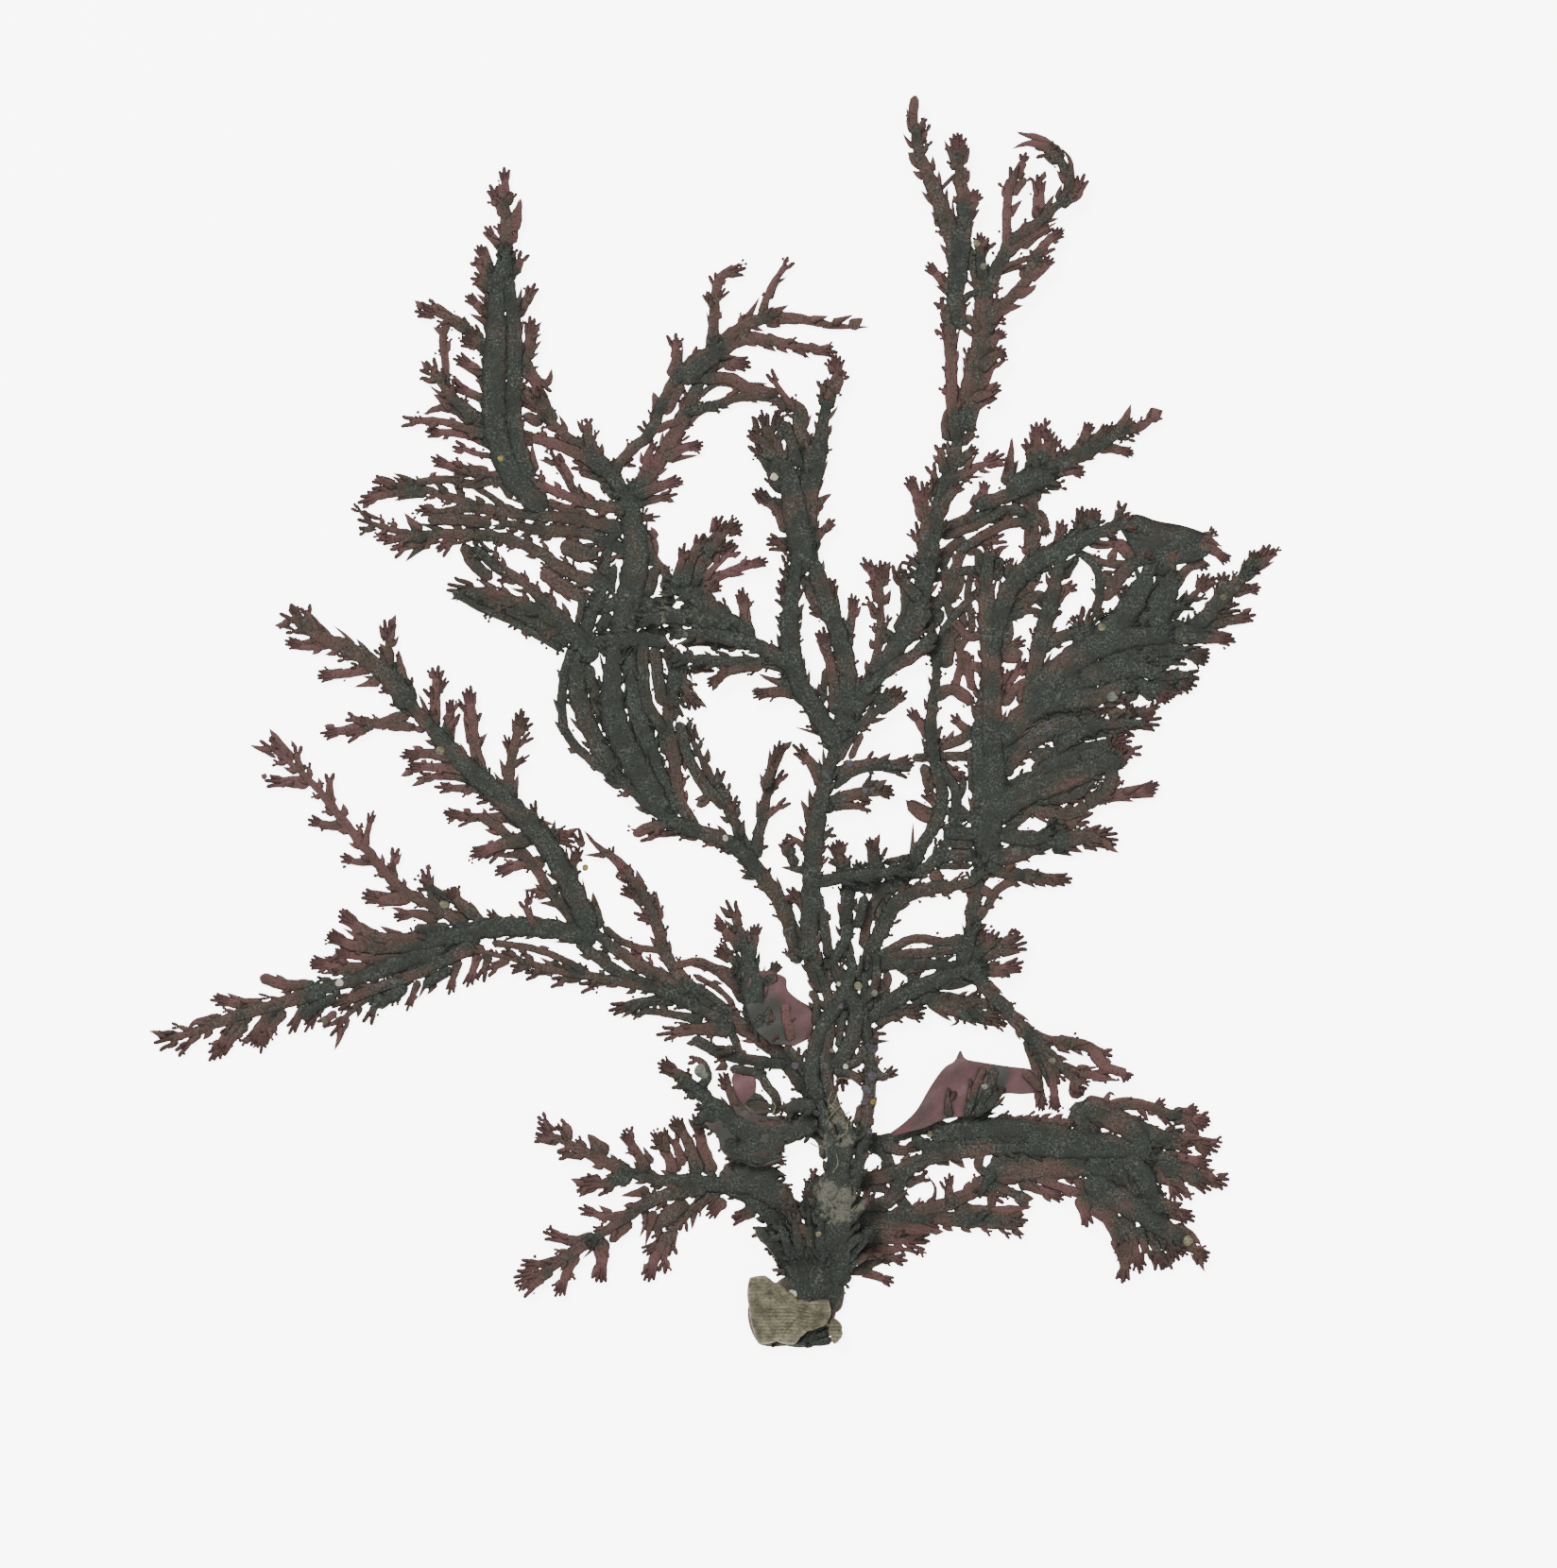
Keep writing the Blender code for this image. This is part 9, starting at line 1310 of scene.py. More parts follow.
def frond_surfaces(rows, level, shift, rng, bundle=False):
    """Surfaces of all the strands, twigs, spurs, teeth and tines of one frond."""
    surfaces = []
    for row in rows:
        width, tines, route = row
        path = smooth_route(route, STATION) + shift
        lay = rng.uniform(0.0, LAY_MOST)
        tone = rng.uniform(-1, 1)
        surfaces += branch_surfaces(row, path, level, lay, tone, shift, rng, bundle)
        run = path_run(path)
        if tines == 1 or width < TOOTHED_FROM or run[-1] < TOOTHED_LENGTH:
            continue
        for tooth in side_teeth(path, body_half(run, width, tines), width, tines, rng):
            line = smooth_route(tooth[2], TOOTH_STATION)
            at = lay + rng.uniform(*TOOTH_LAY)
            own = np.clip(tone + rng.uniform(-TOOTH_TONE, TOOTH_TONE), -1, 1)
            surfaces += branch_surfaces(tooth, line, level, at, own, NO_SHIFT, rng, bundle)
    return surfaces


def branch_surfaces(row, path, level, lay, tone, shift, rng, bundle):
    """Surfaces of one branch along its path and of the tines at its tip."""
    width, tines, route = row
    tine_list = []
    if tines > 1:
        tine_list, reach = tine_paths(width, tines + int(width > MORE_TINES_FROM), route, rng)
        run = path_run(path)
        path = path[: max(int(np.searchsorted(run, run[-1] - BODY_END * reach)), 2)]
    run = path_run(path)
    share = run / run[-1]
    half = body_half(run, width, tines)
    thick = np.full(len(path), min(THIN + THICKER * width, THICKEST))
    if tines > 0:
        thick = thick * (1 - TIP_THINNER * share)
    base = level * STEP + lay + wave_height(path[:, 0], path[:, 1])
    if bundle:
        full = bundle_thickness(path[:, 1])
        thick = np.minimum(STEM_SHARE * full, STEM_ROUND * width) + 0 * share
        base = (full - thick) * rng.uniform(*BUNDLE_LAY)
    extra = ROOT_DEPTH - (ROOT_DEPTH + YOUTH_DEPTH) * share if tines > 0 else AXIS_DEPTH + 0 * share
    marks = (extra, np.zeros(len(path)), np.full(len(path), tone), run)
    tooth = tines > 0 and width <= TOOTH_WIDTH[1]
    columns = TINE_COLUMNS if tooth else NARROW_COLUMNS
    if width > WIDE_FROM:
        columns = WIDE_COLUMNS
    ragged = 0.0 if tooth else min(RAGGED, RAGGED_SHARE * width)
    surfaces = [strand_surface(path, half, thick, base, marks, columns, ragged, rng)]
    for tine in tine_list:
        line = smooth_route(tine, TINE_STATION) + shift
        line = np.insert(line, -1, TINE_BLUNT * line[-1] + (1 - TINE_BLUNT) * line[-2], axis=0)
        tine_run = path_run(line)
        along = tine_run / tine_run[-1]
        wide = min(TINE_WIDTH, TINE_CROWDED * width / len(tine_list) + TINE_OVERLAP)
        tine_half = 0.5 * wide * (TINE_TAPER[0] - TINE_TAPER[1] * along)
        tine_thick = np.full(len(line), TINE_THICK) * (1 - TINE_THINNER * along)
        tine_base = np.full(len(line), base[-1] + rng.uniform(0, TINE_LAY))
        tine_marks = (extra[-1] + 0 * along, along, np.full(len(line), tone), tine_run)
        surfaces.append(
            strand_surface(line, tine_half, tine_thick, tine_base, tine_marks, TINE_COLUMNS, 0.0, rng))
    return surfaces


def join_surfaces(surfaces):
    """One set of points, quads, triangles and marks from many surfaces."""
    starts = np.cumsum([0] + [len(points) for points, *_ in surfaces[:-1]])
    points = np.vstack([points for points, *_ in surfaces])
    quads = np.vstack([quads + start for (_, quads, _, _), start in zip(surfaces, starts)])
    caps = np.vstack([caps + start for (_, _, caps, _), start in zip(surfaces, starts)])
    marks = np.vstack([marks for *_, marks in surfaces])
    return points, quads, caps, marks


def make_piece(name, points, quads, caps, marks, material, slot, nodes):
    """A mesh object from whole arrays, riding on the root body."""
    if solid_volume(points, quads, caps) < 0:
        quads = quads[:, ::-1]
        caps = caps[:, ::-1]
    mesh = bpy.data.meshes.new(name)
    mesh.vertices.add(len(points))
    mesh.vertices.foreach_set("co", (points * MM).astype(np.float32).ravel())
    corners = np.concatenate((quads.ravel(), caps.ravel())).astype(np.int32)
    totals = np.concatenate((np.full(len(quads), 4), np.full(len(caps), 3))).astype(np.int32)
    mesh.loops.add(len(corners))
    mesh.loops.foreach_set("vertex_index", corners)
    mesh.polygons.add(len(totals))
    mesh.polygons.foreach_set("loop_start", np.concatenate(([0], np.cumsum(totals)[:-1])).astype(np.int32))
    mesh.polygons.foreach_set("loop_total", totals)
    mesh.polygons.foreach_set("use_smooth", np.ones(len(totals), bool))
    for mark_name, values in zip(MARKS, marks.T):
        layer = mesh.attributes.new(mark_name, "FLOAT", "POINT")
        layer.data.foreach_set("value", values.astype(np.float32))
    mesh.update(calc_edges=True)
    mesh.validate()
    mesh.materials.append(material)
    piece = bpy.data.objects.new(name, mesh)
    bpy.context.scene.collection.objects.link(piece)
    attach(piece, "root")
    if nodes:
        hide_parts(*nodes)
    return piece


def make_frond(name, rows, level, shift, seed, material, slot, nodes, bundle=False, extra=()):
    """One frond's piece: its age mark from the layer map and the zones, its lime from zones."""
    rng = np.random.default_rng(seed)
    surfaces = frond_surfaces(read_rows(rows), level, shift, rng, bundle) + list(extra)
    points, quads, caps, marks = join_surfaces(surfaces)
    marks[:, 0] += layers_at(points[:, :2]) + zone_sum(points, AGE_ZONES)
    marks[:, 0] += CENTRE_DEPTH * (1 - marks[:, 4] ** 2) + TONE_DEPTH * marks[:, 2]
    marks = np.column_stack((marks, zone_sum(points, LIME_ZONES)))
    return make_piece(name, points, quads, caps, marks, material, slot, nodes)


def new_node(tree, kind, settings=(), inputs=(), stops=()):
    """Add a node: its properties, its inputs as values or links, and its colour stops."""
    node = tree.nodes.new(kind)
    for key, value in dict(settings).items():
        setattr(node, key, value)
    for key, value in dict(inputs).items():
        if isinstance(value, bpy.types.NodeSocket):
            tree.links.new(value, node.inputs[key])
        else:
            node.inputs[key].default_value = value
    for number, (place, colour) in enumerate(stops):
        elements = node.color_ramp.elements
        element = elements[number] if number < len(elements) else elements.new(place)
        element.position = place
        element.color = (*colour, 1.0)
    return node


def new_material(name, roughness, specular):
    """Principled material with the given gloss, and its tree and shader."""
    material = bpy.data.materials.new(name)
    material.use_nodes = True
    tree = material.node_tree
    shader = tree.nodes["Principled BSDF"]
    shader.inputs["Roughness"].default_value = roughness
    shader.inputs["Specular IOR Level"].default_value = specular
    shader.inputs["Metallic"].default_value = 0.0
    return material, tree, shader


def thallus_material(name, colours):
    """Dried thallus: maroon where it is thin, brown to slate-green where layers lie thick.

    Air-dried algal tissue is a matt, slightly horny skin. The pigment of the thin young parts is
    seen by light that passes twice, the thick old parts look nearly black-green. Wrinkles run
    along the strands, specks of dust lie on the old parts and patches of lime where it has grown.
    The edges of every strand are darkened with painted shade.
    """
    if name in bpy.data.materials:
        return bpy.data.materials[name]
    material, tree, shader = new_material(name, *THALLUS_GLOSS)
    place = new_node(tree, "ShaderNodeTexCoord").outputs["Object"]
    age, tip, tone, run, across, lime = (
        new_node(tree, "ShaderNodeAttribute", {"attribute_name": mark}).outputs["Fac"] for mark in MARKS)
    lengthwise = new_node(tree, "ShaderNodeCombineXYZ", {}, {"X": run, "Y": across, "Z": tone})
    lengthwise = new_node(tree, "ShaderNodeMapping", {}, {
        "Vector": lengthwise.outputs[0], "Scale": WRINKLE_SCALE}).outputs[0]
    cloud, streaks, fine, specks, dusty, patchy = (
        new_node(tree, "ShaderNodeTexNoise", {}, {
            "Vector": vector, "Scale": 1 / (size * unit), "Detail": detail, "Roughness": rough,
        }).outputs["Fac"]
        for vector, unit, (size, detail, rough) in (
            (place, MM, CLOUDS), (lengthwise, 1, WRINKLES), (place, MM, GRAIN), (place, MM, SPECKS),
            (place, MM, DUST), (place, MM, LIME_SPOTS)))
    noises = new_node(tree, "ShaderNodeCombineXYZ", {}, {"X": cloud, "Y": streaks, "Z": fine}).outputs[0]
    mottle, relief = (
        new_node(tree, "ShaderNodeVectorMath", {"operation": "DOT_PRODUCT"},
                 {0: noises, 1: weights}).outputs["Value"]
        for weights in (MOTTLE_WEIGHTS, RELIEF_WEIGHTS))
    depth = new_node(tree, "ShaderNodeMath", {"operation": "ADD"}, {0: age, 1: mottle}).outputs[0]
    edge = new_node(tree, "ShaderNodeMath", {"operation": "ABSOLUTE"}, {0: across}).outputs[0]
    limed = new_node(tree, "ShaderNodeMath", {"operation": "ADD"}, {0: patchy, 1: lime}).outputs[0]
    spread, speck, dust, aged, pit, ended, rim, chalk = (
        new_node(tree, "ShaderNodeMapRange", {}, {
            "Value": value, "From Min": low, "From Max": high, "To Min": start, "To Max": end}).outputs[0]
        for value, (low, high, start, end) in (
            (depth, SPREAD_RANGE), (specks, SPECK_RANGE), (dusty, DUST_RANGE), (depth, AGED_RANGE),
            (specks, PIT_RANGE), (tip, END_RANGE), (edge, EDGE_SHADE_RANGE), (limed, LIME_RANGE)))
    speckled = new_node(tree, "ShaderNodeMath", {"operation": "MULTIPLY"}, {0: speck, 1: dust}).outputs[0]
    dusted = new_node(tree, "ShaderNodeMath", {"operation": "MULTIPLY"}, {0: speckled, 1: aged}).outputs[0]
    # Painted shade along every strand's edges, joined with the real dark of the tine ends
    dark_tips_and_edge_shade = new_node(tree, "ShaderNodeMath", {"operation": "MAXIMUM"}, {0: ended, 1: rim}).outputs[0]
    colour = new_node(tree, "ShaderNodeValToRGB", {}, {"Fac": spread}, tuple(
        (stop, colours[key]) for stop, key in COLOUR_STOPS)).outputs["Color"]
    for amount, over in ((dusted, "fleck"), (chalk, "lime"), (pit, "tip"), (dark_tips_and_edge_shade, "tip")):
        colour = new_node(tree, "ShaderNodeMix", {"data_type": "RGBA"},
                          {0: amount, 6: colour, 7: (*colours[over], 1.0)}).outputs[2]
    tree.links.new(colour, shader.inputs["Base Color"])
    bump = new_node(tree, "ShaderNodeBump", {}, {"Strength": 0.8, "Distance": 0.15 * MM, "Height": relief})
    tree.links.new(bump.outputs["Normal"], shader.inputs["Normal"])
    return material


def blade_surface(edges, level, lift, thick, rng):
    """Closed sheet between two edge curves, puckered by sines across and along it.

    The point at u between the edges and v along them is edge A times 1 - u plus edge B times u.
    """
    upper_edge, lower_edge = (smooth_route(edge, SHEET_STEP) for edge in edges)
    count = max(len(upper_edge), len(lower_edge))
    share = np.linspace(0, 1, count)
    a, b = (
        np.stack([np.interp(share, path_run(e) / path_run(e)[-1], e[:, k]) for k in range(2)], axis=1)
        for e in (upper_edge, lower_edge)
    )
    wide = np.linalg.norm(a - b, axis=1).max()
    columns = int(wide / SHEET_STEP) + 3
    u = np.linspace(0, 1, columns)
    flat = a[:, None, :] * (1 - u)[None, :, None] + b[:, None, :] * u[None, :, None]
    x = flat[:, :, 0]
    y = flat[:, :, 1]
    phase = rng.uniform(0, 2 * math.pi, 4)
    pucker = np.sin(x * 1.9 + 0.7 * y + phase[0]) + np.sin(y * 2.3 - 0.9 * x + phase[1])
    crease = np.abs(np.sin(x * 0.9 - 1.1 * y + phase[2]))
    lift = lift + PUCKER * pucker + CREASE * crease
    low = level * STEP + wave_height(x, y) + np.clip(lift, 0.0, SHEET - thick)
    upper = np.dstack((x, y, low + thick))
    lower = np.dstack((x, y, low))
    run = np.broadcast_to((share * path_run(a)[-1])[:, None], x.shape).ravel()
    across = np.broadcast_to(1 - 2 * u, x.shape).ravel()
    zero = np.zeros(x.size)
    spots = np.column_stack((x.ravel(), y.ravel()))
    tone = zero + rng.uniform(-1, 1)
    marks = np.column_stack((zone_sum(spots, MEMBRANE_ZONES), zero, tone, run, across))
    points, quads, marks = grid_surface((upper, lower), marks, False)
    return points, quads, np.zeros((0, 3), int), marks


def membrane_material(colours):
    """Thin dried membrane, one or two layers of cells: red, satin, darker where more lies under it."""
    material, tree, shader = new_material("dried_membrane", *MEMBRANE_GLOSS)
    place = new_node(tree, "ShaderNodeTexCoord").outputs["Object"]
    age = new_node(tree, "ShaderNodeAttribute", {"attribute_name": "age"}).outputs["Fac"]
    blots, fine = (
        new_node(tree, "ShaderNodeTexNoise", {}, {
            "Vector": place, "Scale": 1 / (size * MM), "Detail": 5.0, "Roughness": rough}).outputs["Fac"]
        for size, rough in (BLOTS, MEMBRANE_GRAIN))
    depth = new_node(tree, "ShaderNodeMath", {"operation": "ADD"}, {0: blots, 1: age}).outputs[0]
    ramp = new_node(tree, "ShaderNodeValToRGB", {}, {"Fac": depth}, tuple(
        zip(MEMBRANE_STOPS, colours))).outputs["Color"]
    grain = new_node(tree, "ShaderNodeMapRange", {}, {
        "Value": fine, "From Min": 0.35, "From Max": 0.7, "To Max": 0.4}).outputs[0]
    grained = new_node(tree, "ShaderNodeMix", {"data_type": "RGBA"},
                       {0: grain, 6: ramp, 7: (*colours[-1], 1.0)}).outputs[2]
    tree.links.new(grained, shader.inputs["Base Color"])
    bump = new_node(tree, "ShaderNodeBump", {}, {"Strength": 0.4, "Distance": 0.1 * MM, "Height": fine})
    tree.links.new(bump.outputs["Normal"], shader.inputs["Normal"])
    return material


def rim_radius(rim, centre, angles):
    """Distance from the centre to the rim at each angle, straight between the rim's points."""
    offsets = np.array(rim) - centre
    theta = np.arctan2(offsets[:, 1], offsets[:, 0])
    order = np.argsort(theta)
    radius = np.hypot(offsets[:, 0], offsets[:, 1])
    return np.interp(angles, theta[order], radius[order], period=2 * math.pi)


def crust_surface(rim, centre, rings, spokes, low, height, shape):
    """Closed low mound: rings of points out to the rim, as high as shape says at each point.

    At the share s of the way out its height is MOUND_RIM + (1 - MOUND_RIM) (1 - s^8)^0.5.
    """
    angles = np.linspace(-math.pi, math.pi, spokes, endpoint=False)
    reach = rim_radius(rim, centre, angles)
    share = np.linspace(CENTRE_SHARE, 1, rings)[:, None]
    x = centre[0] + share * reach * np.cos(angles)
    y = centre[1] + share * reach * np.sin(angles)
    edge = (1 - share**8) ** 0.5 + 0 * reach
    top = low + height * (MOUND_RIM + (1 - MOUND_RIM) * edge) * shape(x, y)
    upper = np.dstack((x, y, top))
    lower = np.dstack((x, y, np.full_like(x, low)))
    zero = np.zeros(x.size)
    marks = np.column_stack((zero + 1.0, zero, zero, (share + 0 * reach).ravel(), zero))
    points, quads, marks = grid_surface((upper, lower), marks, True)
    first = np.arange(spokes)
    after = (first + 1) % spokes
    count = rings * spokes
    centre_top = len(points)
    poles = np.array(((*centre, top[0].mean()), (*centre, low)))
    caps = np.concatenate((
        np.stack((np.full(spokes, centre_top), first, after), axis=1),
        np.stack((np.full(spokes, centre_top + 1), after + count, first + count), axis=1),
    ))
    return np.vstack((points, poles)), quads, caps, np.vstack((marks, marks[:2]))


def zooid_relief(x, y):
    """Relief of the crust: rows of zooids, each one a small bump, with lumps and one crack."""
    row = y + 0.12 * np.sin(x * 1.3) + 0.08 * x
    ridge = np.abs(np.sin(math.pi * row / ZOOID_ROW))
    brick = np.floor(row / ZOOID_ROW)
    bump = np.abs(np.sin(math.pi * (x + 0.25 * brick) / ZOOID_LENGTH))
    lump = np.sin(x * 1.1 + 0.4) * np.sin(y * 1.4 + 1.0) + 0.5 * np.sin(x * 3.1 - y * 2.3)
    crack = np.exp(-((y - 0.65 * x + 0.2 + 0.3 * np.sin(2.7 * x)) / 0.12) ** 2)
    return 0.72 + 0.1 * ridge + 0.05 * bump + 0.12 * lump - 0.1 * crack


def surface_points():
    """Every vertex of the plant's pieces made so far, in millimetres."""
    clouds = []
    for piece in bpy.data.objects:
        if piece.type == "MESH" and "age" in piece.data.attributes:
            points = np.empty(len(piece.data.vertices) * 3, np.float32)
            piece.data.vertices.foreach_get("co", points)
            clouds.append(points.reshape(-1, 3) / MM)
    return np.vstack(clouds)


def top_height(points, x, y):
    """Highest of the points within DISC_REACH of the spot, or of the point nearest to it."""
    away = np.hypot(points[:, 0] - x, points[:, 1] - y)
    return points[away < away.min() + DISC_REACH, 2].max()


def disc_surface(x, y, radius, low, rng):
    """Closed low disc with a rim that wanders by a fifth of its radius."""
    angles = np.linspace(0, 2 * math.pi, DISC_CORNERS, endpoint=False)
    reach = radius * rng.uniform(*DISC_WANDER, DISC_CORNERS)
    rim = np.column_stack((x + reach * np.cos(angles), y + reach * np.sin(angles)))
    return crust_surface(rim, np.array((x, y)), *DISC_GRID, low, DISC_HEIGHT, lambda u, v: 1 + 0 * u)


def bryozoan_material(name, colours):
    """Dried bryozoan or lime crust: chalky, matt, tiny boxes in rows, dark between them."""
    material, tree, shader = new_material(name, *LIME_GLOSS)
    place = new_node(tree, "ShaderNodeTexCoord").outputs["Object"]
    cloud, fine = (
        new_node(tree, "ShaderNodeTexNoise", {}, {
            "Vector": place, "Scale": 1 / (size * MM), "Detail": 5.0}).outputs["Fac"]
        for size in (LIME_CLOUD, LIME_GRAIN))
    rows = new_node(tree, "ShaderNodeTexWave", {"bands_direction": "Y"}, {
        "Vector": place, "Scale": ZOOID_BANDS, "Distortion": 2.2, "Detail": 3.0,
        "Detail Scale": 1.4}).outputs["Fac"]
    lines, pits = (
        new_node(tree, "ShaderNodeMapRange", {}, {
            "Value": value, "From Min": low, "From Max": high, "To Min": start, "To Max": 0.0}).outputs[0]
        for value, low, high, start in ((rows, 0.0, 0.5, 0.4), (fine, 0.34, 0.5, 0.7)))
    colour = new_node(tree, "ShaderNodeValToRGB", {}, {"Fac": cloud}, tuple(
        zip(LIME_STOPS, colours))).outputs["Color"]
    for amount in (lines, pits):
        colour = new_node(tree, "ShaderNodeMix", {"data_type": "RGBA"},
                          {0: amount, 6: colour, 7: (*colours[0], 1.0)}).outputs[2]
    tree.links.new(colour, shader.inputs["Base Color"])
    bump = new_node(tree, "ShaderNodeBump", {}, {"Strength": 0.6, "Distance": 0.1 * MM, "Height": fine})
    tree.links.new(bump.outputs["Normal"], shader.inputs["Normal"])
    return material


class SeaweedLooks(bpy.types.PropertyGroup):
    """Colours and sizes a user would change."""

    thin: bpy.props.FloatVectorProperty(
        name="Thin blades", description="Single thin layers at the tips", subtype="COLOR",
        default=linear(THIN_MAROON))
    young: bpy.props.FloatVectorProperty(
        name="Young twigs", description="Twigs near the tips", subtype="COLOR",
        default=linear(YOUNG_MAROON))
    middle: bpy.props.FloatVectorProperty(
        name="Brown axes", description="Axes between tips and stems", subtype="COLOR",
        default=linear(MIDDLE_BROWN))
    old: bpy.props.FloatVectorProperty(
        name="Old axes", description="Thick or overlapping parts", subtype="COLOR",
        default=linear(OLD_SLATE))
    deep: bpy.props.FloatVectorProperty(
        name="Deepest parts", description="Where many layers lie over each other", subtype="COLOR",
        default=linear(DEEP_SLATE))
    # Besides the tine ends and pits, this colour is painted along every strand's edges as shade
    tip: bpy.props.FloatVectorProperty(
        name="Tips", description="Ends of the tines and the cut edges", subtype="COLOR",
        default=linear(TIP_AND_EDGE_SHADE_BLACK))
    fleck: bpy.props.FloatVectorProperty(
        name="Flecks", description="Pale specks on the old parts", subtype="COLOR",
        default=linear(FLECK_GREY))
    lime: bpy.props.FloatVectorProperty(
        name="Lime", description="Patches of lime crust on the stems", subtype="COLOR",
        default=linear(LIME_TAN))
    floor: bpy.props.FloatVectorProperty(
        name="Floor", description="Plain pale floor", subtype="COLOR", default=linear(FLOOR_WHITE))
    view_height: bpy.props.FloatProperty(
        name="View height", description="Height of the plane seen by the camera", unit="LENGTH",
        default=0.1412)


def looks_colours(looks):
    """The thallus colours the user has set."""
    keys = ("thin", "young", "middle", "old", "deep", "tip", "fleck", "lime")
    return {key: tuple(getattr(looks, key)) for key in keys}


class SEAWEED_OT_fronds(bpy.types.Operator):
    """Make every frond of strands, twigs and tines"""

    bl_idname = "seaweed.fronds"
    bl_label = "Fronds"

    def execute(self, context):
        material = thallus_material("air_dried_thallus", looks_colours(context.scene.seaweed_looks))
        for number, (name, rows, level, shift, slot, blades) in enumerate(FRONDS):
            rng = np.random.default_rng(number)
            extra = [blade_surface(edges, level, *FROND_SHEET, rng) for edges in blades]
            make_frond(name + "_strands", rows, level, shift, number + 1, material, slot, [name],
                       extra=extra)
        return {"FINISHED"}


class SEAWEED_OT_stems(bpy.types.Operator):
    """Make the bundle of stems over the holdfast"""

    bl_idname = "seaweed.stems"
    bl_label = "Stem bundle"

    def execute(self, context):
        material = thallus_material("air_dried_thallus", looks_colours(context.scene.seaweed_looks))
        foot = crust_surface(FOOT_RIM, np.array(FOOT_CENTRE), *FOOT_GRID, 0.0, FOOT,
                             lambda x, y: 0.8 + 0.1 * np.sin(x * 2.1) * np.sin(y * 1.7))
        make_frond("stem_bundle", STEMS + STEMS_MORE, 0, NO_SHIFT, STEM_SEED, material,
                   "dried_stem", ["holdfast_stems"], bundle=True, extra=[foot])
        return {"FINISHED"}


class SEAWEED_OT_blades(bpy.types.Operator):
    """Make the broad thin blades with their sprays"""

    bl_idname = "seaweed.blades"
    bl_label = "Blades"

    def execute(self, context):
        colours = (MEMBRANE_LIGHT, MEMBRANE_RED, MEMBRANE_DARK, MEMBRANE_SLATE)
        membrane = membrane_material(tuple(linear(code) for code in colours))
        thallus = thallus_material("air_dried_thallus", looks_colours(context.scene.seaweed_looks))
        rng = np.random.default_rng(SHEET_SEED)
        for name, rows, level, sheets, finish, sheet_nodes, strand_nodes in BLADES:
            surface = join_surfaces([blade_surface(edges, 1, *SPRAY_SHEET, rng) for edges in sheets])
            make_piece(name + "_membrane", *surface, membrane, finish, sheet_nodes)
            make_frond(name + "_strands", rows, level, NO_SHIFT, SPRAY_SEED, thallus, finish,
                       strand_nodes)
        return {"FINISHED"}


class SEAWEED_OT_crust(bpy.types.Operator):
    """Make the bryozoan crust on the holdfast, and the discs and threads on the fronds"""

    bl_idname = "seaweed.crust"
    bl_label = "Bryozoan crust"

    def execute(self, context):
        carriers = surface_points()
        rng = np.random.default_rng(DISC_SEED)
        for name, codes, discs, threads in CRUSTS:
            material = bryozoan_material(name, tuple(linear(code) for code in codes))
            surfaces = []
            for x, y, radius in discs:
                low = top_height(carriers, x, y) - DISC_SINK
                surfaces.append(disc_surface(x, y, radius, low, rng))
            for route in threads:
                path = smooth_route(route, THREAD_STATION)
                low = max(top_height(carriers, x, y) for x, y in route) - DISC_SINK
                zero = np.zeros(len(path))
                marks = (zero, zero, zero, path_run(path))
                surfaces.append(strand_surface(path, zero + THREAD / 2, zero + THREAD, zero + low, marks,
                                               TINE_COLUMNS, 0.0, rng))
            make_piece(name + "_patches", *join_surfaces(surfaces), material, "bryozoan", [])
        mounds = [crust_surface(rim, np.array(centre), *MOUND_GRID, FOOT + MOUND_LIFT, height,
                                zooid_relief) for rim, centre, height in MOUNDS]
        make_piece("bryozoan_colony", *join_surfaces(mounds), bpy.data.materials[CRUSTS[0][0]],
                   "bryozoan", ["bryozoan_crust"])
        return {"FINISHED"}


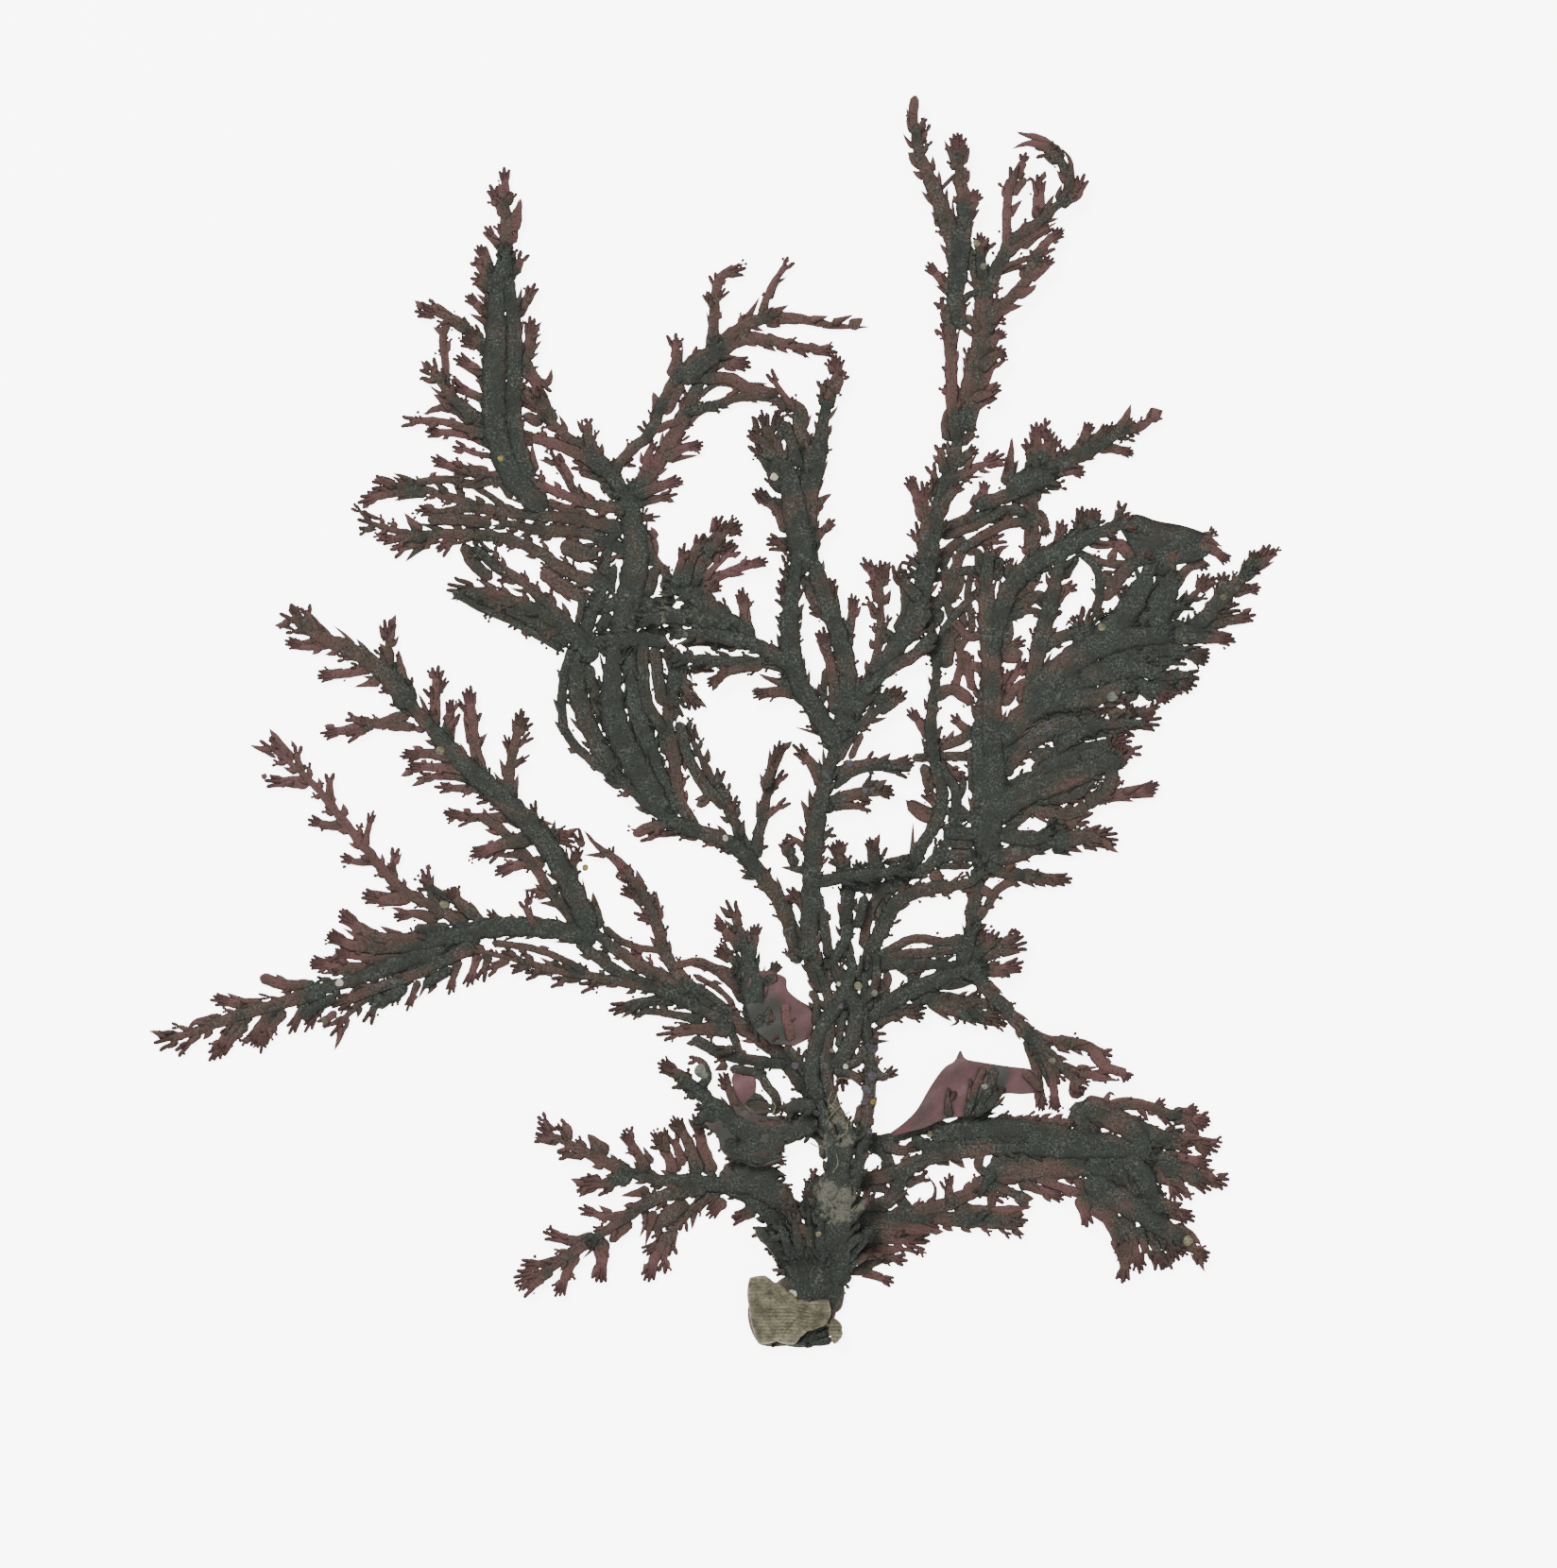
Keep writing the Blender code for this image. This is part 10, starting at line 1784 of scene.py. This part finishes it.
class SEAWEED_OT_stage(bpy.types.Operator):
    """Make the floor, the lights and the camera"""

    bl_idname = "seaweed.stage"
    bl_label = "Stage"

    def execute(self, context):
        looks = context.scene.seaweed_looks
        material, tree, shader = new_material("matt_white_board", *BOARD_GLOSS)
        shader.inputs["Base Color"].default_value = (*looks.floor, 1.0)
        shader.inputs["Emission Color"].default_value = (*looks.floor, 1.0)
        shader.inputs["Emission Strength"].default_value = FLOOR_GLOW
        bpy.ops.mesh.primitive_plane_add(size=FLOOR_SIZE)
        floor = context.object
        floor.name = "floor"
        floor.data.materials.append(material)
        world = bpy.data.worlds.new("soft_room")
        context.scene.world = world
        world.use_nodes = True
        world.node_tree.nodes["Background"].inputs["Color"].default_value = (1.0, 1.0, 1.0, 1.0)
        world.node_tree.nodes["Background"].inputs["Strength"].default_value = WORLD_STRENGTH
        for name, place, size, power in LAMPS:
            data = bpy.data.lights.new(name, "AREA")
            data.shape = "SQUARE"
            data.size = size
            data.energy = power
            lamp = bpy.data.objects.new(name, data)
            lamp.location = place
            aim = np.array((VIEW_CENTRE[0] * MM, VIEW_CENTRE[1] * MM, 0.0)) - place
            lamp.rotation_euler = Vector(aim).to_track_quat("-Z", "Y").to_euler()
            context.scene.collection.objects.link(lamp)
        data = bpy.data.cameras.new("camera")
        data.lens = LENS
        data.sensor_width = SENSOR
        data.clip_end = 100.0
        camera = bpy.data.objects.new("camera", data)
        distance = looks.view_height / 2 / (SENSOR / 2 / LENS)
        camera.location = (VIEW_CENTRE[0] * MM, VIEW_CENTRE[1] * MM, distance)
        context.scene.collection.objects.link(camera)
        context.scene.camera = camera
        return {"FINISHED"}


class SEAWEED_PT_panel(bpy.types.Panel):
    """Buttons for each group of pieces, and the colours"""

    bl_label = "Seaweed"
    bl_idname = "SEAWEED_PT_panel"
    bl_space_type = "VIEW_3D"
    bl_region_type = "UI"
    bl_category = "Seaweed"

    def draw(self, context):
        """Show a button for each operator and a field for each colour and size."""
        for operator in OPERATORS:
            self.layout.operator(operator.bl_idname)
        for key in SeaweedLooks.__annotations__:
            self.layout.prop(context.scene.seaweed_looks, key)


OPERATORS = (SEAWEED_OT_stage, SEAWEED_OT_fronds, SEAWEED_OT_stems, SEAWEED_OT_blades, SEAWEED_OT_crust)
CLASSES = (SeaweedLooks, *OPERATORS, SEAWEED_PT_panel)


def register():
    """Register the classes and give the scene its looks."""
    for item in CLASSES:
        bpy.utils.register_class(item)
    bpy.types.Scene.seaweed_looks = bpy.props.PointerProperty(type=SeaweedLooks)


def unregister():
    """Undo what register did, in the other order."""
    del bpy.types.Scene.seaweed_looks
    for item in reversed(CLASSES):
        bpy.utils.unregister_class(item)


def main():
    register()
    for item in list(bpy.data.objects):
        if item.type in ("LIGHT", "CAMERA") or (item.type == "MESH" and "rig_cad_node" not in item):
            bpy.data.objects.remove(item)
    bpy.ops.seaweed.stage()
    bpy.ops.seaweed.fronds()
    bpy.ops.seaweed.stems()
    bpy.ops.seaweed.blades()
    bpy.ops.seaweed.crust()


if __name__ == "__main__":
    main()
